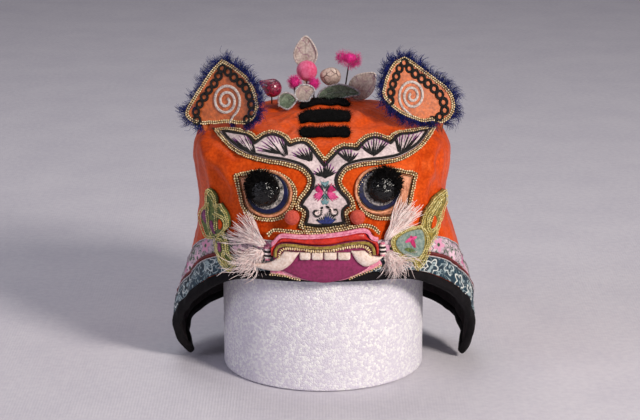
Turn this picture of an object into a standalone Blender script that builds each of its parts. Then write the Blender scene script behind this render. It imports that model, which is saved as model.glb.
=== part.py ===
"""Tiger hat for a small child, on the round foam block that holds it.

All sizes are in millimetres and become metres where a mesh is made. +Z is up, the face looks
along -Y, and the origin is the centre of the block's foot. The face is laid out in two
measures: "across", which is X, and "rise", the height seen from LOOK_DOWN degrees above level.
"""

import math
from collections import namedtuple

import bmesh
import bpy
from mathutils import Matrix, Vector
from mathutils.bvhtree import BVHTree
from mathutils.geometry import delaunay_2d_cdt

MM = 0.001
GAP = 0.3
LOOK_DOWN = math.radians(15.0)

# Layers of cloth, as lifts from the outer face of the crown
CROWN_WALL = 1.8
LINING_TOP = -CROWN_WALL - 0.6
LINING_WALL = 1.0
LINING_IN = LINING_TOP - LINING_WALL
BAND_WALL = 0.8
PIPING_WIDTH = 1.8
PIPING_WALL = 1.6
RIBBON_WIDTH = 11.0

COLUMNS = 56
CLOTH_SPACING = 8.0
FACE_LOW = 0.5
HEM_STEPS = 20
HEM_REACH = 92.0

# The block
BLOCK_RADIUS = 68.5
BLOCK_CENTRE_X = -1.0
BLOCK_SEGMENTS = 48
BLOCK_FOOT_ROUND = 1.5

# The rounded end that the cap sits on, ring by ring up to its top
BlockRing = namedtuple("BlockRing", "radius height")
BLOCK_DOME = (
    BlockRing(68.5, 132.0),
    BlockRing(66.4, 142.0),
    BlockRing(63.4, 148.0),
    BlockRing(58.4, 155.0),
    BlockRing(53.3, 160.0),
    BlockRing(45.0, 165.0),
    BlockRing(38.5, 168.0),
    BlockRing(31.0, 171.0),
    BlockRing(22.0, 173.4),
    BlockRing(10.0, 175.3),
    BlockRing(0.0, 176.7),
)

# Columns: height, left, right, front, back, square
CROWN_SECTIONS = (
    (0.0, 91.0, 92.0, 62.0, 74.0, 2.20),
    (8.0, 96.5, 98.0, 66.0, 77.0, 2.20),
    (18.0, 101.5, 101.0, 69.0, 79.0, 2.20),
    (29.0, 103.0, 101.5, 71.0, 80.0, 2.20),
    (40.0, 101.5, 101.0, 72.5, 80.0, 2.20),
    (52.0, 98.0, 99.5, 73.5, 79.0, 2.25),
    (63.0, 94.0, 96.5, 74.0, 78.0, 2.30),
    (74.0, 90.5, 92.0, 74.5, 77.0, 2.30),
    (85.0, 87.5, 89.0, 75.0, 76.0, 2.35),
    (97.0, 85.0, 85.5, 75.5, 75.5, 2.40),
    (110.0, 84.0, 81.5, 75.0, 75.0, 2.40),
    (123.0, 84.5, 80.5, 74.5, 74.5, 2.45),
    (136.0, 86.5, 82.5, 73.0, 73.0, 2.50),
    (146.0, 88.0, 84.0, 70.0, 70.5, 2.60),
    (154.5, 87.5, 83.5, 65.5, 66.5, 2.65),
    (161.5, 83.5, 79.5, 59.0, 60.5, 2.65),
    (167.5, 76.0, 72.5, 50.0, 52.5, 2.60),
    (172.8, 64.0, 61.0, 39.0, 42.0, 2.50),
    (177.0, 46.0, 44.0, 26.5, 29.5, 2.40),
    (179.8, 25.0, 24.0, 14.0, 16.5, 2.20),
    (180.8, 0.0, 0.0, 0.0, 0.0, 2.00),
)

# Half of the hem, front to back: the angle round the cap from the front and the height, for
# the hem itself, the crown's edge above the binding, and the tops of the two bands
# Columns: hem_angle, hem_height, edge_angle, edge_height, brocade_angle, brocade_height,
# flower_angle, flower_height
HEM_PATH = (
    (0.0, 77.5, 0.0, 83.5, 0.0, 94.0, 0.0, 104.5),
    (18.0, 77.8, 18.0, 83.8, 18.0, 94.3, 18.0, 104.8),
    (34.0, 77.6, 34.5, 83.6, 35.0, 94.3, 35.5, 105.0),
    (44.0, 75.0, 45.5, 80.8, 47.0, 92.0, 48.5, 103.5),
    (53.0, 69.5, 55.5, 74.7, 59.0, 86.0, 62.0, 98.0),
    (62.0, 61.0, 65.0, 65.6, 69.5, 76.5, 73.5, 88.0),
    (70.5, 50.0, 74.0, 53.8, 79.5, 63.5, 84.5, 74.0),
    (78.0, 37.5, 82.0, 40.0, 88.5, 49.0, 94.5, 59.5),
    (83.5, 25.0, 87.3, 27.0, 95.0, 37.5, 101.0, 48.5),
    (86.8, 12.5, 90.3, 15.0, 99.0, 31.5, 105.0, 43.0),
    (90.5, 3.2, 92.5, 9.4, 101.5, 29.5, 107.5, 41.0),
    (95.5, 4.0, 94.8, 10.4, 103.0, 29.3, 109.0, 40.8),
    (101.0, 11.5, 98.6, 17.2, 105.5, 31.0, 111.5, 42.3),
    (109.0, 18.5, 107.0, 24.4, 110.0, 35.0, 115.0, 46.0),
    (122.0, 24.0, 121.0, 30.0, 122.0, 40.8, 124.0, 51.8),
    (140.0, 27.5, 140.0, 33.5, 140.0, 44.3, 141.0, 55.3),
    (160.0, 29.0, 160.0, 35.0, 160.0, 45.8, 160.5, 56.8),
    (180.0, 29.5, 180.0, 35.5, 180.0, 46.3, 180.0, 57.3),
)
WAIST_HEIGHT = 116.0
DOME_HEIGHTS = (130.0, 143.0, 153.5, 162.0, 169.0, 174.8, 178.8)

# Folds and dents of the satin: a line across the front or back, its half width and its depth
# Columns: side, across_1, rise_1, across_2, rise_2, half_width, height
FRONT, BACK = -1, 1
FOLDS = (
    (FRONT, -50.0, 172.0, -26.0, 177.0, 13.0, -4.0),
    (FRONT, 27.0, 178.0, 56.0, 164.0, 9.0, -3.2),
    (FRONT, 70.0, 150.0, 62.0, 128.0, 6.0, 1.3),
    (FRONT, 78.0, 138.0, 70.0, 112.0, 5.5, -1.6),
    (FRONT, 78.0, 96.0, 86.0, 72.0, 7.0, 1.6),
    (FRONT, -79.0, 132.0, -71.0, 112.0, 6.0, -1.5),
    (FRONT, -72.0, 148.0, -64.0, 130.0, 6.0, 1.2),
    (FRONT, -84.0, 100.0, -88.0, 76.0, 7.0, 1.4),
    (BACK, -34.0, 150.0, -40.0, 92.0, 11.0, -1.6),
    (BACK, 30.0, 156.0, 36.0, 98.0, 12.0, -1.8),
    (BACK, 2.0, 140.0, -2.0, 84.0, 9.0, 1.2),
    (BACK, 62.0, 138.0, 66.0, 84.0, 9.0, 1.4),
)

# Outlines: rows of across, rise and True where the outline has a corner
BROW_NOSE_OUTLINE = (
    (-69.0, 153.5, True), (-60.0, 153.0, False), (-50.0, 151.0, False), (-45.0, 145.5, True),
    (-39.5, 149.5, False), (-33.0, 150.8, False), (-27.0, 148.5, False), (-22.5, 143.6, True),
    (-16.0, 145.6, False), (-10.0, 143.5, False), (-0.3, 131.6, True), (8.5, 140.5, False),
    (14.0, 142.0, False), (20.5, 141.2, True), (25.5, 146.5, False), (31.0, 148.8, False), (37.0, 147.8, False),
    (41.8, 145.5, True), (47.5, 150.8, False), (54.5, 152.0, False), (68.5, 153.8, True), (60.5, 144.0, False),
    (49.0, 136.8, False), (37.0, 134.0, False), (24.0, 132.6, False), (13.5, 129.5, False), (8.4, 123.2, False),
    (8.3, 119.0, False), (9.7, 116.0, False), (12.1, 113.0, False), (15.2, 109.6, False), (16.8, 104.6, True),
    (14.0, 104.0, False), (12.4, 102.2, False), (12.1, 99.2, False), (12.8, 96.2, False), (13.7, 93.8, True),
    (7.6, 92.7, False), (0.0, 91.8, False), (-6.2, 91.7, False), (-14.0, 92.8, True), (-13.1, 95.2, False),
    (-12.1, 98.2, False), (-12.0, 101.0, False), (-13.4, 103.4, False), (-16.4, 104.6, True),
    (-15.6, 107.2, False), (-13.9, 110.0, False), (-11.4, 113.0, False), (-9.3, 116.4, False),
    (-8.4, 119.4, False), (-8.6, 123.2, False), (-14.5, 129.5, False), (-26.0, 133.0, False),
    (-38.5, 135.0, False), (-51.0, 138.6, False), (-61.0, 145.2, False),
)
EYE_OUTLINE = (
    (-55.0, 123.5, True), (-47.0, 125.0, False), (-38.0, 125.6, False), (-27.0, 122.4, False),
    (-20.6, 115.0, False), (-22.6, 104.8, False), (-28.6, 99.0, False), (-37.5, 97.8, False),
    (-46.0, 99.8, False), (-50.6, 104.4, False), (-52.9, 114.0, False),
)
MOUTH_OUTLINE = (
    (-32.0, 79.5, False), (-31.0, 83.0, True), (-26.6, 86.9, False), (-15.0, 86.4, False), (0.0, 87.0, False),
    (14.0, 88.9, False), (24.4, 90.2, True), (27.4, 86.6, False), (31.2, 84.6, True), (32.2, 79.5, False),
    (32.0, 74.0, False), (28.5, 68.0, False), (24.6, 64.4, False), (17.2, 60.6, False), (8.1, 57.6, False),
    (0.5, 56.3, False), (-7.9, 57.2, False), (-14.7, 59.0, False), (-20.0, 61.2, False), (-26.0, 64.0, False),
    (-31.2, 68.4, False), (-32.6, 74.0, False),
)
UPPER_LIP_OUTLINE = (
    (-33.4, 74.2, True), (-33.5, 79.2, False), (-31.3, 81.2, False), (-29.6, 83.0, False), (-27.9, 84.8, False),
    (-26.2, 85.8, False), (-22.5, 86.0, False), (-15.7, 85.4, False), (-7.8, 85.4, False), (0.0, 86.0, False),
    (6.9, 86.8, False), (14.2, 88.0, False), (19.8, 89.3, False), (23.4, 89.4, False), (25.0, 88.4, False),
    (26.4, 86.0, False), (28.8, 84.0, False), (32.0, 83.2, False), (33.4, 79.5, False), (33.2, 74.8, True),
    (31.7, 74.9, True), (31.5, 78.1, False), (29.7, 81.4, False), (26.1, 83.7, False), (20.8, 83.9, False),
    (15.1, 83.3, False), (9.4, 82.2, False), (3.9, 81.1, False), (-4.4, 80.7, False), (-12.2, 81.3, False),
    (-18.4, 82.2, False), (-24.1, 82.6, False), (-28.8, 81.8, False), (-31.5, 78.6, False), (-32.0, 74.1, True),
)
LIP_PIPING_PATH = (
    (-32.7, 81.6), (-30.7, 83.6), (-29.2, 85.5), (-27.0, 87.3), (-22.5, 87.4), (-15.7, 86.8), (-7.8, 86.8),
    (0.0, 87.4), (6.9, 88.2), (14.2, 89.4), (19.9, 90.7), (24.1, 90.9), (26.6, 89.6), (27.8, 87.2),
    (29.6, 85.5), (32.4, 84.9),
)
LIP_BRAID_PATH = (
    (-35.0, 87.2), (-32.1, 90.4), (-26.1, 90.3), (-19.9, 89.6), (-12.5, 89.2), (-4.5, 89.2), (4.1, 90.0),
    (12.6, 91.8), (19.5, 93.2), (24.6, 93.7), (28.9, 92.8), (31.8, 90.4), (33.5, 88.4),
)
LIP_BAND_PATH = (
    (-30.6, 73.8), (-30.1, 77.9), (-27.7, 80.4), (-24.1, 81.1), (-18.5, 80.7), (-12.3, 79.8), (-4.4, 79.2),
    (4.0, 79.6), (9.6, 80.8), (15.3, 81.8), (20.9, 82.4), (25.7, 82.1), (28.5, 80.3), (29.9, 77.6),
    (30.2, 74.9),
)
LOWER_LIP_PATH = (
    (-34.7, 63.7), (-28.4, 62.9), (-24.4, 62.2), (-19.9, 61.0), (-10.0, 59.2), (0.0, 58.6), (10.0, 59.4),
    (16.1, 61.0), (20.1, 62.6), (25.8, 64.9), (30.9, 67.0), (35.5, 69.6),
)
TUSK_LEFT_OUTLINE = (
    (-15.7, 76.3, True), (-25.5, 77.0, True), (-28.6, 73.9, False), (-33.1, 70.8, False), (-38.7, 69.4, False),
    (-45.7, 69.2, True), (-43.8, 67.3, False), (-38.7, 65.5, False), (-32.5, 64.4, False), (-26.9, 64.9, False),
    (-21.8, 68.3, False), (-18.5, 72.4, False),
)
TUSK_RIGHT_OUTLINE = (
    (15.9, 77.3, True), (17.8, 73.8, False), (20.6, 70.0, False), (25.1, 67.3, False), (29.9, 68.7, False),
    (33.8, 71.1, False), (36.9, 74.1, True), (34.1, 73.6, False), (30.7, 74.0, False), (27.0, 75.6, False),
    (24.8, 77.4, True),
)
CHEEK_LEFT_OUTLINE = (
    (-74.6, 117.0, False), (-71.0, 112.0, False), (-69.6, 105.5, True), (-66.6, 107.0, False),
    (-61.8, 100.5, False), (-60.4, 93.0, False), (-63.6, 88.6, True), (-61.2, 82.0, False),
    (-60.6, 75.0, False), (-57.4, 71.0, False), (-56.4, 66.0, False), (-61.0, 63.0, False),
    (-66.4, 68.0, False), (-70.2, 77.0, False), (-70.8, 84.0, True), (-76.6, 84.6, False),
    (-79.2, 94.0, False), (-79.0, 102.0, False), (-76.0, 105.8, True), (-76.4, 111.0, False),
)
CHEEK_RIGHT_OUTLINE = (
    (76.6, 117.5, True), (71.6, 112.6, False), (64.6, 105.4, False), (61.8, 98.0, False),
    (60.6, 92.6, True), (51.0, 90.6, False), (42.4, 84.4, False), (43.0, 77.0, False),
    (50.0, 71.0, False), (56.4, 69.6, True), (58.4, 63.6, False), (63.4, 68.6, False),
    (67.4, 79.0, False), (72.4, 89.0, False), (74.0, 99.0, False), (77.0, 108.0, False),
)
# The two stripes of plush that curve over a tiger's forehead, and the one between the brows
# Columns: half_length, rise, half_width, bow
PLUSH_WALL = 1.9
BROW_WALL = 1.1
BROW_SPACING = 5.0
STRIPES = (
    (17.0, 173.6, 2.6, 2.4),
    (17.2, 164.0, 3.9, 2.0),
    (16.6, 152.6, 3.5, 1.6),
)

# Tufts of white thread: root and the two outer corners of the fan
# Columns: name, root_across, root_rise, first_across, first_rise, last_across, last_rise, lift
TUFTS = (
    ("whisker_left_upper", -39.0, 80.6, -61.0, 88.5, -46.5, 101.5, 2.9),
    ("whisker_left_lower", -39.4, 75.9, -54.5, 61.5, -62.0, 69.5, 3.4),
    ("whisker_right_upper", 38.6, 84.4, 46.5, 107.6, 58.6, 100.0, 3.4),
    ("whisker_right_lower", 39.4, 75.6, 56.5, 66.5, 48.0, 59.0, 3.5),
)

# The ears: a plane with its foot, its turn outwards and its lean back, and the outline in it
# Columns: side, foot_x, foot_y, foot_z, turn, lean
EARS = (
    ("left", -67.5, -25.0, 169.6, -24.0, 10.0),
    ("right", 63.5, -25.0, 168.0, 24.0, 10.0),
)
EAR_OUTLINES = {
    "left": (
        (-2.0, 44.2, True), (-8.6, 37.2, False), (-14.9, 27.5, False), (-20.6, 17.8, False),
        (-24.9, 9.4, False), (-24.6, 4.2, False), (-18.4, 0.6, False), (-6.0, 0.2, False), (7.0, 0.8, False),
        (19.0, 3.2, False), (25.4, 8.0, False), (27.8, 15.6, False), (24.2, 26.1, False), (18.6, 33.4, False),
        (12.0, 37.9, False), (4.4, 41.9, False),
    ),
    "right": (
        (-10.5, 48.4, True), (-18.2, 45.8, False), (-24.1, 39.1, False), (-28.0, 31.2, False),
        (-29.2, 24.5, False), (-23.2, 16.8, False), (-16.1, 11.4, False), (-7.9, 7.4, False), (2.2, 3.4, False),
        (8.7, 2.2, False), (15.8, 3.2, False), (21.1, 7.0, False), (23.4, 12.6, False), (22.7, 19.7, False),
        (18.5, 26.5, False), (12.4, 31.6, False), (6.2, 36.7, False), (-0.1, 41.6, False), (-5.0, 45.4, False),
    ),
}
EAR_ROOTS = {"left": (-13.0, 16.0), "right": (1.0, 15.0)}
EAR_ROOT_DEPTH = 7.0
EAR_WALL = 2.6
EAR_CUP = 2.0
EAR_HALF = 26.0
EAR_BRAID_WIDTH = 2.4
EAR_BRAID_WALL = 1.2
SEAT_GAP = 0.35
TRIM_MARGIN = 2.0
FRINGE_WIDTH = 5.4
FRINGE_WALL = 1.6
FRINGE_SEAM = 0.9
EAR_SPACING = 9.0
EAR_OUTLINE_SPACING = 3.2
EAR_SEWN_TOP = 16.0
EAR_SEWN_FOOT = 3.0
SEAT_TOP = 20.0
SEAT_STEP = 0.25
CHAIN_SPACING = 1.5

# Balls on wire stalks over the crown: where the stalk stands, the ball's centre and radius
STALK_RADIUS = 0.7
BALL_RINGS = 7
BALL_SEGMENTS = 12
BALL_TOP = 0.90 * math.pi
# Columns: name, x, y, centre_z, radius, finish
STALKED_BALLS = (
    ("pink_ball", -12.1, 15.0, 199.0, 7.0, "pink_silk"),
    ("pompom_left", -20.2, 5.0, 193.3, 5.4, "magenta_yarn"),
    ("pompom_right", -7.4, 6.0, 192.0, 4.8, "magenta_yarn"),
    ("pale_petal", 4.0, 18.0, 194.6, 7.2, "pale_petal"),
    ("bud", -35.6, 6.0, 189.3, 7.2, "berry_red"),
)
YARN_BALL = ((16.8, 17.0, 207.4), 8.2)
YARN_WIRE_FOOT = (13.0, 19.0)
WIRE_RADIUS = 0.6

# Leaves of stiffened cloth: where the foot stands, its heading round from the right, its rise
# from level, how much it bends over, its stem, blade and width, and how far it is rolled
# Columns: name, x, y, heading, pitch, bend, stem, blade, width, roll, finish
LEAF_WALL = 0.9
LEAF_STATIONS = 9
LEAF_FOOT_HALF = 0.9
LEAF_TIP_HALF = 0.5
LEAF_CUP = 0.10
LEAVES = (
    ("standing_leaf", -13.0, 25.0, 90.0, 88.0, 6.0, 21.0, 21.5, 15.5, 0.0, "pale_leaf"),
    ("grey_leaf", 15.5, 16.0, 3.0, 38.0, 10.0, 3.0, 22.0, 16.5, 64.0, "pale_leaf"),
    ("green_leaf", -6.0, 10.0, -3.0, 27.0, -42.0, 2.0, 28.5, 10.5, 58.0, "green_leaf"),
    ("curled_leaf", -31.5, -4.5, 4.0, 40.0, -40.0, 2.0, 11.5, 11.5, 66.0, "green_leaf"),
    ("white_petal", -17.9, -3.4, 8.0, 74.0, -84.0, 1.5, 13.0, 11.5, 70.0, "pale_leaf"),
)

# Finishes: colour, roughness, metallic
FINISHES = {
    "foam": ((0.78, 0.76, 0.84), 0.85, 0.0),
    "orange_satin": ((0.72, 0.09, 0.01), 0.38, 0.0),
    "dark_lining": ((0.015, 0.010, 0.012), 0.85, 0.0),
    "black_binding": ((0.010, 0.008, 0.010), 0.80, 0.0),
    "blue_brocade": ((0.03, 0.09, 0.13), 0.50, 0.0),
    "red_piping": ((0.22, 0.03, 0.03), 0.60, 0.0),
    "flower_ribbon": ((0.50, 0.16, 0.26), 0.55, 0.0),
    "gold_braid": ((0.62, 0.44, 0.18), 0.42, 0.6),
    "blue_fringe": ((0.010, 0.020, 0.16), 0.75, 0.0),
    "black_plush": ((0.006, 0.005, 0.006), 0.95, 0.0),
    "white_satin": ((0.62, 0.52, 0.54), 0.45, 0.0),
    "eye_cloth": ((0.02, 0.03, 0.14), 0.50, 0.0),
    "black_glass": ((0.004, 0.004, 0.005), 0.06, 0.0),
    "black_lash": ((0.006, 0.006, 0.007), 0.70, 0.0),
    "red_felt": ((0.60, 0.07, 0.05), 0.95, 0.0),
    "magenta_cloth": ((0.34, 0.01, 0.12), 0.60, 0.0),
    "red_satin": ((0.60, 0.03, 0.02), 0.45, 0.0),
    "pink_satin": ((0.75, 0.28, 0.36), 0.45, 0.0),
    "olive_braid": ((0.42, 0.38, 0.10), 0.55, 0.0),
    "tooth_cloth": ((0.75, 0.62, 0.56), 0.60, 0.0),
    "white_thread": ((0.76, 0.62, 0.60), 0.70, 0.0),
    "tie_thread": ((0.10, 0.08, 0.09), 0.70, 0.0),
    "gold_cord": ((0.58, 0.46, 0.16), 0.45, 0.5),
    "berry_red": ((0.30, 0.02, 0.05), 0.20, 0.0),
    "pink_silk": ((0.85, 0.10, 0.22), 0.35, 0.0),
    "magenta_yarn": ((0.62, 0.03, 0.30), 0.85, 0.0),
    "pale_petal": ((0.62, 0.50, 0.50), 0.50, 0.0),
    "pale_leaf": ((0.52, 0.46, 0.44), 0.50, 0.0),
    "green_leaf": ((0.16, 0.26, 0.22), 0.45, 0.0),
    "wire": ((0.20, 0.18, 0.16), 0.40, 0.8),
}


def clear_scene():
    """Take every object out of the scene that the script starts in."""
    for thing in list(bpy.data.objects):
        bpy.data.objects.remove(thing, do_unlink=True)


def finish(name):
    """Give the named finish as a material, made the first time it is asked for."""
    known = bpy.data.materials.get(name)
    if known:
        return known
    colour, roughness, metallic = FINISHES[name]
    material = bpy.data.materials.new(name)
    material.use_nodes = True
    shader = material.node_tree.nodes["Principled BSDF"]
    shader.inputs["Base Color"].default_value = (*colour, 1.0)
    shader.inputs["Roughness"].default_value = roughness
    shader.inputs["Metallic"].default_value = metallic
    material.diffuse_color = (*colour, 1.0)
    return material


def add_solid(name, points, faces, finish_name, sharp=35.0):
    """Make one closed object from points in millimetres, its faces turned outwards."""
    mesh = bpy.data.meshes.new(name)
    mesh.from_pydata([tuple(c * MM for c in p) for p in points], [], faces)
    work = bmesh.new()
    work.from_mesh(mesh)
    bmesh.ops.triangulate(work, faces=work.faces)
    bmesh.ops.recalc_face_normals(work, faces=work.faces)
    work.to_mesh(mesh)
    work.free()
    mesh.shade_smooth()
    mesh.set_sharp_from_angle(angle=math.radians(sharp))
    mesh.materials.append(finish(finish_name))
    thing = bpy.data.objects.new(name, mesh)
    bpy.context.scene.collection.objects.link(thing)
    return thing


def catmull(before, start, end, after, t):
    """Read a smooth curve between start and end, with their neighbours giving its slope."""
    return 0.5 * (
        2.0 * start + (end - before) * t
        + (2.0 * before - 5.0 * start + 4.0 * end - after) * t * t
        + (3.0 * start - before - 3.0 * end + after) * t ** 3
    )


def read_row(table, at, width):
    """Read the first columns of a table at a fractional row."""
    last = len(table) - 1
    row = int(min(max(math.floor(at), 0), last - 1))
    t = at - row
    rows = [table[max(row - 1, 0)], table[row], table[row + 1], table[min(row + 2, last)]]
    return [catmull(*(r[c] for r in rows), t) for c in range(width)]


def row_at_height(height):
    """Find the fractional row of CROWN_SECTIONS that lies at a height."""
    low, high = 0.0, len(CROWN_SECTIONS) - 1.0
    for _ in range(30):
        middle = (low + high) / 2.0
        if read_row(CROWN_SECTIONS, middle, 1)[0] > height:
            high = middle
        else:
            low = middle
    return (low + high) / 2.0


FINE_STEPS = 1200
FINE_SECTIONS = [
    read_row(CROWN_SECTIONS, row_at_height(CROWN_SECTIONS[-1][0] * k / FINE_STEPS), 6)
    for k in range(FINE_STEPS + 1)
]
APEX = CROWN_SECTIONS[-1][0]


def section_at(height):
    """Give the half widths and squareness of the crown at a height."""
    place = min(max(height / APEX, 0.0), 1.0) * FINE_STEPS
    row = min(int(place), FINE_STEPS - 1)
    t = place - row
    first, second = FINE_SECTIONS[row], FINE_SECTIONS[row + 1]
    return [a + (b - a) * t for a, b in zip(first, second)]


def bare_point(angle, row):
    """Give the crown's outer face before its folds, at an angle from the front."""
    height, left, right, front, back, square = read_row(CROWN_SECTIONS, row, 6)
    side, ahead = math.sin(angle), math.cos(angle)
    half = right if side > 0 else left
    deep = front if ahead > 0 else back
    if half < 1e-3:
        return Vector((0.0, 0.0, height))
    reach = ((abs(side) / half) ** square + (abs(ahead) / deep) ** square) ** (-1.0 / square)
    return Vector((reach * side, -reach * ahead, height))


def outward(angle, row):
    """Give the direction that points out of the crown at a place."""
    last = len(CROWN_SECTIONS) - 1.0
    if row > last - 0.02:
        return Vector((0.0, 0.0, 1.0))
    step_a, step_r = 0.01, 0.02
    along = bare_point(angle + step_a, row) - bare_point(angle - step_a, row)
    up = bare_point(angle, min(row + step_r, last)) - bare_point(angle, max(row - step_r, 0.0))
    return along.cross(up).normalized()


def rise_of(point):
    """Give the rise of a point: its height seen from above level."""
    return point.z * math.cos(LOOK_DOWN) + point.y * math.sin(LOOK_DOWN)


def fold_height(point):
    """Give how far the folds push the cloth out at a point."""
    total = 0.0
    for side, x1, r1, x2, r2, half_width, height in FOLDS:
        facing = point.y * side
        if facing < -12.0:
            continue
        rise = rise_of(point) if side == FRONT else point.z
        start, end = Vector((x1, r1)), Vector((x2, r2))
        line = end - start
        t = min(max((Vector((point.x, rise)) - start).dot(line) / line.length_squared, 0.0), 1.0)
        away = (Vector((point.x, rise)) - start - line * t).length
        fade = min(max((facing + 12.0) / 24.0, 0.0), 1.0)
        total += height * fade * math.exp(-((away / half_width) ** 2))
    return total


def crown_point(angle, row, lift):
    """Give a point at a lift from the crown's folded outer face."""
    base = bare_point(angle, row)
    return base + outward(angle, row) * (lift + fold_height(base))


def face_place(across, rise):
    """Find the angle and row of the crown where the front of it shows at across and rise."""
    sine, cosine = math.sin(LOOK_DOWN), math.cos(LOOK_DOWN)

    def inside(y):
        height = (rise - y * sine) / cosine
        if height > APEX:
            return False
        _, left, right, front, _, square = section_at(height)
        half = right if across > 0 else left
        share = 1.0 - (abs(across) / half) ** square if half > abs(across) else -1.0
        return share > 0 and y > -front * share ** (1.0 / square)

    y = -84.0
    while not inside(y) and y < 30.0:
        y += 1.0
    low, high = y - 1.0, y
    for _ in range(14):
        middle = (low + high) / 2.0
        if inside(middle):
            high = middle
        else:
            low = middle
    return math.atan2(across, -high), row_at_height((rise - high * sine) / cosine)


def face_point(across, rise, lift):
    """Give a point on the front of the hat."""
    angle, row = face_place(across, rise)
    return crown_point(angle, row, lift)


def smooth_outline(rows, spacing):
    """Run a closed smooth outline through rows of across, rise and corner."""
    count = len(rows)
    points = []
    for i, row in enumerate(rows):
        after = rows[(i + 1) % count]
        before = row if row[2] else rows[i - 1]
        beyond = after if after[2] else rows[(i + 2) % count]
        length = math.hypot(after[0] - row[0], after[1] - row[1])
        steps = max(1, round(length / spacing))
        for k in range(steps):
            t = k / steps
            points.append(tuple(
                catmull(before[c], row[c], after[c], beyond[c], t) for c in range(2)
            ))
    return points


def smooth_path(rows, spacing):
    """Run an open smooth line through rows of across and rise."""
    points = []
    for i in range(len(rows) - 1):
        before, beyond = rows[max(i - 1, 0)], rows[min(i + 2, len(rows) - 1)]
        length = math.hypot(rows[i + 1][0] - rows[i][0], rows[i + 1][1] - rows[i][1])
        steps = max(1, round(length / spacing))
        for k in range(steps):
            points.append(tuple(
                catmull(before[c], rows[i][c], rows[i + 1][c], beyond[c], k / steps)
                for c in range(2)
            ))
    points.append(tuple(rows[-1][:2]))
    return points


def turned_area(points):
    """Give twice the signed area of an outline."""
    return sum(
        a[0] * b[1] - b[0] * a[1] for a, b in zip(points, points[1:] + points[:1])
    )


def grow(points, distance):
    """Move a closed outline outwards by a distance, with its corners cut to fair lengths."""
    turn = 1.0 if turned_area(points) > 0 else -1.0
    count = len(points)
    grown = []
    for i in range(count):
        here = Vector(points[i])
        first = (here - Vector(points[i - 1])).normalized()
        second = (Vector(points[(i + 1) % count]) - here).normalized()
        normal = Vector((first.y + second.y, -first.x - second.x)) * turn
        if normal.length < 1e-6:
            normal = Vector((first.y, -first.x)) * turn
        normal.normalize()
        share = max(normal.dot(Vector((first.y, -first.x)) * turn), 0.5)
        grown.append(tuple(here + normal * distance / share))
    return tidy_loop(grown, points, abs(distance))


def nearest_gap(point, points):
    """Give the distance from a point to a closed outline."""
    best = 1e9
    here = Vector(point)
    for a, b in zip(points, points[1:] + points[:1]):
        start = Vector(a)
        line = Vector(b) - start
        if line.length_squared < 1e-12:
            continue
        t = min(max((here - start).dot(line) / line.length_squared, 0.0), 1.0)
        best = min(best, (here - start - line * t).length)
    return best


def tidy_loop(grown, source, distance):
    """Leave out the points of a moved outline that came too near to its source."""
    kept = [p for p in grown if nearest_gap(p, source) > distance * 0.93]
    clean = []
    for point in kept:
        if not clean or math.dist(point, clean[-1]) > 0.25:
            clean.append(point)
    return clean


def ribbon(path, width):
    """Turn an open line into the outline of a strip of a width."""
    left, right = [], []
    for i, point in enumerate(path):
        ahead = Vector(path[min(i + 1, len(path) - 1)])
        behind = Vector(path[max(i - 1, 0)])
        along = (ahead - behind).normalized()
        side = Vector((-along.y, along.x)) * width / 2.0
        left.append(tuple(Vector(point) + side))
        right.append(tuple(Vector(point) - side))
    return left + right[::-1]


def within(point, points):
    """Say whether a point lies inside an outline."""
    x, y = point
    odd = False
    for (x1, y1), (x2, y2) in zip(points, points[1:] + points[:1]):
        if (y1 > y) != (y2 > y) and x < x1 + (y - y1) * (x2 - x1) / (y2 - y1):
            odd = not odd
    return odd


def filled(outline, holes=(), spacing=CLOTH_SPACING):
    """Divide the inside of an outline into triangles small enough to bend with the cloth."""
    loops = [list(outline), *[list(h) for h in holes]]
    points, edges = [], []
    for loop in loops:
        first = len(points)
        points += [Vector(p) for p in loop]
        edges += [(first + k, first + (k + 1) % len(loop)) for k in range(len(loop))]
    low_x, high_x = min(p.x for p in points), max(p.x for p in points)
    low_y, high_y = min(p.y for p in points), max(p.y for p in points)
    row_step = spacing * 0.866
    row_count = int((high_y - low_y) / row_step) + 1
    for row in range(row_count):
        shift = spacing / 2.0 if row % 2 else 0.0
        for column in range(int((high_x - low_x) / spacing) + 2):
            spot = (low_x + shift + column * spacing, low_y + row * row_step)
            clear = all(nearest_gap(spot, loop) > spacing * 0.42 for loop in loops)
            if clear and within(spot, loops[0]) and not any(within(spot, h) for h in loops[1:]):
                points.append(Vector(spot))
    made, _, faces, _, _, _ = delaunay_2d_cdt(points, edges, [], 0, 1e-5)
    kept = []
    for face in faces:
        centre = sum((made[k] for k in face), Vector((0.0, 0.0))) / len(face)
        spot = (centre.x, centre.y)
        if within(spot, loops[0]) and not any(within(spot, h) for h in loops[1:]):
            kept.append(tuple(face))
    return [(p.x, p.y) for p in made], kept


def layer(name, flat, mapping, low, high, finish_name, crown=0.0):
    """Make a piece of cloth: flat triangles laid on a mapping between two lifts.

    crown swells its middle: the lift added at 4 mm or more from the edge.
    """
    places, faces = flat
    used = sorted({k for face in faces for k in face})
    order = {k: i for i, k in enumerate(used)}
    sides = {}
    for face in faces:
        for a, b in zip(face, face[1:] + face[:1]):
            sides[(a, b)] = sides.get((a, b), 0) + 1
    rim = [(a, b) for (a, b) in sides if (b, a) not in sides]
    rim_points = [places[a] for a, _ in rim]
    points = []
    for k in used:
        points.append(mapping(*places[k], low))
    for k in used:
        swell = 0.0
        if crown:
            near = min(math.dist(places[k], p) for p in rim_points)
            swell = crown * math.sqrt(min(near / 4.0, 1.0))
        points.append(mapping(*places[k], high + swell))
    count = len(used)
    solid = [tuple(order[k] for k in face[::-1]) for face in faces]
    solid += [tuple(order[k] + count for k in face) for face in faces]
    solid += [(order[a], order[b], order[b] + count, order[a] + count) for a, b in rim]
    return add_solid(name, points, solid, finish_name)


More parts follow.
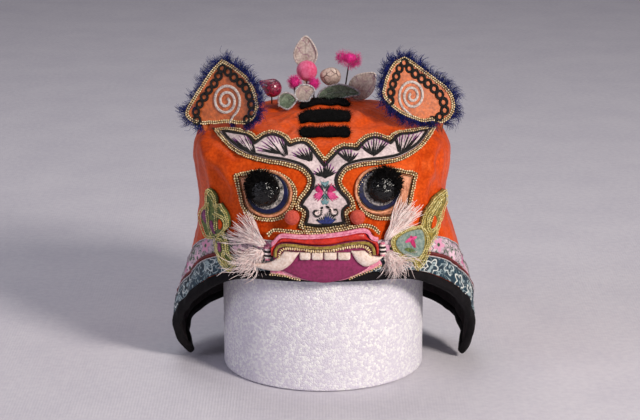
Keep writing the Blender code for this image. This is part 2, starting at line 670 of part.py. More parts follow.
def applique(name, outline, low, high, finish_name, holes=(), crown=0.0, spacing=CLOTH_SPACING):
    """Lay a cut piece of cloth on the front of the hat."""
    return layer(name, filled(outline, holes, spacing), face_point, low, high, finish_name, crown)


def hem_rows():
    """Resample half of the hem at even steps along its lowest line."""
    count = (len(HEM_PATH) - 1) * HEM_STEPS + 1
    fine = [read_row(HEM_PATH, k / HEM_STEPS, 8) for k in range(count)]
    lengths = [0.0]
    for first, second in zip(fine, fine[1:]):
        turn = math.radians(second[0] - first[0]) * HEM_REACH
        lengths.append(lengths[-1] + math.hypot(turn, second[1] - first[1]))
    rows = []
    half = COLUMNS // 2
    for k in range(half + 1):
        wanted = lengths[-1] * k / half
        place = max(i for i, length in enumerate(lengths) if length <= wanted + 1e-9)
        rows.append(fine[place])
    return rows


def hem_columns():
    """Give each column of the crown: its side and its row of the hem table."""
    half = hem_rows()
    right = [(1.0, row) for row in half[:-1]]
    left = [(-1.0, row) for row in half[:0:-1]]
    return right + left


HEM = hem_columns()


def hem_place(column, line):
    """Give the angle and height of a line of the hem table at a column.

    Lines are counted from the hem, 0, through the edge, 1, and the brocade's top, 2, to the
    flower band's top, 3. A line between two of them is read between them.
    """
    side, row = HEM[column % COLUMNS]
    first = min(int(line), 2)
    t = line - first
    angle = row[2 * first] + (row[2 * first + 2] - row[2 * first]) * t
    height = row[2 * first + 1] + (row[2 * first + 3] - row[2 * first + 1]) * t
    return math.radians(angle) * side, height


def hem_point(column, line, lift):
    """Give a point of the cloth near the hem."""
    angle, height = hem_place(column, line)
    return crown_point(angle, row_at_height(height), lift)


def wall_places():
    """Give the angle and row of every grid point of the crown, from its edge to the top."""
    rows = []
    for line in (1.0, 2.0, 3.0):
        rows.append([hem_place(c, line) for c in range(COLUMNS)])
    top_of_bands = rows[-1]
    waist = []
    for c, (hem_angle, _) in enumerate(top_of_bands):
        turn = 2.0 * math.pi * c / COLUMNS - hem_angle
        waist.append((hem_angle + math.remainder(turn, 2.0 * math.pi), WAIST_HEIGHT))
    between = []
    for (angle, height), (waist_angle, waist_height) in zip(top_of_bands, waist):
        between.append(((angle + waist_angle) / 2.0, (height + waist_height) / 2.0))
    rows += [between, waist]
    for dome in DOME_HEIGHTS:
        rows.append([(angle, dome) for angle, _ in waist])
    return [[(angle, row_at_height(height)) for angle, height in row] for row in rows]


WALL = wall_places()


def cap_shell(name, outer, inner, finish_name):
    """Make a wall over the whole cap between two lifts, open below."""
    points, faces = [], []
    for lift in (outer, inner):
        for row in WALL:
            points += [crown_point(angle, place, lift) for angle, place in row]
        points.append(Vector((0.0, 0.0, APEX + lift)))
    block = len(WALL) * COLUMNS + 1
    for skin in range(2):
        first = skin * block
        for r in range(len(WALL) - 1):
            for c in range(COLUMNS):
                d = (c + 1) % COLUMNS
                a, b = first + r * COLUMNS, first + (r + 1) * COLUMNS
                quad = (a + c, a + d, b + d, b + c)
                faces.append(quad if skin == 0 else quad[::-1])
        top = first + (len(WALL) - 1) * COLUMNS
        for c in range(COLUMNS):
            tip = (top + c, top + (c + 1) % COLUMNS, first + block - 1)
            faces.append(tip if skin == 0 else tip[::-1])
    for c in range(COLUMNS):
        d = (c + 1) % COLUMNS
        faces.append((c, block + c, block + d, d))
    return add_solid(name, points, faces, finish_name, sharp=60.0)


def hem_loop(name, profile, finish_name):
    """Sweep a closed profile of line and lift all round the hem."""
    points, faces = [], []
    for c in range(COLUMNS):
        points += [hem_point(c, line, lift) for line, lift in profile]
    size = len(profile)
    for c in range(COLUMNS):
        a, b = c * size, ((c + 1) % COLUMNS) * size
        for k in range(size):
            n = (k + 1) % size
            faces.append((a + k, b + k, b + n, a + n))
    return add_solid(name, points, faces, finish_name)


def turned(name, profile, centre, segments, finish_name, sharp=35.0):
    """Turn a profile of radius and height round a vertical line; its ends are on the line."""
    points, faces = [], []
    low, high = profile[0], profile[-1]
    rings = profile[1:-1]
    for radius, height in rings:
        for k in range(segments):
            turn = 2.0 * math.pi * k / segments
            points.append(centre + Vector((radius * math.cos(turn), radius * math.sin(turn), height)))
    points.append(centre + Vector((0.0, 0.0, low[1])))
    points.append(centre + Vector((0.0, 0.0, high[1])))
    foot, top = len(points) - 2, len(points) - 1
    for r in range(len(rings) - 1):
        a, b = r * segments, (r + 1) * segments
        for k in range(segments):
            n = (k + 1) % segments
            faces.append((a + k, a + n, b + n, b + k))
    last = (len(rings) - 1) * segments
    for k in range(segments):
        n = (k + 1) % segments
        faces.append((foot, n, k))
        faces.append((top, last + k, last + n))
    return add_solid(name, points, faces, finish_name, sharp)


def foam_block():
    """Make the round block, its upper end rounded off to fit inside the crown."""
    profile = [(0.0, 0.0), (BLOCK_RADIUS - BLOCK_FOOT_ROUND, 0.0), (BLOCK_RADIUS, BLOCK_FOOT_ROUND)]
    profile += [(row.radius, row.height) for row in BLOCK_DOME]
    return turned("foam_block", profile, Vector((BLOCK_CENTRE_X, 0.0, 0.0)), BLOCK_SEGMENTS, "foam")


def cap():
    """Make the cap's walls, its bands and its binding."""
    shell = cap_shell("crown", 0.0, -CROWN_WALL, "orange_satin")
    cap_shell("lining", LINING_TOP, LINING_IN, "dark_lining")
    hem_loop("hem_binding", (
        (0.94, 1.2), (0.50, 1.5), (0.12, 1.1), (0.0, 0.0),
        (0.0, -2.2), (0.12, -3.4), (0.50, -3.8), (0.94, -3.6),
    ), "black_binding")
    band = ((1.02, GAP), (1.98, GAP), (1.98, GAP + BAND_WALL), (1.02, GAP + BAND_WALL))
    hem_loop("brocade_band", band, "blue_brocade")
    piping = 2.0 + PIPING_WIDTH / RIBBON_WIDTH
    hem_loop("band_piping", (
        (2.01, GAP), (piping - 0.02, GAP), (piping - 0.02, PIPING_WALL), (2.01, PIPING_WALL),
    ), "red_piping")
    hem_loop("flower_band", (
        (piping, GAP), (3.0, GAP), (3.0, GAP + BAND_WALL), (piping, GAP + BAND_WALL),
    ), "flower_ribbon")
    return shell


def stripe_outline(half_length, rise, half_width, bow):
    """Give the outline of one forehead stripe, bowed upwards and drawn to points."""
    upper, lower = [], []
    steps = 12
    for k in range(steps + 1):
        t = 2.0 * k / steps - 1.0
        middle = rise + bow * (1.0 - t * t) - bow * 0.6
        reach = half_width * (1.0 - abs(t) ** 3.5) ** 0.5 if abs(t) < 1.0 else 0.35
        upper.append((half_length * t, middle + max(reach, 0.35)))
        lower.append((half_length * t, middle - max(reach, 0.35)))
    return upper + lower[::-1]


def mirrored(rows):
    """Turn an outline of the left side into one of the right side."""
    return tuple((-row[0], *row[1:]) for row in rows)[::-1]


def forehead_and_brow():
    """Lay the stripes, and the brows and nose with their braid."""
    for number, row in enumerate(STRIPES, start=1):
        outline = stripe_outline(*row)
        top = FACE_LOW + PLUSH_WALL
        applique(f"forehead_stripe_{number}", outline, FACE_LOW, top, "black_plush", spacing=7.0)
    outline = smooth_outline(BROW_NOSE_OUTLINE, BROW_SPACING)
    applique("brow_nose", outline, FACE_LOW, FACE_LOW + BROW_WALL, "white_satin")
    inner, outer = grow(outline, GAP), grow(outline, GAP + BRAID_WIDTH)
    applique("brow_braid", outer, FACE_LOW, FACE_LOW + BRAID_WALL, "gold_braid", holes=(inner,))


EYE_CENTRES = {"left": (-38.4, 115.0), "right": (36.4, 117.2)}
EYE_SHIFTS = {"left": (0.0, 0.0), "right": (1.5, 0.75)}
EYE_SPACING = 4.5
EYEBALL_RADIUS = 10.4
EYEBALL_HEIGHT = 7.6
LASH_WIDTH = 3.4
EYE_WALL = 1.0
EYE_SEAT = 0.4
EYE_RINGS = 5
EYE_SEGMENTS = 20
EYE_TOP = 82.0
BRAID_WIDTH = 2.4
BRAID_WALL = 1.7


def eye(side):
    """Make one eye: its panel, braid, glass eyeball and black lashes."""
    rows = EYE_OUTLINE if side == "left" else mirrored(EYE_OUTLINE)
    aside, raised = EYE_SHIFTS[side]
    rows = tuple((row[0] + aside, row[1] + raised, row[2]) for row in rows)
    outline = smooth_outline(rows, EYE_SPACING)
    low = FACE_LOW
    applique(f"eye_panel_{side}", outline, low, low + EYE_WALL, "eye_cloth")
    inner, outer = grow(outline, GAP), grow(outline, GAP + BRAID_WIDTH)
    applique(f"eye_braid_{side}", outer, low, low + BRAID_WALL, "gold_braid", holes=(inner,))
    x, rise = EYE_CENTRES[side]
    base = low + EYE_WALL + GAP
    place = face_place(x, rise)
    out = outward(*place)
    across = Vector((0.0, 0.0, 1.0)).cross(out).normalized()
    up = out.cross(across)
    seat = crown_point(*place, base + EYE_SEAT)
    rings, segments = EYE_RINGS, EYE_SEGMENTS
    points, faces = [], []
    for r in range(rings):
        turn = math.radians(EYE_TOP * r / (rings - 1))
        radius, height = EYEBALL_RADIUS * math.cos(turn), EYEBALL_HEIGHT * math.sin(turn)
        for k in range(segments):
            spin = 2.0 * math.pi * k / segments
            ray = across * math.cos(spin) + up * math.sin(spin)
            points.append(seat + ray * radius + out * height)
    points.append(seat + out * EYEBALL_HEIGHT)
    points.append(seat)
    for r in range(rings - 1):
        for k in range(segments):
            n = (k + 1) % segments
            faces.append((r * segments + k, r * segments + n, (r + 1) * segments + n, (r + 1) * segments + k))
    for k in range(segments):
        n = (k + 1) % segments
        faces.append(((rings - 1) * segments + k, (rings - 1) * segments + n, rings * segments))
        faces.append((n, k, rings * segments + 1))
    add_solid(f"eyeball_{side}", points, faces, "black_glass", sharp=60.0)
    lash(side, seat, across, up, out)


def lash(side, seat, across, up, out):
    """Make the ring of black lashes round an eyeball, longest above it."""
    segments = 24
    points, faces = [], []
    for k in range(segments):
        spin = 2.0 * math.pi * k / segments
        ray = across * math.cos(spin) + up * math.sin(spin)
        reach = EYEBALL_RADIUS + GAP + LASH_WIDTH * (0.75 + 0.25 * math.sin(spin))
        profile = ((EYEBALL_RADIUS + GAP, 0.2), (reach, 0.7), (reach, 1.5), (EYEBALL_RADIUS + GAP, 2.6))
        points += [seat + ray * radius + out * height for radius, height in profile]
    for k in range(segments):
        a, b = 4 * k, 4 * ((k + 1) % segments)
        for j in range(4):
            n = (j + 1) % 4
            faces.append((a + j, b + j, b + n, a + n))
    add_solid(f"eye_lashes_{side}", points, faces, "black_lash")


def ball(name, centre, radius, finish_name, rings=7, segments=12, stretch=(1.0, 1.0, 1.0), tilt=0.0):
    """Make a ball, or a bud where it is stretched and tilted to the side."""
    points, faces = [], []
    turn_side = Matrix.Rotation(math.radians(tilt), 3, "Y")
    for r in range(1, rings):
        turn = math.pi * r / rings
        for k in range(segments):
            spin = 2.0 * math.pi * k / segments
            spot = Vector((
                math.sin(turn) * math.cos(spin) * stretch[0],
                math.sin(turn) * math.sin(spin) * stretch[1],
                -math.cos(turn) * stretch[2],
            ))
            points.append(centre + turn_side @ (spot * radius))
    points.append(centre - turn_side @ Vector((0.0, 0.0, radius * stretch[2])))
    points.append(centre + turn_side @ Vector((0.0, 0.0, radius * stretch[2])))
    foot, top = len(points) - 2, len(points) - 1
    for r in range(rings - 2):
        for k in range(segments):
            n = (k + 1) % segments
            a, b = r * segments, (r + 1) * segments
            faces.append((a + k, a + n, b + n, b + k))
    last = (rings - 2) * segments
    for k in range(segments):
        n = (k + 1) % segments
        faces.append((foot, n, k))
        faces.append((top, last + k, last + n))
    return add_solid(name, points, faces, finish_name, sharp=60.0)


CHEEK_BALL_RADIUS = 4.6
CHEEK_BALLS = {"left": (-20.4, 98.6, 1.2), "right": (20.2, 98.8, 1.1)}


def cheek_ball(side):
    """Seat one red felt ball beside the nose."""
    x, rise, seat = CHEEK_BALLS[side]
    centre = crown_point(*face_place(x, rise), seat + CHEEK_BALL_RADIUS)
    ball(f"cheek_ball_{side}", centre, CHEEK_BALL_RADIUS, "red_felt")


MOUTH_LOW = 2.0
PANEL_LOW = 3.4
FRONT_LOW = 4.8
TOOTH_EDGES = (-16.2, -8.7, -0.9, 7.7, 16.2)
TOOTH_TOP = 76.4
TOOTH_FOOT = 71.5
TOOTH_GAP = 1.0
LOWER_WIDTH = 4.2
BAND_WIDTH = 1.7
PINK_WIDTH = 1.9
LIP_BRAID_WIDTH = 2.2
PANEL_SPACING = 6.0
LIP_SPACING = 3.6
CORD_SPACING = 3.0


def mouth():
    """Lay the mouth: lower lip, panel, teeth, tusks, upper lip and its bands."""
    lower = ribbon(smooth_path(LOWER_LIP_PATH, PANEL_SPACING), LOWER_WIDTH)
    applique("lower_lip", lower, MOUTH_LOW, MOUTH_LOW + 1.1, "pink_satin")
    panel = smooth_outline(MOUTH_OUTLINE, PANEL_SPACING)
    applique("mouth_panel", panel, PANEL_LOW, PANEL_LOW + 1.0, "magenta_cloth")
    for number, (left, right) in enumerate(zip(TOOTH_EDGES, TOOTH_EDGES[1:]), start=1):
        low, high = left + TOOTH_GAP / 2.0, right - TOOTH_GAP / 2.0
        outline = [(low, TOOTH_TOP), (high, TOOTH_TOP), (high, TOOTH_FOOT), (low, TOOTH_FOOT)]
        applique(f"tooth_{number}", outline, FRONT_LOW, FRONT_LOW + 1.4, "tooth_cloth")
    for side, rows in (("left", TUSK_LEFT_OUTLINE), ("right", TUSK_RIGHT_OUTLINE)):
        outline = smooth_outline(rows, LIP_SPACING)
        applique(f"tusk_{side}", outline, FRONT_LOW, FRONT_LOW + 1.4, "tooth_cloth", crown=1.0)
    lip = smooth_outline(UPPER_LIP_OUTLINE, LIP_SPACING)
    applique("upper_lip", lip, FRONT_LOW, FRONT_LOW + 1.6, "red_satin", crown=1.6, spacing=5.0)
    band = ribbon(smooth_path(LIP_BAND_PATH, CORD_SPACING), BAND_WIDTH)
    applique("lip_band", band, FRONT_LOW, FRONT_LOW + 2.6, "olive_braid")
    piping = ribbon(smooth_path(LIP_PIPING_PATH, CORD_SPACING), PINK_WIDTH)
    applique("lip_piping", piping, FRONT_LOW, FRONT_LOW + 2.2, "pink_satin")
    braid = ribbon(smooth_path(LIP_BRAID_PATH, CORD_SPACING), LIP_BRAID_WIDTH)
    applique("lip_braid", braid, FRONT_LOW, FRONT_LOW + 2.0, "gold_braid")


TUFT_WALL = 2.2
TUFT_FLARE = 0.02
TUFT_DIP = 1.5
TUFT_ROOT = 3.0
TUFT_BULGE = 3.0
TUFT_HALF = 1.4
TUFT_STEPS = 5
TUFT_SPACING = 7.0


def tuft(name, root_x, root_rise, first_x, first_rise, last_x, last_rise, lift):
    """Lay one fan of threads that spreads from its root at the corner of the mouth."""
    root = Vector((root_x, root_rise))
    first, last = Vector((first_x, first_rise)), Vector((last_x, last_rise))
    across = (last - first).normalized()
    rim = []
    for k in range(TUFT_STEPS + 1):
        t = k / TUFT_STEPS
        spot = first.lerp(last, t)
        rim.append(tuple(spot + (spot - root).normalized() * TUFT_BULGE * math.sin(math.pi * t)))
    outline = [tuple(root - across * TUFT_HALF), *rim, tuple(root + across * TUFT_HALF)]

    def spread(x, rise, height):
        away = math.dist((x, rise), root)
        lift_here = height * (1.0 + TUFT_FLARE * away) - TUFT_DIP * math.exp(-away / TUFT_ROOT)
        return face_point(x, rise, lift_here)

    layer(name, filled(outline, (), TUFT_SPACING), spread, lift, lift + TUFT_WALL, "white_thread")


TIE_CENTRES = {"left": (-36.3, 74.9), "right": (36.4, 77.4)}
TIE_LIFT = 2.6
TIE_RADIUS = 1.2
TIE_STRETCH = (1.6, 1.0, 3.7)


def tie(side):
    """Seat the bound tie that gathers the tufts at a corner of the mouth."""
    place = face_place(*TIE_CENTRES[side])
    centre = crown_point(*place, TIE_LIFT)
    ball(f"whisker_tie_{side}", centre, TIE_RADIUS, "tie_thread", rings=6, segments=8, stretch=TIE_STRETCH)


def whiskers_and_cheeks():
    """Lay the cheek ornaments, and the tufts of thread over them."""
    for side, rows in (("left", CHEEK_LEFT_OUTLINE), ("right", CHEEK_RIGHT_OUTLINE)):
        outline = smooth_outline(rows, 4.5)
        applique(f"cheek_ornament_{side}", outline, MOUTH_LOW, MOUTH_LOW + 1.2, "gold_cord")
    for row in TUFTS:
        tuft(*row)
    for side in TIE_CENTRES:
        tie(side)


def bvh_of(*names):
    """Give a search tree of the faces of some objects together, in millimetres."""
    points, faces = [], []
    for name in names:
        mesh = bpy.data.objects[name].data
        start = len(points)
        points += [v.co / MM for v in mesh.vertices]
        faces += [tuple(start + k for k in p.vertices) for p in mesh.polygons]
    return BVHTree.FromPolygons(points, faces)


Seats = namedtuple("Seats", "cloth trim margin")


def clearance(seats, point):
    """Give the free space at a point: to the cloth, negative inside it, and to what lies on it."""
    spot, normal, _, distance = seats.cloth.find_nearest(point)
    if (point - spot).dot(normal) < 0.0:
        distance = -distance
    _, _, _, to_trim = seats.trim.find_nearest(point)
    return min(distance, to_trim - seats.margin)


def ear(seats, side, foot_x, foot_y, foot_z, turn, lean):
    """Make one ear, cut to the crown where it is sewn on: panel, gold braid and blue fringe."""
    frame = Matrix.Rotation(math.radians(turn), 3, "Z") @ Matrix.Rotation(math.radians(-lean), 3, "X")
    foot = Vector((foot_x, foot_y, foot_z))

    def mapping(u, v, lift):
        cup = EAR_CUP * (u / EAR_HALF) ** 2
        return foot + frame @ Vector((u, -lift - cup, v))

    def clear(u, v, high):
        return min(clearance(seats, mapping(u, v, lift)) for lift in (0.0, high / 2.0, high))

    def seat(u, high):
        v = SEAT_TOP
        while v > -EAR_ROOT_DEPTH and clear(u, v, high) > SEAT_GAP:
            v -= SEAT_STEP
        return v + SEAT_STEP

    outline = smooth_outline(EAR_OUTLINES[side], EAR_OUTLINE_SPACING)
    root_low, root_high = EAR_ROOTS[side]
    panel = []
    for u, v in outline:
        sewn = root_low <= u <= root_high and v < EAR_SEWN_TOP
        panel.append((u, seat(u, EAR_WALL) if sewn else max(v, seat(u, EAR_WALL))))
    layer(f"ear_panel_{side}", filled(panel, (), EAR_SPACING), mapping, 0.0, EAR_WALL, "orange_satin")
    braid_low = EAR_WALL + GAP
    braid_high = braid_low + EAR_BRAID_WALL
    trim = [(u, max(v, seat(u, braid_high))) for u, v in outline]
    inner = grow(trim, -EAR_BRAID_WIDTH)
    flat = filled(trim, (inner,), EAR_SPACING)
    layer(f"ear_braid_{side}", flat, mapping, braid_low, braid_high, "gold_braid")
    near, far = grow(panel, FRINGE_SEAM), grow(panel, FRINGE_WIDTH)

    def loose(point):
        return clear(*point, FRINGE_WALL) > SEAT_GAP and not sewn_edge(point, side)

    near, far = open_chain(near, loose), open_chain(far, loose)
    flat = filled(near + far[::-1], (), EAR_SPACING)
    layer(f"ear_fringe_{side}", flat, mapping, 0.0, FRINGE_WALL, "blue_fringe")


def sewn_edge(point, side):
    """Say whether a point lies below the ear, over the root that is sewn to the crown."""
    root_low, root_high = EAR_ROOTS[side]
    return root_low - 1.0 <= point[0] <= root_high + 1.0 and point[1] < EAR_SEWN_FOOT


def open_chain(points, wanted):
    """Give the longest run of a closed outline whose points are all wanted."""
    close = dense(points, CHAIN_SPACING)
    marks = [wanted(p) for p in close]
    best, run = [], []
    for k in range(2 * len(close)):
        if marks[k % len(close)]:
            run.append(close[k % len(close)])
        else:
            best = max(best, run, key=len)
            run = []
    kept = best[:len(close)]
    return kept[::2] + ([kept[-1]] if (len(kept) - 1) % 2 else [])


def dense(points, spacing):
    """Add points along the sides of an outline, for a closer test of a gap."""
    close = []
    for a, b in zip(points, points[1:] + points[:1]):
        steps = max(1, round(math.dist(a, b) / spacing))
        close += [
            (a[0] + (b[0] - a[0]) * k / steps, a[1] + (b[1] - a[1]) * k / steps)
            for k in range(steps)
        ]
    return close


def ground_at(seats, x, y):
    """Give the height of the crown's top at a place."""
    spot, _, _, _ = seats.cloth.ray_cast(Vector((x, y, 400.0)), Vector((0.0, 0.0, -1.0)))
    return spot.z


def stalked_ball(seats, name, x, y, centre_z, radius, finish_name):
    """Stand a ball on the crown on its wire stalk, the two in one turned solid."""
    foot = ground_at(seats, x, y) + GAP + STALK_RADIUS * 0.6
    profile = [(0.0, foot), (STALK_RADIUS, foot)]
    low = math.asin(STALK_RADIUS / radius)
    for k in range(BALL_RINGS + 1):
        turn = low + BALL_TOP * k / BALL_RINGS
        profile.append((radius * math.sin(turn), centre_z - radius * math.cos(turn)))
    profile.append((0.0, centre_z + radius))
    turned(name, profile, Vector((x, y, 0.0)), BALL_SEGMENTS, finish_name, sharp=50.0)


def rod(name, start, end, radius, finish_name, sides=8):
    """Make a straight wire between two points."""
    line = (end - start).normalized()
    across = line.cross(Vector((0.0, 1.0, 0.0))).normalized()
    up = line.cross(across)
    points, faces = [], []
    for place in (start, end):
        for k in range(sides):
            turn = 2.0 * math.pi * k / sides
            points.append(place + (across * math.cos(turn) + up * math.sin(turn)) * radius)
    for k in range(sides):
        n = (k + 1) % sides
        faces.append((k, n, sides + n, sides + k))
    faces.append(tuple(range(sides))[::-1])
    faces.append(tuple(range(sides, 2 * sides)))
    add_solid(name, points, faces, finish_name)


def yarn_ball(seats):
    """Hold the ball of yarn over the crown on its wire."""
    centre, radius = Vector(YARN_BALL[0]), YARN_BALL[1]
    ball("yarn_ball", centre, radius, "magenta_yarn")
    x, y = YARN_WIRE_FOOT
    foot = Vector((x, y, ground_at(seats, x, y) + GAP + WIRE_RADIUS))
    line = (centre - foot).normalized()
    rod("yarn_wire", foot, centre - line * (radius + GAP), WIRE_RADIUS, "wire")


def leaf(seats, name, x, y, heading, pitch, bend, stem, blade, width, roll, finish_name):
    """Stand one leaf on the crown: a narrow stem that opens into a bent blade."""
    ahead = Vector((math.cos(math.radians(heading)), math.sin(math.radians(heading)), 0.0))
    level = Vector((-ahead.y, ahead.x, 0.0))
    stations = LEAF_STATIONS
    length = stem + blade
    rows = []
    place = Vector((0.0, 0.0, 0.0))
    for k in range(stations + 1):
        s = length * k / stations
        turn = math.radians(pitch + bend * k / stations)
        along = ahead * math.cos(turn) + Vector((0.0, 0.0, math.sin(turn)))
        up = -ahead * math.sin(turn) + Vector((0.0, 0.0, math.cos(turn)))
        lean = math.radians(roll) * min(s / max(stem, 1.0), 1.0)
        side = level * math.cos(lean) + up * math.sin(lean)
        face = side.cross(along)
        share = min(max((s - stem) / blade, 0.0), 1.0)
        swell = math.sin(math.pi * share ** 0.8) ** 0.8
        half = LEAF_FOOT_HALF + (width / 2.0 - LEAF_FOOT_HALF) * swell
        rows.append((place.copy(), side, face, max(half, LEAF_TIP_HALF)))
        place += along * length / stations
    points = []
    for thick in (0.0, LEAF_WALL):
        for middle, side, face, half in rows:
            for t in (-1.0, 0.0, 1.0):
                cup = LEAF_CUP * half * abs(t)
                points.append(middle + side * half * t + face * (thick - cup))
    count = len(rows) * 3
    faces = []
    for r in range(len(rows) - 1):
        for c in range(2):
            a, b = 3 * r + c, 3 * (r + 1) + c
            faces.append((a, b, b + 1, a + 1))
            faces.append((count + a, count + a + 1, count + b + 1, count + b))
        for c in (0, 2):
            a, b = 3 * r + c, 3 * (r + 1) + c
            faces.append((a, count + a, count + b, b))
    for r in (0, len(rows) - 1):
        for c in range(2):
            a = 3 * r + c
            faces.append((a, a + 1, count + a + 1, count + a))
    low = ground_at(seats, x, y)
    high = low + 3.0 * width
    for _ in range(30):
        middle = (low + high) / 2.0
        foot = Vector((x, y, middle))
        if min(clearance(seats, p + foot) for p in points) > GAP:
            high = middle
        else:
            low = middle
    foot = Vector((x, y, high))
    add_solid(name, [p + foot for p in points], faces, finish_name, sharp=50.0)


def ornaments(seats):
    """Stand the balls and leaves between the ears."""
    for row in STALKED_BALLS:
        stalked_ball(seats, *row)
    yarn_ball(seats)
    for row in LEAVES:
        leaf(seats, *row)


def build():
    """Build the whole hat on its block."""
    clear_scene()
    foam_block()
    cap()
    forehead_and_brow()
    for side in ("left", "right"):
        eye(side)
        cheek_ball(side)
    mouth()
    whiskers_and_cheeks()
    cloth = bvh_of("crown")
    brow_seats = Seats(cloth, bvh_of("brow_nose", "brow_braid"), TRIM_MARGIN)
    for row in EARS:
        ear(brow_seats, *row)
    ornaments(Seats(cloth, bvh_of("forehead_stripe_1", "forehead_stripe_2"), 0.0))


build()
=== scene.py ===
import logging
import math
from collections.abc import Callable, Sequence
from dataclasses import dataclass, field
from enum import Enum

import bmesh
import bpy
import numpy as np
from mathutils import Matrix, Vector, noise
from mathutils.bvhtree import BVHTree
from mathutils.geometry import delaunay_2d_cdt


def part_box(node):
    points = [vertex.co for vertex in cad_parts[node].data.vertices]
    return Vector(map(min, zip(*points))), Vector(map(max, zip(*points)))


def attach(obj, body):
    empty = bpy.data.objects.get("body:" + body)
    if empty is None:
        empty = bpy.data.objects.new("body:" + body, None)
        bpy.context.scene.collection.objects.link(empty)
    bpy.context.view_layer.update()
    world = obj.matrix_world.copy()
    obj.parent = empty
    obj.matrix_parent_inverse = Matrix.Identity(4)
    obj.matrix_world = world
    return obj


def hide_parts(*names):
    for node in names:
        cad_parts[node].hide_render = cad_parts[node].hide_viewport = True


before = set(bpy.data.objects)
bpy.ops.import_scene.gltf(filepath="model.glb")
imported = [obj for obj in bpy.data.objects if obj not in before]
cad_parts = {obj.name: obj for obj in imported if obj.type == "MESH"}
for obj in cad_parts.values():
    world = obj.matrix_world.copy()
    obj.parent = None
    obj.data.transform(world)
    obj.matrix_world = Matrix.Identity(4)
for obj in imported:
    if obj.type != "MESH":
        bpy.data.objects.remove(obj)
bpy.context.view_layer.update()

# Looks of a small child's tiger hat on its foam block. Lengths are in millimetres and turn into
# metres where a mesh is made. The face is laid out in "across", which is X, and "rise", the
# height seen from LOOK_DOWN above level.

MM = 0.001
LOOK_DOWN = math.radians(15.0)
SEED = 41
log = logging.getLogger("tiger_hat")

Row = tuple[float, ...]
Faces = list[tuple[int, ...]]
Link = bpy.types.NodeSocket
Piece = bpy.types.Object
Material = bpy.types.Material
Array = np.ndarray

# Columns: height, left, right, front, back, square
CROWN_SECTIONS = (
    (0, 91, 92, 62, 74, 2.2), (8, 96.5, 98, 66, 77, 2.2), (18, 101.5, 101, 69, 79, 2.2),
    (29, 103, 101.5, 71, 80, 2.2), (40, 101.5, 101, 72.5, 80, 2.2), (52, 98, 99.5, 73.5, 79, 2.25),
    (63, 94, 96.5, 74, 78, 2.3), (74, 90.5, 92, 74.5, 77, 2.3), (85, 87.5, 89, 75, 76, 2.35),
    (97, 85, 85.5, 75.5, 75.5, 2.4), (110, 84, 81.5, 75, 75, 2.4), (123, 84.5, 80.5, 74.5, 74.5, 2.45),
    (136, 86.5, 82.5, 73, 73, 2.5), (146, 88, 84, 70, 70.5, 2.6), (154.5, 87.5, 83.5, 65.5, 66.5, 2.65),
    (161.5, 83.5, 79.5, 59, 60.5, 2.65), (167.5, 76, 72.5, 50, 52.5, 2.6), (172.8, 64, 61, 39, 42, 2.5),
    (177, 46, 44, 26.5, 29.5, 2.4), (179.8, 25, 24, 14, 16.5, 2.2), (180.8, 0, 0, 0, 0, 2),
)
# Half of the hem, front to back: the angle round the cap from the front and the height, for
# the hem itself, the crown's edge above the binding, and the tops of the two bands
# Columns: hem_angle, hem_height, edge_angle, edge_height, brocade_angle, brocade_height,
# flower_angle, flower_height
HEM_PATH = (
    (0, 77.5, 0, 83.5, 0, 94, 0, 104.5), (18, 77.8, 18, 83.8, 18, 94.3, 18, 104.8),
    (34, 77.6, 34.5, 83.6, 35, 94.3, 35.5, 105), (44, 75, 45.5, 80.8, 47, 92, 48.5, 103.5),
    (53, 69.5, 55.5, 74.7, 59, 86, 62, 98), (62, 61, 65, 65.6, 69.5, 76.5, 73.5, 88),
    (70.5, 50, 74, 53.8, 79.5, 63.5, 84.5, 74), (78, 37.5, 82, 40, 88.5, 49, 94.5, 59.5),
    (83.5, 25, 87.3, 27, 95, 37.5, 101, 48.5), (86.8, 12.5, 90.3, 15, 99, 31.5, 105, 43),
    (90.5, 3.2, 92.5, 9.4, 101.5, 29.5, 107.5, 41), (95.5, 4, 94.8, 10.4, 103, 29.3, 109, 40.8),
    (101, 11.5, 98.6, 17.2, 105.5, 31, 111.5, 42.3), (109, 18.5, 107, 24.4, 110, 35, 115, 46),
    (122, 24, 121, 30, 122, 40.8, 124, 51.8), (140, 27.5, 140, 33.5, 140, 44.3, 141, 55.3),
    (160, 29, 160, 35, 160, 45.8, 160.5, 56.8), (180, 29.5, 180, 35.5, 180, 46.3, 180, 57.3),
)
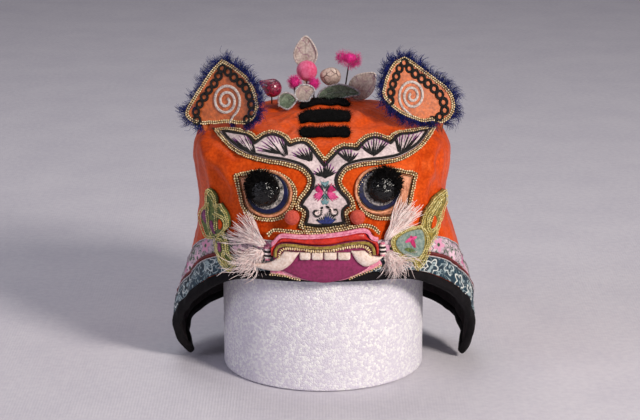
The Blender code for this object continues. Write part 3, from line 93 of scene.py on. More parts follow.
# Folds and wrinkles of the satin: the side (-1 in front, 1 behind), the two ends (across and rise in
# front, X and height behind), half the width, and how far the fold stands out
FOLDS = (
    (-1, -50, 172, -26, 177, 13, -4), (-1, 27, 178, 56, 164, 9, -3.2), (-1, 70, 150, 62, 128, 6, 1.3),
    (-1, 78, 138, 70, 112, 5.5, -1.6), (-1, 78, 96, 86, 72, 7, 1.6), (-1, -79, 132, -71, 112, 6, -1.5),
    (-1, -72, 148, -64, 130, 6, 1.2), (-1, -84, 100, -88, 76, 7, 1.4), (1, -34, 150, -40, 92, 11, -1.6),
    (1, 30, 156, 36, 98, 12, -1.8), (1, 2, 140, -2, 84, 9, 1.2), (1, 62, 138, 66, 84, 9, 1.4),
    (-1, -74, 152, -58, 138, 3.2, -1.95), (-1, -80, 146, -74, 118, 2.6, 1.5),
    (-1, -70, 136, -66, 108, 2.6, -1.35), (-1, -60, 168, -24, 160, 3.4, 1.8),
    (-1, -56, 161, -24, 154.5, 2.8, -1.5), (-1, 22, 166, 44, 176, 3.6, 1.95), (-1, 24, 158, 54, 165, 3.2, -1.8),
    (-1, 62, 150, 74, 146, 3, 1.8), (-1, 64, 140, 60, 112, 2.4, -1.8), (-1, 69, 136, 66, 104, 2.4, 1.8),
    (-1, 76, 142, 72, 118, 2.2, -1.5), (-1, -76, 138, -60, 120, 3, 2.1), (-1, -72, 128, -64, 112, 2.6, -1.8),
    (-1, 70, 128, 78, 108, 3, 2.1), (1, -60, 150, -66, 100, 4, -1.8), (1, -16, 156, -18, 96, 4, 1.5),
    (1, 14, 158, 18, 100, 3.6, -1.65), (1, 46, 148, 50, 90, 3.8, 1.65),
)
# Outlines: rows of across and rise, with a 1 where the outline has a corner. Paths have no corners
BROW_NOSE_OUTLINE = (
    (-69, 153.5, 1), (-60, 153), (-50, 151), (-45, 145.5, 1), (-39.5, 149.5), (-33, 150.8), (-27, 148.5),
    (-22.5, 143.6, 1), (-16, 145.6), (-10, 143.5), (-0.3, 131.6, 1), (8.5, 140.5), (14, 142), (20.5, 141.2, 1),
    (25.5, 146.5), (31, 148.8), (37, 147.8), (41.8, 145.5, 1), (47.5, 150.8), (54.5, 152), (68.5, 153.8, 1),
    (60.5, 144), (49, 136.8), (37, 134), (24, 132.6), (13.5, 129.5), (8.4, 123.2), (8.3, 119), (9.7, 116),
    (12.1, 113), (15.2, 109.6), (16.8, 104.6, 1), (14, 104), (12.4, 102.2), (12.1, 99.2), (12.8, 96.2),
    (13.7, 93.8, 1), (7.6, 92.7), (0, 91.8), (-6.2, 91.7), (-14, 92.8, 1), (-13.1, 95.2), (-12.1, 98.2),
    (-12, 101), (-13.4, 103.4), (-16.4, 104.6, 1), (-15.6, 107.2), (-13.9, 110), (-11.4, 113), (-9.3, 116.4),
    (-8.4, 119.4), (-8.6, 123.2), (-14.5, 129.5), (-26, 133), (-38.5, 135), (-51, 138.6), (-61, 145.2),
)
EYE_OUTLINE = (
    (-55, 123.5, 1), (-47, 125), (-38, 125.6), (-27, 122.4), (-20.6, 115), (-22.6, 104.8), (-28.6, 99),
    (-37.5, 97.8), (-46, 99.8), (-50.6, 104.4), (-52.9, 114),
)
MOUTH_OUTLINE = (
    (-32, 79.5), (-31, 83, 1), (-26.6, 86.9), (-15, 86.4), (0, 87), (14, 88.9), (24.4, 90.2, 1), (27.4, 86.6),
    (31.2, 84.6, 1), (32.2, 79.5), (32, 74), (28.5, 68), (24.6, 64.4), (17.2, 60.6), (8.1, 57.6), (0.5, 56.3),
    (-7.9, 57.2), (-14.7, 59), (-20, 61.2), (-26, 64), (-31.2, 68.4), (-32.6, 74),
)
UPPER_LIP_OUTLINE = (
    (-33.4, 74.2, 1), (-33.5, 79.2), (-31.3, 81.2), (-29.6, 83), (-27.9, 84.8), (-26.2, 85.8), (-22.5, 86),
    (-15.7, 85.4), (-7.8, 85.4), (0, 86), (6.9, 86.8), (14.2, 88), (19.8, 89.3), (23.4, 89.4), (25, 88.4),
    (26.4, 86), (28.8, 84), (32, 83.2), (33.4, 79.5), (33.2, 74.8, 1), (31.7, 74.9, 1), (31.5, 78.1),
    (29.7, 81.4), (26.1, 83.7), (20.8, 83.9), (15.1, 83.3), (9.4, 82.2), (3.9, 81.1), (-4.4, 80.7),
    (-12.2, 81.3), (-18.4, 82.2), (-24.1, 82.6), (-28.8, 81.8), (-31.5, 78.6), (-32, 74.1, 1),
)
LIP_PIPING_PATH = (
    (-32.7, 81.6), (-30.7, 83.6), (-29.2, 85.5), (-27, 87.3), (-22.5, 87.4), (-15.7, 86.8), (-7.8, 86.8),
    (0, 87.4), (6.9, 88.2), (14.2, 89.4), (19.9, 90.7), (24.1, 90.9), (26.6, 89.6), (27.8, 87.2), (29.6, 85.5),
    (32.4, 84.9),
)
LIP_BRAID_PATH = (
    (-35, 87.2), (-32.1, 90.4), (-26.1, 90.3), (-19.9, 89.6), (-12.5, 89.2), (-4.5, 89.2), (4.1, 90),
    (12.6, 91.8), (19.5, 93.2), (24.6, 93.7), (28.9, 92.8), (31.8, 90.4), (33.5, 88.4),
)
LIP_BAND_PATH = (
    (-30.6, 73.8), (-30.1, 77.9), (-27.7, 80.4), (-24.1, 81.1), (-18.5, 80.7), (-12.3, 79.8), (-4.4, 79.2),
    (4, 79.6), (9.6, 80.8), (15.3, 81.8), (20.9, 82.4), (25.7, 82.1), (28.5, 80.3), (29.9, 77.6), (30.2, 74.9),
)
LOWER_LIP_PATH = (
    (-34.7, 63.7), (-28.4, 62.9), (-24.4, 62.2), (-19.9, 61), (-10, 59.2), (0, 58.6), (10, 59.4), (16.1, 61),
    (20.1, 62.6), (25.8, 64.9), (30.9, 67), (35.5, 69.6),
)
TUSK_LEFT_OUTLINE = (
    (-15.7, 76.3, 1), (-25.5, 77, 1), (-28.6, 73.9), (-33.1, 70.8), (-38.7, 69.4), (-45.7, 69.2, 1),
    (-43.8, 67.3), (-38.7, 65.5), (-32.5, 64.4), (-26.9, 64.9), (-21.8, 68.3), (-18.5, 72.4),
)
TUSK_RIGHT_OUTLINE = (
    (15.9, 77.3, 1), (17.8, 73.8), (20.6, 70), (25.1, 67.3), (29.9, 68.7), (33.8, 71.1), (36.9, 74.1, 1),
    (34.1, 73.6), (30.7, 74), (27, 75.6), (24.8, 77.4, 1),
)
CHEEK_LEFT_OUTLINE = (
    (-74.6, 117), (-71, 112), (-69.6, 105.5, 1), (-66.6, 107), (-61.8, 100.5), (-60.4, 93), (-63.6, 88.6, 1),
    (-61.2, 82), (-60.6, 75), (-57.4, 71), (-56.4, 66), (-61, 63), (-66.4, 68), (-70.2, 77), (-70.8, 84, 1),
    (-76.6, 84.6), (-79.2, 94), (-79, 102), (-76, 105.8, 1), (-76.4, 111),
)
CHEEK_RIGHT_OUTLINE = (
    (76.6, 117.5, 1), (71.6, 112.6), (64.6, 105.4), (61.8, 98), (60.6, 92.6, 1), (51, 90.6), (42.4, 84.4),
    (43, 77), (50, 71), (56.4, 69.6, 1), (58.4, 63.6), (63.4, 68.6), (67.4, 79), (72.4, 89), (74, 99),
    (77, 108),
)
# Tufts of white thread: root and the two outer corners of the fan
# Columns: name, root_across, root_rise, first_across, first_rise, last_across, last_rise, lift
TUFTS = (
    ("whisker_left_upper", -39.0, 80.6, -61.0, 84.0, -47.5, 101.5, 2.9),
    ("whisker_left_lower", -39.4, 75.9, -46.0, 59.5, -62.0, 72.5, 3.4),
    ("whisker_right_upper", 38.6, 84.4, 46.5, 107.6, 58.6, 100.0, 3.4),
    ("whisker_right_lower", 39.4, 75.6, 56.5, 67.5, 41.5, 58.5, 3.5),
)
EAR_LEFT_OUTLINE = (
    (-2, 44.2, 1), (-8.6, 37.2), (-14.9, 27.5), (-20.6, 17.8), (-24.9, 9.4), (-24.6, 4.2), (-18.4, 0.6),
    (-6, 0.2), (7, 0.8), (19, 3.2), (25.4, 8), (27.8, 15.6), (24.2, 26.1), (18.6, 33.4), (12, 37.9),
    (4.4, 41.9),
)
CHAIN_LEFT = (
    (-16.8, 2.6), (-17.9, 7.8), (-15.8, 13.1), (-12.7, 18.4), (-9.5, 23.5), (-5.8, 28.5), (-3.2, 33.7),
    (-0.5, 38.8), (5, 34.6), (11.1, 30.7), (17, 27), (20.3, 21.4), (22.4, 15.5), (22.8, 10.5), (19.4, 6.4),
)
CHAIN_RIGHT = (
    (-23.6, 20.4), (-22.8, 25.3), (-20.8, 30.6), (-18, 35.2), (-15.5, 39.8), (-11.4, 44.6), (-6.3, 39.1),
    (-1.2, 34.8), (3.6, 31), (8.9, 26.4), (13.1, 21.9), (15.6, 16.6), (16.4, 11.7), (13.4, 7.6), (7, 5),
)
EAR_RIGHT_OUTLINE = (
    (-10.5, 48.4, 1), (-18.2, 45.8), (-24.1, 39.1), (-28, 31.2), (-29.2, 24.5), (-23.2, 16.8), (-16.1, 11.4),
    (-7.9, 7.4), (2.2, 3.4), (8.7, 2.2), (15.8, 3.2), (21.1, 7), (23.4, 12.6), (22.7, 19.7), (18.5, 26.5),
    (12.4, 31.6), (6.2, 36.7), (-0.1, 41.6), (-5, 45.4),
)
# The couched work on the cheeks: paths of the coloured fields and of the cords, in across and rise
CHEEK_LEFT_FIELD_ROWS = (
    ((-76.4, 103.5), (-76.5, 98.5), (-75, 93.5)), ((-71.8, 96), (-71, 91), (-69.8, 86.8)),
    ((-66.6, 97), (-65.6, 93.5), (-66.2, 90)), ((-66.6, 82), (-67, 79), (-65.8, 75.5)),
)
CHEEK_LEFT_CORD_ROWS = (
    ((-70.2, 101), (-67.4, 99.5), (-63.4, 97.6), (-62.6, 92), (-65, 87.2), (-68.6, 85.6)),
    ((-74.6, 108), (-73.8, 100), (-73.2, 92), (-72, 86)),
    ((-73.6, 114), (-71.4, 108.6), (-68.8, 103), (-68.6, 96), (-68.2, 89.5)),
    ((-68.4, 84), (-64.2, 82), (-63.2, 77), (-64.2, 72.5), (-61.2, 68.6), (-58.4, 67.6)),
    ((-68.4, 80.5), (-68.2, 75.5), (-65, 70), (-61.4, 65.6)),
)
CHEEK_RIGHT_FIELD_ROWS = (
    ((69, 99), (69.3, 94.5), (68, 90)), ((50.5, 81.5), (54, 83.4), (58, 85)),
    ((54, 86), (55.2, 81.6), (57, 78)), ((50, 77.4), (53.5, 76.8), (57.5, 75)),
)
CHEEK_PATCH = (
    (61, 89.6), (51.6, 88.2), (45, 83.2), (45.6, 78.2), (51.2, 73.2), (57, 71.6), (61.4, 74), (63, 82),
)
CHEEK_RIGHT_CORD_ROWS = (
    ((74.6, 112), (70, 106), (66, 99), (65, 92), (67.5, 88), (71, 93), (73, 102)),
    ((61.5, 90.5), (65, 84), (63, 76), (59, 70)), ((72.8, 108.5), (69, 101.5), (66.4, 94.5)),
)


def linear(code: str) -> tuple[float, float, float, float]:
    """Turn an sRGB hex colour into linear red, green, blue and alpha."""
    values = [int(code[k:k + 2], 16) / 255.0 for k in (1, 3, 5)]
    flat = [v / 12.92 if v <= 0.04045 else ((v + 0.055) / 1.055) ** 2.4 for v in values]
    return flat[0], flat[1], flat[2], 1.0


def add_node(tree: bpy.types.NodeTree, kind: str, inputs: dict | None = None,
             **settings: object) -> bpy.types.Node:
    """Add a node with its settings, its values and its links.

    Args:
        tree: The tree that gets the node.
        kind: The node's type.
        inputs: A value, or a socket to link, for each input's name or number.
        settings: The node's own properties.

    Returns:
        The new node.
    """
    made = tree.nodes.new(kind)
    for key, value in settings.items():
        setattr(made, key, value)
    for key, value in (inputs or {}).items():
        if isinstance(value, Link):
            tree.links.new(value, made.inputs[key])
        else:
            made.inputs[key].default_value = value
    return made


def catmull(table: Array, at: Array) -> Array:
    """Read a table's rows smoothly.

    Args:
        table: Rows of values.
        at: Fractional row numbers.

    Returns:
        One row of values for each number.
    """
    last = len(table) - 1
    row = np.clip(np.floor(at).astype(int), 0, last - 1)
    t = (at - row)[..., None]
    a, b = table[np.maximum(row - 1, 0)], table[row]
    c, d = table[row + 1], table[np.minimum(row + 2, last)]
    return 0.5 * (2 * b + (c - a) * t + (2 * a - 5 * b + 4 * c - d) * t * t + (3 * b - a - 3 * c + d) * t ** 3)


def unit(vectors: Array) -> Array:
    """Scale vectors to length one."""
    return vectors / np.maximum(np.linalg.norm(vectors, axis=-1, keepdims=True), 1e-9)


def noise_at(points: Array, size: Sequence[float], shift: float = 0.0) -> Array:
    """Read smooth noise at points.

    Args:
        points: Places in millimetres.
        size: The noise's size along X, Y and Z.
        shift: Moves the noise, for another pattern.

    Returns:
        Values of about -1 to 1.
    """
    scaled = points / np.asarray(size) + shift
    return np.array([noise.noise(Vector(p)) for p in scaled])


def smooth_outline(rows: Sequence[Row], spacing: float) -> Array:
    """Run a closed smooth outline through rows of across and rise.

    Args:
        rows: The outline's points, each with a third value where it has a corner.
        spacing: About how far apart the new points lie.

    Returns:
        The outline's points.
    """
    count, points = len(rows), []
    for i, row in enumerate(rows):
        after = rows[(i + 1) % count]
        before = row if len(row) > 2 else rows[i - 1]
        beyond = after if len(after) > 2 else rows[(i + 2) % count]
        table = np.array([r[:2] for r in (before, row, after, beyond)], float)
        steps = max(1, round(float(np.linalg.norm(table[2] - table[1])) / spacing))
        points.append(catmull(table, 1.0 + np.arange(steps) / steps))
    return np.concatenate(points)


def smooth_path(rows: Sequence[Row], spacing: float) -> Array:
    """Run an open smooth line through points, at even steps.

    Args:
        rows: The points that it passes.
        spacing: How far apart the new points lie.

    Returns:
        The line's points.
    """
    table = np.array(rows, float)
    fine = catmull(table, np.linspace(0.0, len(table) - 1.0, 24 * len(table)))
    return even_steps(fine, spacing)


def even_steps(line: Array, spacing: float, closed: bool = False) -> Array:
    """Give points at even steps along a line.

    Args:
        line: The line's points.
        spacing: About how far apart the new points lie.
        closed: Whether the line ends where it starts.

    Returns:
        The new points, without the last one if the line is closed.
    """
    if closed:
        line = np.concatenate([line, line[:1]])
    run = np.concatenate([[0.0], np.cumsum(np.linalg.norm(np.diff(line, axis=0), axis=1))])
    count = max(2, round(run[-1] / spacing) + 1)
    at = np.linspace(0.0, run[-1], count)
    made = np.stack([np.interp(at, run, line[:, k]) for k in range(line.shape[1])], axis=1)
    return made[:-1] if closed else made


def headings(line: Array, closed: bool = False) -> Array:
    """Give the direction in which a line runs at each of its points."""
    if closed:
        return unit(np.roll(line, -1, axis=0) - np.roll(line, 1, axis=0))
    return unit(np.gradient(line, axis=0))


def turns_of(count: int) -> Array:
    """Give even steps of one full turn, in radians."""
    return 2.0 * math.pi * np.arange(count) / count


def turn_of(outline: Array) -> float:
    """Give 1 for an outline that runs against the clock and -1 for one that runs with it."""
    x, y = outline[:, 0], outline[:, 1]
    return 1.0 if np.sum(x * np.roll(y, -1) - np.roll(x, -1) * y) > 0 else -1.0


def right_of(ahead: Array) -> Array:
    """Turn flat directions by a quarter to their right."""
    return np.stack([ahead[:, 1], -ahead[:, 0]], axis=1)


def line_distance(points: Array, starts: Array, stops: Array) -> Array:
    """Give the distance from points to the nearest of some straight lines."""
    rays = stops - starts
    sizes = np.maximum(np.sum(rays * rays, axis=1), 1e-9)
    best = np.full(len(points), 1e9)
    for start, ray, size in zip(starts, rays, sizes):
        t = np.clip((points - start) @ ray / size, 0.0, 1.0)
        best = np.minimum(best, np.linalg.norm(points - start - t[:, None] * ray, axis=1))
    return best


def edge_distance(points: Array, outline: Array) -> Array:
    """Give the distance from points to a closed outline."""
    return line_distance(points, outline, np.roll(outline, -1, axis=0))


def grow(outline: Array, distance: float) -> Array:
    """Move a closed outline outwards, or inwards where the distance is negative.

    Args:
        outline: The outline's points.
        distance: How far it moves.

    Returns:
        The moved outline, without the points that came too near to the first one.
    """
    first = unit(outline - np.roll(outline, 1, axis=0))
    second = unit(np.roll(outline, -1, axis=0) - outline)
    normal = right_of(unit(first + second)) * turn_of(outline)
    share = np.maximum(np.sum(normal * right_of(first) * turn_of(outline), axis=1), 0.45)
    moved = outline + normal * (distance / share)[:, None]
    return moved[edge_distance(moved, outline) > abs(distance) * 0.93]


def inside(points: Array, outline: Array) -> Array:
    """Say which points lie inside an outline."""
    x, y = points[:, 0], points[:, 1]
    odd = np.zeros(len(points), bool)
    for (x1, y1), (x2, y2) in zip(outline, np.roll(outline, -1, axis=0)):
        if y1 != y2:
            odd ^= ((y1 > y) != (y2 > y)) & (x < x1 + (y - y1) * (x2 - x1) / (y2 - y1))
    return odd


# ---------------------------------------------------------------- meshes


def make_mesh(name: str, points: Array, faces: Sequence[Sequence[int]], material: Material,
              uv: Array | None = None, smooth: bool = True) -> Piece:
    """Make a mesh object from points in millimetres.

    Args:
        name: The piece's name.
        points: The mesh's points.
        faces: The faces, as rows of point numbers.
        material: Its finish.
        uv: A place in the pattern for each point, in millimetres.
        smooth: Whether it is shaded smooth.

    Returns:
        The object, linked to the scene.
    """
    mesh = bpy.data.meshes.new(name)
    mesh.from_pydata((np.asarray(points) * MM).tolist(), [], [tuple(int(k) for k in f) for f in faces])
    if uv is not None:
        layer = mesh.uv_layers.new(name="UVMap")
        corners = np.empty(len(mesh.loops), int)
        mesh.loops.foreach_get("vertex_index", corners)
        layer.data.foreach_set("uv", np.asarray(uv, float)[corners].ravel())
    mesh.polygons.foreach_set("use_smooth", [smooth] * len(mesh.polygons))
    mesh.materials.append(material)
    mesh.validate()
    made = bpy.data.objects.new(name, mesh)
    bpy.context.scene.collection.objects.link(made)
    return made


def finished(piece: Piece, slot: str, *nodes: str) -> Piece:
    """Fasten a piece to the hat and hide the CAD nodes that it stands for.

    Args:
        piece: The piece.
        slot: The record's material slot that it is finished in; not used.
        nodes: The CAD nodes that it stands for.

    Returns:
        The piece.
    """
    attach(piece, "root")
    if nodes:
        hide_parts(*nodes)
    log.info("%s: %d faces", piece.name, len(piece.data.polygons))
    return piece


def grid_faces(rows: int, columns: int, wrap: bool, first: int = 0, flip: bool = False,
               loop: bool = False) -> Faces:
    """Give the faces between rows of points.

    Args:
        rows: How many rows of points there are.
        columns: How many points a row has.
        wrap: Whether each row closes on itself.
        first: The number of the first point.
        flip: Whether the faces point the other way.
        loop: Whether the last row meets the first one.

    Returns:
        The faces.
    """
    faces = []
    for r in range(rows if loop else rows - 1):
        for c in range(columns if wrap else columns - 1):
            d = (c + 1) % columns
            a, b = first + r * columns, first + (r + 1) % rows * columns
            quad = (a + c, a + d, b + d, b + c)
            faces.append(quad[::-1] if flip else quad)
    return faces


def round_faces(rings: int, segments: int, foot: int, top: int) -> Faces:
    """Give the faces of a round body: those between its rings, and those at its foot and its top."""
    faces, last = grid_faces(rings, segments, True), (rings - 1) * segments
    for k in range(segments):
        n = (k + 1) % segments
        faces += [(foot, n, k), (top, last + k, last + n)]
    return faces


def ball_of(rings: int, segments: int) -> tuple[Array, Faces]:
    """Give the directions from a ball's middle to its points, and its faces."""
    spin = turns_of(segments)
    rays = []
    for turn in math.pi * np.arange(1, rings) / rings:
        level = [math.sin(turn) * np.cos(spin), math.sin(turn) * np.sin(spin), np.full(segments, -math.cos(turn))]
        rays.append(np.stack(level, axis=1))
    points = np.concatenate([*rays, [[0.0, 0.0, -1.0], [0.0, 0.0, 1.0]]])
    return points, round_faces(rings - 1, segments, len(points) - 2, len(points) - 1)


def join(name: str, pieces: Sequence[Piece]) -> Piece:
    """Join pieces into one mesh object, keeping their finishes."""
    points, faces, marks, finishes, uvs = [], [], [], [], []
    for piece in pieces:
        mesh, start = piece.data, len(points)
        points += [tuple(v.co) for v in mesh.vertices]
        slots = []
        for material in mesh.materials:
            if material not in finishes:
                finishes.append(material)
            slots.append(finishes.index(material))
        layer = mesh.uv_layers.active
        for face in mesh.polygons:
            faces.append(tuple(start + v for v in face.vertices))
            marks.append(slots[face.material_index] if slots else 0)
            uvs += [tuple(layer.data[k].uv) if layer else (0.0, 0.0) for k in face.loop_indices]
        bpy.data.objects.remove(piece)
    mesh = bpy.data.meshes.new(name)
    mesh.from_pydata(points, [], faces)
    for material in finishes:
        mesh.materials.append(material)
    mesh.polygons.foreach_set("material_index", marks)
    mesh.polygons.foreach_set("use_smooth", [True] * len(mesh.polygons))
    mesh.uv_layers.new(name="UVMap").data.foreach_set("uv", np.array(uvs).ravel())
    made = bpy.data.objects.new(name, mesh)
    bpy.context.scene.collection.objects.link(made)
    return made


def tube(name: str, line: Array, radius: float | Array, material: Material,
         sides: int = 8, flat: float = 1.0, up: Array | None = None, closed: bool = False) -> Piece:
    """Make a cord along a line.

    Args:
        name: The piece's name.
        line: The points that it follows.
        radius: Its radius, or one for each point.
        material: Its finish.
        sides: How many sides it has.
        flat: Its thickness as a share of its width.
        up: The direction of its thickness at each point.
        closed: Whether it ends where it starts.

    Returns:
        The cord, with a UV map of its length and its turn, in millimetres.
    """
    count, ahead = len(line), headings(line, closed)
    if up is None:
        up = np.tile([0.0, -0.966, 0.259], (count, 1))
        up = np.where(np.abs(np.sum(up * ahead, axis=1))[:, None] > 0.95, [1.0, 0.0, 0.0], up)
    side = unit(np.cross(ahead, up))
    top = unit(np.cross(side, ahead))
    radius = np.broadcast_to(np.asarray(radius, float), (count,))
    turns = turns_of(sides)
    ring = side[:, None] * np.cos(turns)[None, :, None] + top[:, None] * (np.sin(turns) * flat)[None, :, None]
    points = (line[:, None] + ring * radius[:, None, None]).reshape(-1, 3)
    run = np.concatenate([[0.0], np.cumsum(np.linalg.norm(np.diff(line, axis=0), axis=1))])
    around = turns * float(radius.mean())
    uv = np.stack(np.broadcast_arrays(run[:, None], around[None, :]), axis=2).reshape(-1, 2)
    faces = grid_faces(count, sides, True, loop=closed)
    if not closed:
        faces += [tuple(range(sides))[::-1], tuple((count - 1) * sides + k for k in range(sides))]
    return make_mesh(name, points, faces, material, uv)


# ---------------------------------------------------------------- what repeats


@dataclass
class Seeds:
    """Places where one small part is repeated, with how it lies and its size.

    Attributes:
        place: Points in millimetres.
        aim: The direction of the part's length, its Z.
        lie: The direction of the part's upper side, its X.
        scale: The part's size along its X, Y and Z, in millimetres.
    """

    place: Array
    aim: Array
    lie: Array
    scale: Array


class Repeater:
    """Geometry Nodes that lay one small part on many places and make a plain mesh of it."""

    SOCKETS = (("Geometry", "Geometry"), ("Part", "Object"), ("Finish", "Material"), ("Seed", "Int"),
               ("Turn Jitter", "Vector"), ("Least Size", "Float"), ("Most Size", "Float"))

    def __init__(self) -> None:
        """Build the tree."""
        tree = self.tree = bpy.data.node_groups.new("repeated_part", "GeometryNodeTree")
        face = tree.interface
        face.new_socket("Geometry", in_out="OUTPUT", socket_type="NodeSocketGeometry")
        self.key = {name: face.new_socket(name, in_out="INPUT", socket_type=f"NodeSocket{kind}").identifier
                    for name, kind in self.SOCKETS}

        def put(kind: str, inputs: dict | None = None, **settings: object) -> bpy.types.bpy_prop_collection:
            """Add a node and give its outputs."""
            return add_node(tree, kind, inputs, **settings).outputs

        given = put("NodeGroupInput")
        most, seed = given["Turn Jitter"], given["Seed"]
        aim, lie, size = (put("GeometryNodeInputNamedAttribute", {0: name}, data_type="FLOAT_VECTOR")[0]
                          for name in ("aim", "lie", "size"))
        dots = put("GeometryNodeMeshToPoints", {"Mesh": given["Geometry"]})[0]
        part = put("GeometryNodeObjectInfo", {"Object": given["Part"]})["Geometry"]
        stand = put("FunctionNodeAxesToRotation", {0: aim, 1: lie}, primary_axis="Z", secondary_axis="X")[0]
        least = put("ShaderNodeVectorMath", {0: most, 1: (-1.0, -1.0, -1.0)}, operation="MULTIPLY")[0]
        jitter = put("FunctionNodeRandomValue", {0: least, 1: most, "Seed": seed}, data_type="FLOAT_VECTOR")[0]
        tilt = put("FunctionNodeEulerToRotation", {0: jitter})[0]
        turned = put("FunctionNodeRotateRotation", {0: stand, 1: tilt}, rotation_space="LOCAL")[0]
        after = put("ShaderNodeMath", {0: seed, 1: 7.0}, operation="ADD")[0]
        sizes = {2: given["Least Size"], 3: given["Most Size"], "Seed": after}
        vary = put("FunctionNodeRandomValue", sizes, data_type="FLOAT")[1]
        scale = put("ShaderNodeVectorMath", {0: size, "Scale": vary}, operation="SCALE")[0]
        laid = put("GeometryNodeInstanceOnPoints",
                   {"Points": dots, "Instance": part, "Rotation": turned, "Scale": scale})[0]
        solid = put("GeometryNodeRealizeInstances", {0: laid})[0]
        dressed = put("GeometryNodeSetMaterial", {"Geometry": solid, "Material": given["Finish"]})[0]
        put("NodeGroupOutput", {0: dressed})

    def lay(self, name: str, seeds: Seeds, part: Piece, material: Material, seed: int = SEED,
            jitter: Row = (0.0, 0.0, 0.0), sizes: tuple[float, float] = (1.0, 1.0)) -> Piece:
        """Lay a part on every place.

        Args:
            name: The piece's name.
            seeds: Where the part goes.
            part: The part, one unit in size.
            material: Its finish.
            seed: The seed of its random turns and sizes.
            jitter: The most that a part turns about its own axes, in radians.
            sizes: The least and the most that its size is multiplied by.

        Returns:
            A plain mesh object.
        """
        mesh = bpy.data.meshes.new(name)
        mesh.from_pydata((np.asarray(seeds.place) * MM).tolist(), [], [])
        for key, values in (("aim", seeds.aim), ("lie", seeds.lie), ("size", np.asarray(seeds.scale) * MM)):
            filled = np.broadcast_to(values, (len(mesh.vertices), 3))
            mesh.attributes.new(key, "FLOAT_VECTOR", "POINT").data.foreach_set("vector", filled.ravel())
        made = bpy.data.objects.new(name, mesh)
        bpy.context.scene.collection.objects.link(made)
        modifier = made.modifiers.new("repeat", "NODES")
        modifier.node_group = self.tree
        values = {"Part": part, "Finish": material, "Seed": seed, "Turn Jitter": jitter,
                  "Least Size": sizes[0], "Most Size": sizes[1]}
        for label, value in values.items():
            modifier[self.key[label]] = value
        bpy.context.view_layer.update()
        graph = bpy.context.evaluated_depsgraph_get()
        plain = bpy.data.meshes.new_from_object(made.evaluated_get(graph), depsgraph=graph)
        made.modifiers.remove(modifier)
        made.data = plain
        bpy.data.meshes.remove(mesh)
        plain.polygons.foreach_set("use_smooth", [True] * len(plain.polygons))
        return made


class Parts:
    """The small parts that are repeated, each about one unit in size."""

    def __init__(self, holder: Material) -> None:
        """Make every part.

        Args:
            holder: A finish that the parts carry until they are laid.
        """
        self.holder = holder
        self.made: list[Piece] = []
        self.shelf = bpy.data.collections.new("parts")
        self.bent = self.strand("bent_strand", 0.22, 5, 3, 0.05)
        self.curly = self.strand("curly_strand", 0.55, 7, 3, 0.045)
        self.whisker = self.strand("whisker_strand", 0.08, 6, 4, 0.026)
        self.curl = self.strand("curled_whisker", 0.42, 12, 4, 0.026)
        self.tuft = self.strand("pile_tuft", 0.3, 3, 3, 0.15)
        self.stitch = self.strand("stitch", 0.0, 4, 5, 1.0)
        self.bead = self.ball("bead", 6, 4)
        self.link = self.ring("link", 14, 5)

    def keep(self, made: Piece) -> Piece:
        """Take a part out of the scene, so that only its copies show."""
        for place in made.users_collection:
            place.objects.unlink(made)
        self.shelf.objects.link(made)
        self.made.append(made)
        return made

    def clear(self) -> None:
        """Take the parts away once all of them are laid."""
        for part in self.made:
            bpy.data.objects.remove(part)

    def strand(self, name: str, bend: float, steps: int, sides: int, slim: float) -> Piece:
        """Make a thread one unit long.

        Args:
            name: The part's name.
            bend: How far its tip bends towards its X.
            steps: How many steps it has.
            sides: How many sides it has.
            slim: Its thickness as a share of its length.

        Returns:
            The part.
        """
        t = np.linspace(0.0, 1.0, steps + 1)
        line = np.stack([bend * t ** 2, 0.3 * bend * np.sin(t * 7.0), t * (1.0 - 0.25 * bend * t)], axis=1)
        girth = 0.5 * (1.0 - 0.55 * t) if bend else 0.15 + 0.4 * np.sin(math.pi * t)
        turns = turns_of(sides)
        ring = np.stack([np.cos(turns), np.sin(turns), 0.0 * turns], axis=1)
        points = (line[:, None] + ring[None] * (girth * slim)[:, None, None]).reshape(-1, 3)
        faces = grid_faces(steps + 1, sides, True)
        faces += [tuple(range(sides))[::-1], tuple(steps * sides + k for k in range(sides))]
        return self.keep(make_mesh(name, points / MM, faces, self.holder))

    def ball(self, name: str, segments: int, rings: int) -> Piece:
        """Make a bead one unit across."""
        rays, faces = ball_of(rings, segments)
        return self.keep(make_mesh(name, 0.5 * rays / MM, faces, self.holder))

    def ring(self, name: str, segments: int, sides: int) -> Piece:
        """Make a loop of thread one unit across, in the plane of its Y and Z."""
        points = []
        for k in range(segments):
            spin = 2.0 * math.pi * k / segments
            for j in range(sides):
                turn = 2.0 * math.pi * j / sides
                reach = 0.5 + 0.21 * math.cos(turn)
                points.append((0.21 * math.sin(turn), reach * math.cos(spin), reach * math.sin(spin)))
        faces = grid_faces(segments, sides, True, flip=True, loop=True)
        return self.keep(make_mesh(name, np.array(points) / MM, faces, self.holder))


# ---------------------------------------------------------------- finishes


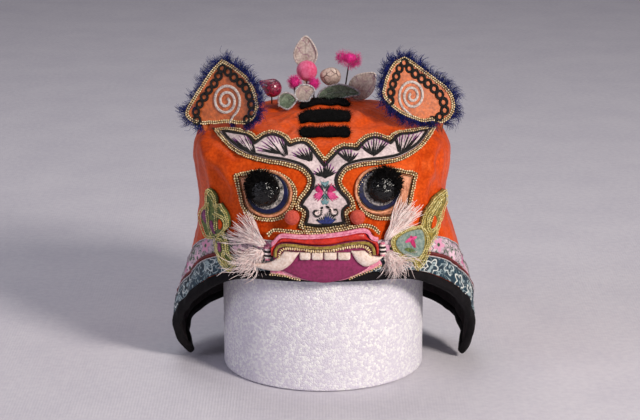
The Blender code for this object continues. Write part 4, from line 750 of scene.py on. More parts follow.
@dataclass
class Graph:
    """A shader's node tree, with short ways to add the nodes that repeat."""

    tree: bpy.types.NodeTree

    def node(self, kind: str, inputs: dict | None = None, **settings: object) -> bpy.types.bpy_prop_collection:
        """Add a shader node and give its outputs."""
        return add_node(self.tree, f"ShaderNode{kind}", inputs, **settings).outputs

    def math(self, operation: str, *values: Link | float) -> Link:
        """Add a function of values, such as a sum or a product."""
        return self.node("Math", dict(enumerate(values)), operation=operation)[0]

    def ramp(self, value: Link, low: float, high: float, top: float = 1.0) -> Link:
        """Turn values from low to high into values from 0 to top."""
        return self.node("MapRange", {"Value": value, "From Min": low, "From Max": high, "To Max": top})[0]

    def mix(self, share: Link, first: Link | str, second: Link | str) -> Link:
        """Mix two colours, each of them a socket or a hex code."""
        first, second = (linear(colour) if isinstance(colour, str) else colour for colour in (first, second))
        return self.node("Mix", {0: share, 6: first, 7: second}, data_type="RGBA")[2]

    def noise(self, place: Link, scale: float, detail: float = 2.0, bent: float = 0.0) -> Link:
        """Add smooth noise, bent into swirls where bent is more than 0."""
        return self.node("TexNoise", {"Vector": place, "Scale": scale, "Detail": detail, "Distortion": bent})[0]


@dataclass(frozen=True)
class Cloth:
    """A woven or wound finish, with threads, patches of colour and a fine relief.

    Attributes:
        name: What the real one is and how it was made.
        light: Its colour where it catches the light, a painted lit tone laid into random patches.
        dark: Its colour in the folds and where it is worn: painted shade, and wear on worn finishes, laid into
            random patches and specks rather than into the folds.
        roughness: How dull it is.
        patch: The size of its patches of colour, in millimetres.
        thread: The spacing of its threads, in millimetres.
        relief: How deep the threads are, in millimetres.
        slub: How much deeper the soft creases are than the threads.
        sheen: The light that its loose fibres catch.
        metallic: 1 for metal thread.
        coat: How much varnish lies on it.
        mapped: Whether the pattern follows the piece's own UV map, in millimetres.
        glint: How much light its face throws back.
        thrown: The colour of that light, white where the fibre is not dyed through.
    """

    name: str
    light: str
    dark: str
    roughness: float = 0.6
    patch: float = 9.0
    thread: float = 0.9
    relief: float = 0.12
    slub: float = 1.0
    sheen: float = 0.0
    metallic: float = 0.0
    coat: float = 0.0
    mapped: bool = False
    glint: float = 0.5
    thrown: str = "#FFFFFF"

    def place(self, graph: Graph) -> Link:
        """Give the shader's place in the pattern, in millimetres."""
        source = graph.node("TexCoord")["UV" if self.mapped else "Object"]
        step = 1.0 if self.mapped else 1.0 / MM
        return graph.node("Mapping", {"Vector": source, "Scale": (step, step, step)})[0]

    def tint(self, graph: Graph, place: Link) -> Link:
        """Give the colour at a place: soft patches with specks of single threads, mixing the painted lit and
        shaded tones.
        """
        specks = graph.noise(place, 1.0 / (2.2 * self.thread), 1.0)
        share = graph.math("ADD", graph.noise(place, 1.0 / self.patch, 4.0), specks)
        # Painted light and shade: the lit and shaded tones mixed in random patches.
        return graph.mix(graph.ramp(share, 0.72, 1.24), self.dark, self.light)

    def height(self, graph: Graph, place: Link) -> Link:
        """Give the height of the crossed threads and of the soft creases at a place."""
        turn = 2.0 * math.pi / (self.thread * 20.0)
        wave = [graph.node("TexWave", {"Vector": place, "Scale": turn, "Distortion": 1.2, "Detail": 1.0},
                           bands_direction=axis)[1] for axis in ("X", "Y" if self.mapped else "Z")]
        crease = graph.noise(place, 1.0 / (0.6 * self.patch), 2.0, 0.6)
        return graph.math("ADD", graph.math("ADD", *wave), graph.math("MULTIPLY", crease, 2.0 * self.slub))

    def make(self) -> Material:
        """Make the material, or give it again where it is known."""
        known = bpy.data.materials.get(self.name)
        if known:
            return known
        material = bpy.data.materials.new(self.name)
        material.use_nodes = True
        graph, shader = Graph(material.node_tree), material.node_tree.nodes["Principled BSDF"]
        place = self.place(graph)
        graph.tree.links.new(self.tint(graph, place), shader.inputs["Base Color"])
        bump = {"Height": self.height(graph, place), "Distance": self.relief * MM, "Strength": 0.9}
        graph.tree.links.new(graph.node("Bump", bump)[0], shader.inputs["Normal"])
        values = {"Roughness": self.roughness, "Metallic": self.metallic, "Sheen Weight": self.sheen,
                  "Sheen Roughness": 0.45, "Coat Weight": self.coat, "Coat Roughness": 0.12,
                  "Specular IOR Level": self.glint, "Specular Tint": linear(self.thrown)}
        for key, value in values.items():
            shader.inputs[key].default_value = value
        material.diffuse_color = linear(self.light)
        return material


@dataclass(frozen=True)
class FigureCloth(Cloth):
    """A cloth with woven flowers of five petals, drawn from the nearest flower's middle.

    Attributes:
        flower: The colours of the petals.
        leaf: The colour of the leaves or scrolls between them.
        pitch: How far apart the flowers are, in millimetres.
        outlined: Whether the petals are only outlined.
    """

    flower: tuple[str, str] = ("#FFFFFF", "#FFFFFF")
    leaf: str = "#FFFFFF"
    pitch: float = 9.0
    outlined: bool = False
    mapped: bool = True

    def tint(self, graph: Graph, place: Link) -> Link:
        """Give the colour at a place: the ground, scrolls over it, and flowers over both."""
        cell = graph.node("TexVoronoi", {"Vector": place, "Scale": 1.0 / self.pitch, "Randomness": 0.7},
                          voronoi_dimensions="2D")
        off = graph.node("VectorMath", {0: place, 1: cell["Position"]}, operation="SUBTRACT")[0]
        x, y, _ = graph.node("SeparateXYZ", {0: off})
        away = graph.node("VectorMath", {0: graph.node("CombineXYZ", {0: x, 1: y})[0]}, operation="LENGTH")[1]
        wave = graph.math("COSINE", graph.math("MULTIPLY", graph.math("ARCTAN2", y, x), 5.0))
        edge = graph.math("MULTIPLY_ADD", wave, 0.085 * self.pitch, 0.3 * self.pitch)
        depth = graph.math("SUBTRACT", edge, away)
        if self.outlined:
            petal = graph.ramp(graph.math("ABSOLUTE", depth), 0.65, 0.3)
        else:
            petal = graph.ramp(depth, 0.0, 0.4)
        scroll = graph.math("SUBTRACT", graph.noise(place, 2.1 / self.pitch, 1.0, 1.6), 0.5)
        vine = graph.ramp(graph.math("ABSOLUTE", scroll), 0.045, 0.02)
        ground = graph.mix(vine, Cloth.tint(self, graph, place), self.leaf)
        flowers = graph.mix(petal, ground, graph.mix(cell["Color"], *self.flower))
        return graph.mix(graph.ramp(away, 0.11 * self.pitch, 0.07 * self.pitch), flowers, self.leaf)


@dataclass(frozen=True)
class VeinedSilk(Cloth):
    """A stiffened petal or leaf, painted with veins that branch along its UV map.

    Attributes:
        vein: The colour of the veins.
        through: How much light comes through it.
    """

    vein: str = "#8A5A60"
    through: float = 0.35
    mapped: bool = True

    def tint(self, graph: Graph, place: Link) -> Link:
        """Give the colour at a place: the ground with a net of veins, worn off in spots."""
        cell = graph.node("TexVoronoi", {"Vector": place, "Scale": 0.2}, feature="DISTANCE_TO_EDGE",
                          voronoi_dimensions="2D")
        worn = graph.ramp(graph.noise(place, 0.16), 0.38, 0.62)
        share = graph.math("MULTIPLY", graph.ramp(cell[0], 0.12, 0.02), worn)
        return graph.mix(share, Cloth.tint(self, graph, place), self.vein)

    def make(self) -> Material:
        """Make the material, thin enough to let light through."""
        material = Cloth.make(self)
        inputs = material.node_tree.nodes["Principled BSDF"].inputs
        inputs["Subsurface Weight"].default_value = self.through
        inputs["Subsurface Radius"].default_value = (0.004, 0.003, 0.003)
        inputs["Subsurface Scale"].default_value = 1.0
        return material


@dataclass(frozen=True)
class BeadFoam(Cloth):
    """Block foam of expanded beads: small pale cells, the whitest of which are painted glints."""

    bead: float = 1.5

    def tint(self, graph: Graph, place: Link) -> Link:
        """Give the colour at a place: one tone for each bead, the whitest a painted glint, in large grey patches.
        """
        cell = graph.node("TexVoronoi", {"Vector": place, "Scale": 1.0 / self.bead})
        # The whitest beads are painted glints: the sparkle is in the colour, not the shader.
        bead_tone_and_glint = graph.mix(graph.ramp(cell["Color"], 0.4, 0.8), self.dark, self.light)
        return graph.mix(graph.ramp(graph.noise(place, 0.05, 3.0), 0.35, 0.65, 0.35), bead_tone_and_glint, self.dark)

    def height(self, graph: Graph, place: Link) -> Link:
        """Give the height of the beads at a place."""
        cell = graph.node("TexVoronoi", {"Vector": place, "Scale": 1.0 / self.bead}, feature="DISTANCE_TO_EDGE")
        return graph.ramp(cell[0], 0.0, 0.22, 2.0)


@dataclass(frozen=True)
class BlackGlass(Cloth):
    """Pressed black glass, polished, faintly wavy as hand-pressed glass is."""

    def height(self, graph: Graph, place: Link) -> Link:
        """Give the slow waves of the glass at a place."""
        return graph.noise(place, 1.0 / self.patch)


# Silk satins: long smooth floats, which catch a soft coloured light along each fold
ORANGE_SATIN = Cloth("orange_silk_satin", "#E05418", "#B83A0C", 0.4, 26.0, 0.8, 0.03, 10.0, glint=0.4,
                     thrown="#FF9A5A")
EAR_SATIN = Cloth("aged_orange_satin", "#D87036", "#9C4C22", 0.42, 10.0, 0.8, 0.05, 4.0)
WHITE_SATIN = Cloth("white_silk_satin", "#EAD6D6", "#B4A2A4", 0.42, 12.0, 0.7, 0.05, 2.4)
PEACH_SATIN = Cloth("peach_satin", "#E8A078", "#A8623E", 0.36, 4.0, 0.7, 0.08, 1.2)
NAVY_SATIN = Cloth("navy_satin", "#141B4C", "#070A24", 0.4, 6.0, 0.7, 0.05, glint=0.3)
RED_SATIN = Cloth("red_silk_satin", "#D8301E", "#A41812", 0.34, 10.0, 0.7, 0.04, 4.0)
PINK_SATIN = Cloth("pink_silk_satin", "#F8A8BE", "#D4668A", 0.3, 3.0, 0.7, 0.12, 1.4)
TOOTH_CLOTH = Cloth("cream_satin_teeth", "#F6E6DC", "#D8BCAC", 0.42, 9.0, 0.7, 0.08, 1.4)
# Plain cottons: dull, they drink the light and set off the silk
LINING_CLOTH = Cloth("dark_cotton_lining", "#2A1C20", "#0E090B", 0.9, 12.0, 0.9, 0.25)
BINDING = Cloth("black_cotton_binding", "#141014", "#060507", 0.85, 12.0, 0.9, 0.1, glint=0.2)
MAGENTA_CLOTH = Cloth("magenta_cotton", "#982460", "#7A1A4A", 0.62, 14.0, 0.8, 0.12)
# Figured silks, woven with flowers: broken light and dark spots all round the hem
BROCADE = FigureCloth("blue_figured_brocade", "#1C4456", "#0A1826", 0.5, 14.0, 0.7, 0.12, flower=("#E6E8E2",
                      "#A9BCC0"), leaf="#9DB0B4", pitch=13.0, outlined=True)
RIBBON = FigureCloth("flowered_ribbon", "#E2CFD6", "#9A7E92", 0.5, 8.0, 0.7, 0.1, flower=("#F6DCE8", "#C82484"),
                     leaf="#2F5634", pitch=11.5)
# Cords wound over a core: a fine line of light along their crown
PIPING = Cloth("dark_red_piping", "#8A2B2C", "#571418", 0.55, 5.0, 0.8, 0.2)
SILVER_PIPING = Cloth("silver_thread_piping", "#FFFDFF", "#8E8896", 0.36, 1.2, 0.5, 0.3, metallic=0.1)
BLACK_CORD = Cloth("black_silk_cord", "#15100F", "#050404", 0.6, 3.0, 0.5, 0.2)
SILVER_CORD = Cloth("couched_silver_thread", "#FFF4EC", "#B8A8A4", 0.42, 1.4, 0.5, 0.2, metallic=0.1)
# Gilt thread, metal wound on silk: pale gold loops whose near-white tone is a painted glint, on a dark tan ground
# The near-white light tones of these gilt finishes are painted glints.
GOLD_BEAD = Cloth("gilt_bead_thread", "#FFF2CC", "#CFA050", 0.36, 0.9, 0.5, 0.05, metallic=0.15)
GOLD_CORD = Cloth("couched_gilt_cord", "#FFF8B8", "#D2B858", 0.38, 1.6, 0.5, 0.15, metallic=0.1)
GILT_GROUND = Cloth("gilt_thread_filling", "#CDB45A", "#6A6630", 0.42, 1.4, 0.5, 0.3, metallic=0.1)
GOLD_BASE = Cloth("tan_braid_ground", "#8A5F34", "#2A180C", 0.7, 1.4, 0.6, 0.2)
OLIVE_BRAID = Cloth("olive_silk_braid", "#C2A850", "#7A6428", 0.45, 3.0, 0.9, 0.4)
# Cut pile, felt and loose thread: deep, soft and almost without gloss
BLUE_FRINGE = Cloth("blue_silk_fringe", "#182C8A", "#050A30", 0.55, 3.0, 0.5, 0.05, glint=0.3)
PLUSH = Cloth("black_cut_plush", "#0C090A", "#020202", 0.95, 5.0, 0.6, 0.1, glint=0.15)
RED_FELT = Cloth("red_wool_felt", "#F26A56", "#D84E3C", 0.95, 3.0, 0.7, 0.4, 2.0)
MAGENTA_YARN = Cloth("magenta_floss", "#FF2EA6", "#B80C70", 0.6, 3.0, 0.5, 0.05, sheen=0.1)
# Silvered paper, its silver rubbed off in spots, so that it glints unevenly round the eye
SILVER_LEAF = Cloth("worn_silvered_paper", "#F4ECE6", "#14101C", 0.3, 1.3, 0.8, 0.5, 2.0, metallic=0.1)
# Black glass: near black, with sharp small lights
GLASS = BlackGlass("pressed_black_glass", "#020203", "#000000", 0.08, 2.4, 0.8, 1.9, glint=0.4)
# Twisted embroidery silk: clear colours with a faint gloss on each stitch
WHITE_THREAD = Cloth("white_silk_thread", "#FFF6F2", "#F0D2CE", 0.5, 3.0, 0.5, 0.05)
PURPLE_THREAD = Cloth("purple_silk_thread", "#A04A98", "#5A2A62", 0.5, 3.0, 0.5, 0.1)
PINK_THREAD = Cloth("crimson_silk_thread", "#D81E72", "#A01050", 0.5, 3.0, 0.5, 0.1)
ROSE_THREAD = Cloth("rose_silk_thread", "#F0609E", "#D0307A", 0.5, 3.0, 0.5, 0.1)
DEEP_THREAD = Cloth("dark_green_silk_thread", "#14383C", "#08181C", 0.5, 3.0, 0.5, 0.1)
TEAL_THREAD = Cloth("pale_teal_silk_thread", "#8FB4B8", "#4A8088", 0.5, 3.0, 0.5, 0.1)
BLUE_THREAD = Cloth("blue_silk_thread", "#2C3A86", "#161E50", 0.5, 3.0, 0.5, 0.1)
GREEN_CLOTH = Cloth("green_silk_filling", "#82904A", "#2E5236", 0.5, 1.6, 0.6, 0.2)
TEAL_CLOTH = Cloth("grey_teal_filling", "#A3B3A8", "#66827C", 0.5, 2.4, 0.6, 0.2)
PURPLE_CLOTH = Cloth("purple_silk_filling", "#A84C84", "#5A2250", 0.5, 2.0, 0.6, 0.2)
# Silk wound and silk varnished: small round bodies with one bright spot each
PINK_SILK = Cloth("pink_wound_silk", "#FF80AC", "#F04078", 0.34, 9.0, 0.7, 0.3, 0.6, coat=0.25)
BERRY_SILK = Cloth("varnished_red_bud", "#A8224C", "#2A0C26", 0.2, 5.0, 0.5, 0.08, 8.0, coat=0.9)
# Stiffened silk, painted and veined: thin, matt, light comes through it
PETAL_SILK = VeinedSilk("painted_cream_petal", "#EEDCD0", "#B89C90", 0.45, 7.0, 0.7, 0.15, vein="#4A0C0A")
PALE_LEAF = VeinedSilk("painted_gauze_leaf", "#E2D4CA", "#AE9890", 0.45, 5.0, 0.7, 0.2, vein="#A07488")
GREEN_LEAF = VeinedSilk("green_painted_leaf", "#90AC90", "#3C5C48", 0.3, 5.0, 0.7, 0.2, vein="#2A4034")
# Iron wire, oxidised: a thin dark line
STEEL_WIRE = Cloth("dark_iron_wire", "#5A4A42", "#2C2422", 0.45, 4.0, 0.5, 0.1, metallic=0.8)
# Expanded foam: pale grains, the whitest of them painted as a faint sparkle
FOAM = BeadFoam("pale_expanded_foam", "#FFFFFF", "#E2DDEA", 0.6, 9.0, 1.0, 0.14)
# Paper floor: even and matt, so that the shadow stays soft
PAPER_FLOOR = Cloth("pale_paper_floor", "#D9D6DE", "#CFCCD6", 0.9, 60.0, 2.0, 0.05)
CHEEK_LEFT_FIELDS = tuple(zip((PURPLE_CLOTH, PURPLE_CLOTH, ORANGE_SATIN, PURPLE_CLOTH), CHEEK_LEFT_FIELD_ROWS))
CHEEK_RIGHT_FIELDS = tuple(zip((ORANGE_SATIN, ROSE_THREAD, PINK_THREAD, GREEN_CLOTH), CHEEK_RIGHT_FIELD_ROWS))


# ---------------------------------------------------------------- the cap's form


@dataclass
class Shell:
    """The crown's outer face: its sections, the path of its hem and its folds."""

    sections: tuple[Row, ...] = CROWN_SECTIONS
    hem_path: tuple[Row, ...] = HEM_PATH
    folds: tuple[Row, ...] = FOLDS
    waist: float = 116.0
    hem_reach: float = 92.0
    # How far upright ridges, level swells and small creases stand out
    creases: Row = (1.15, 0.8, 0.2)
    last: float = field(init=False)
    apex: float = field(init=False)

    def __post_init__(self) -> None:
        """Read the tables at fine steps."""
        self.table = np.array(self.sections, float)
        self.last = len(self.table) - 1.0
        self.apex = float(self.table[-1, 0])
        self.rows = np.linspace(0.0, self.last, 4001)
        self.heights = np.maximum.accumulate(catmull(self.table, self.rows)[:, 0])
        path = np.array(self.hem_path, float)
        self.path = catmull(path, np.linspace(0.0, len(path) - 1.0, 20 * (len(path) - 1) + 1))
        steps = np.hypot(np.diff(np.radians(self.path[:, 0])) * self.hem_reach, np.diff(self.path[:, 1]))
        run = np.concatenate([[0.0], np.cumsum(steps)])
        self.path_run = run / run[-1]

    def row_at(self, height: Array) -> Array:
        """Find the row of the table at a height."""
        return np.interp(height, self.heights, self.rows)

    def bare(self, angle: Array, row: Array) -> Array:
        """Give the face before its folds, at an angle from the front and a row of the table."""
        height, left, right, front, back, square = np.moveaxis(catmull(self.table, row), -1, 0)
        side, ahead = np.sin(angle), np.cos(angle)
        half = np.maximum(np.where(side > 0, right, left), 1e-3)
        deep = np.maximum(np.where(ahead > 0, front, back), 1e-3)
        reach = ((np.abs(side) / half) ** square + (np.abs(ahead) / deep) ** square) ** (-1.0 / square)
        return np.stack([reach * side, -reach * ahead, height], axis=-1)

    def outward(self, angle: Array, row: Array) -> Array:
        """Give the direction that points out of the face."""
        along = self.bare(angle + 0.01, row) - self.bare(angle - 0.01, row)
        high, low = np.minimum(row + 0.02, self.last), np.maximum(row - 0.02, 0.0)
        made = unit(np.cross(along, self.bare(angle, high) - self.bare(angle, low)))
        return np.where((row > self.last - 0.02)[..., None], np.array([0.0, 0.0, 1.0]), made)

    def pressed(self, points: Array, rise: Array) -> Array:
        """Add up the folds at points and their rises."""
        total = np.zeros(len(points))
        for side, x1, r1, x2, r2, half_width, height in self.folds:
            place = np.stack([points[:, 0], rise if side < 0 else points[:, 2]], axis=1)
            away = line_distance(place, *np.array([[[x1, r1]], [[x2, r2]]], float))
            fade = np.clip((points[:, 1] * side + 12.0) / 24.0, 0.0, 1.0)
            total += height * fade * np.exp(-((away / half_width) ** 2))
        return total

    def relief(self, points: Array) -> Array:
        """Give how far folds and soft wrinkles push the cloth out at points, less on the sewn face."""
        rise = points[:, 2] * math.cos(LOOK_DOWN) + points[:, 1] * math.sin(LOOK_DOWN)
        front = np.clip((-points[:, 1] - 8.0) / 20.0, 0.0, 1.0)
        under_ears = np.clip((156.0 - rise) / 8.0, 0.0, 1.0)
        free = 1.0 - 0.85 * front * under_ears * np.clip((66.0 - np.abs(points[:, 0])) / 8.0, 0.0, 1.0)
        upright = noise_at(points, (11.0, 11.0, 42.0))
        level = noise_at(points, (26.0, 26.0, 12.0), 31.0)
        soft = noise_at(points, (7.0, 7.0, 9.0), 77.0)
        ridge = 0.55 - np.abs(upright) * 2.2
        a, b, c = self.creases
        return self.pressed(points, rise) + free * (a * ridge + b * level + c * soft)

    def point(self, angle: Array, row: Array, lift: Array | float) -> Array:
        """Give the point at a lift from the folded face."""
        angle, row = np.atleast_1d(angle).astype(float), np.atleast_1d(row).astype(float)
        base = self.bare(angle, row)
        return base + self.outward(angle, row) * (np.asarray(lift) + self.relief(base))[:, None]

    def hem_at(self, share: Array, line: Array | float) -> tuple[Array, Array]:
        """Give the angle and row of a line along the hem.

        Args:
            share: How far round the hem, from 0 at the front over 0.5 at the back to 1.
            line: 0 is the hem, 1 the binding's top, 2 the brocade's top, 3 the ribbon's top.

        Returns:
            The angles and the rows of the table.
        """
        share = np.asarray(share, float) % 1.0
        half = 2.0 * np.where(share <= 0.5, share, 1.0 - share)
        side = np.where(share <= 0.5, 1.0, -1.0)
        line = np.broadcast_to(np.asarray(line, float), share.shape)
        columns = np.stack([np.interp(half, self.path_run, self.path[:, k]) for k in range(8)], axis=-1)
        first = np.minimum(line.astype(int), 2)
        t = line - first
        pick = np.take_along_axis
        a = pick(columns, (2 * first)[..., None], -1)[..., 0]
        b = pick(columns, (2 * first + 2)[..., None], -1)[..., 0]
        low = pick(columns, (2 * first + 1)[..., None], -1)[..., 0]
        high = pick(columns, (2 * first + 3)[..., None], -1)[..., 0]
        return np.radians(a + (b - a) * t) * side, self.row_at(low + (high - low) * t)

    def hem_point(self, share: Array, line: Array | float, lift: Array | float) -> Array:
        """Give a point of the cloth near the hem."""
        return self.point(*self.hem_at(share, line), lift)

    def wall(self, columns: int) -> tuple[Array, Array]:
        """Give the angle and row of the wall's grid, from its edge up to near the top."""
        share = np.arange(columns) / columns
        angles, rows = [], []
        for line in np.linspace(1.0, 3.0, 15):
            a, r = self.hem_at(share, line)
            angles.append(a)
            rows.append(r)
        top_angle, top_row = angles[-1], rows[-1]
        top = np.interp(top_row, self.rows, self.heights)
        swing = np.remainder(2.0 * math.pi * share - top_angle + math.pi, 2.0 * math.pi) - math.pi
        for t in np.linspace(0.0, 1.0, 27)[1:]:
            angles.append(top_angle + swing * t)
            rows.append(self.row_at(top + (self.waist - top) * t))
        start = float(self.row_at(np.array(self.waist)))
        for t in np.linspace(0.0, 1.0, 44)[1:]:
            angles.append(top_angle + swing)
            rows.append(np.full(columns, start + (self.last - 0.12 - start) * t))
        return np.array(angles), np.array(rows)


class FaceMap:
    """The front of the shell, read quickly at across and rise."""

    STEP = 1.25
    LOW, HIGH = (-100.0, 38.0), (100.1, 190.1)
    NEAREST, FARTHEST = -84.0, 30.0

    def __init__(self, shell: Shell) -> None:
        """Find the shell's front at a fine grid of places."""
        spans = [np.arange(low, high, self.STEP) for low, high in zip(self.LOW, self.HIGH)]
        grid = np.stack(np.meshgrid(*spans, indexing="ij"), axis=-1)
        self.shape = grid.shape[:2]
        across, rise = grid[..., 0].ravel(), grid[..., 1].ravel()
        sine, cosine = math.sin(LOOK_DOWN), math.cos(LOOK_DOWN)
        even = np.linspace(0.0, shell.apex, 1201)
        table = catmull(shell.table, shell.row_at(even))

        def within(y: Array) -> Array:
            """Say whether the places lie in the shell at a depth."""
            height = (rise - y * sine) / cosine
            left, right, front, square = (np.interp(height, even, table[:, k]) for k in (1, 2, 3, 5))
            half = np.maximum(np.where(across > 0, right, left), 1e-3)
            share = 1.0 - np.minimum(np.abs(across) / half, 1.0) ** square
            deep = front * np.maximum(share, 0.0) ** (1.0 / square)
            return (height <= shell.apex) & (share > 0) & (y > -deep)

        y = np.full(len(across), self.NEAREST)
        for _ in range(round(self.FARTHEST - self.NEAREST) + 1):
            y = np.where(within(y) | (y > self.FARTHEST), y, y + 1.0)
        low, high = y - 1.0, y.copy()
        for _ in range(14):
            middle = (low + high) / 2.0
            hit = within(middle)
            high, low = np.where(hit, middle, high), np.where(hit, low, middle)
        angle, row = np.arctan2(across, -high), shell.row_at((rise - high * sine) / cosine)
        place = shell.point(angle, row, 0.0)
        self.grid = np.concatenate([place, shell.outward(angle, row)], axis=1).reshape(*self.shape, 6)

    def read(self, flat: Array) -> Array:
        """Give the point and the outward direction at places."""
        at = (np.asarray(flat, float) - self.LOW) / self.STEP
        at = np.clip(at, 0.0, np.array(self.shape) - 1.001)
        i = at.astype(int)
        t = at - i
        u, v = t[:, :1], t[:, 1:]
        a, b = self.grid[i[:, 0], i[:, 1]], self.grid[i[:, 0] + 1, i[:, 1]]
        c, d = self.grid[i[:, 0], i[:, 1] + 1], self.grid[i[:, 0] + 1, i[:, 1] + 1]
        return (a * (1 - u) + b * u) * (1 - v) + (c * (1 - u) + d * u) * v

    def at(self, flat: Array, lift: Array | float) -> Array:
        """Give points at a lift over places."""
        found = self.read(np.atleast_2d(flat))
        return found[:, :3] + unit(found[:, 3:]) * np.broadcast_to(np.asarray(lift, float), len(found))[:, None]

    def out(self, flat: Array) -> Array:
        """Give the outward directions at places."""
        return unit(self.read(np.atleast_2d(flat))[:, 3:])

    def stand(self, across: float, rise: float, lift: float) -> tuple[Array, ...]:
        """Give a point with the directions to its right, up the face and out of it."""
        out = self.out(np.array([[across, rise]]))[0]
        right = unit(np.cross([0.0, 0.0, 1.0], out))
        return self.at(np.array([[across, rise]]), lift)[0], right, np.cross(out, right), out


Surface = Callable[[Array, Array], Array]


def divided(outline: Array, holes: Sequence[Array] = (), spacing: float = 2.0,
            rims: Sequence[float] = (0.45, 1.2)) -> tuple[Array, Array]:
    """Divide the inside of an outline into small triangles.

    Args:
        outline: The closed outline.
        holes: Outlines of holes in it.
        spacing: The size of the triangles.
        rims: How far inside the edge extra rows of points lie, for a rounded edge.

    Returns:
        The points, and the triangles as rows of point numbers.
    """
    loops = [outline, *holes]
    points, edges, start = [], [], 0
    for loop in loops:
        count = len(loop)
        points.append(loop)
        edges += [(start + k, start + (k + 1) % count) for k in range(count)]
        start += count
    low, high = outline.min(axis=0), outline.max(axis=0)
    xs, ys = np.arange(low[0], high[0], spacing), np.arange(low[1], high[1], spacing * 0.866)
    grid = np.stack(np.meshgrid(xs, ys), axis=-1)
    grid[1::2, :, 0] += spacing / 2.0
    grid = grid.reshape(-1, 2)
    keep = inside(grid, outline)
    for hole in holes:
        keep &= ~inside(grid, hole)
    grid = grid[keep]
    reach = max(rims, default=0.0)
    far = np.min([edge_distance(grid, loop) for loop in loops], axis=0) if len(grid) else np.zeros(0)
    points.append(grid[far > reach + spacing * 0.45])
    for rim in rims:
        row = np.concatenate([grow(outline, -rim), *[grow(hole, rim) for hole in holes]])
        points.append(row[np.min([edge_distance(row, loop) for loop in loops], axis=0) > rim * 0.8])
    every = np.concatenate(points)
    made, _, faces, *_ = delaunay_2d_cdt([Vector(p) for p in every], edges, [], 0, 1e-5)
    made = np.array([tuple(p) for p in made])
    faces = np.array([tuple(f) for f in faces if len(f) == 3])
    middle = made[faces].mean(axis=1)
    keep = inside(middle, outline)
    for hole in holes:
        keep &= ~inside(middle, hole)
    faces = faces[keep]
    used, again = np.unique(faces, return_inverse=True)
    return made[used], again.reshape(faces.shape)


def pad(name: str, flat: tuple[Array, Array], surface: Surface, low: float, high: float,
        material: Material, swell: float = 0.0, soft: float = 1.2, reach: float = 4.0,
        back: float = 0.0) -> Piece:
    """Make a piece of cloth with rounded edges on a surface.

    Args:
        name: The piece's name.
        flat: Its places and triangles.
        surface: Gives a point for a place and a lift.
        low: The lift of its under side.
        high: The lift of its upper side.
        material: Its finish.
        swell: How much higher its middle is.
        soft: How far in its edge is rounded.
        reach: How far in the swell is full.
        back: How far its under side swells the other way.

    Returns:
        The closed piece, with its flat places as its UV map.
    """
    places, faces = flat
    sides: dict[tuple[int, int], int] = {}
    for face in faces:
        for a, b in zip(face, np.roll(face, -1)):
            sides[(int(a), int(b))] = 1
    rim = np.array([[a, b] for a, b in sides if (b, a) not in sides])
    edge = np.zeros(len(places), bool)
    edge[rim.ravel()] = True
    away = line_distance(places, places[rim[:, 0]], places[rim[:, 1]])
    away[edge] = 0.0
    round_off = np.sqrt(1.0 - (1.0 - np.minimum(away / soft, 1.0)) ** 2)
    full = np.minimum(away / reach, 1.0)
    bulge = full * full * (3.0 - 2.0 * full)
    middle = (low + high) / 2.0 if back else low
    upper = middle + (high - middle) * round_off + swell * bulge
    lower = middle - (middle - low) * round_off - back * bulge
    order = np.cumsum(~edge) - 1 + len(places)
    under = np.where(edge, np.arange(len(places)), order)
    points = np.concatenate([surface(places, upper), surface(places[~edge], lower[~edge])])
    uv = np.concatenate([places, places[~edge]])
    a, b, c = places[faces[:, 0]], places[faces[:, 1]], places[faces[:, 2]]
    turned = (b[:, 0] - a[:, 0]) * (c[:, 1] - a[:, 1]) - (b[:, 1] - a[:, 1]) * (c[:, 0] - a[:, 0]) < 0
    faces = np.where(turned[:, None], faces[:, ::-1], faces)
    return make_mesh(name, points, [*faces, *under[faces[:, ::-1]]], material, uv)


def along(line: Array, out: Array, spacing: float, closed: bool = False, size: Row = (1.0, 1.0, 1.0)) -> Seeds:
    """Give places at even steps along a line, aimed along it.

    Args:
        line: The line's points in space.
        out: The outward direction at each point.
        spacing: How far apart the places are.
        closed: Whether the line ends where it starts.
        size: The part's size along its X, Y and Z.

    Returns:
        The places.
    """
    both = even_steps(np.concatenate([line, out], axis=1), spacing, closed)
    place = both[:, :3]
    return Seeds(place, headings(place, closed), unit(both[:, 3:]), np.tile(size, (len(place), 1)))


def strip(path: Array, width: float | Array) -> Array:
    """Turn an open line into the outline of a strip."""
    side = -right_of(headings(path)) * np.reshape(np.asarray(width) / 2.0, (-1, 1))
    return np.concatenate([path + side, (path - side)[::-1]])


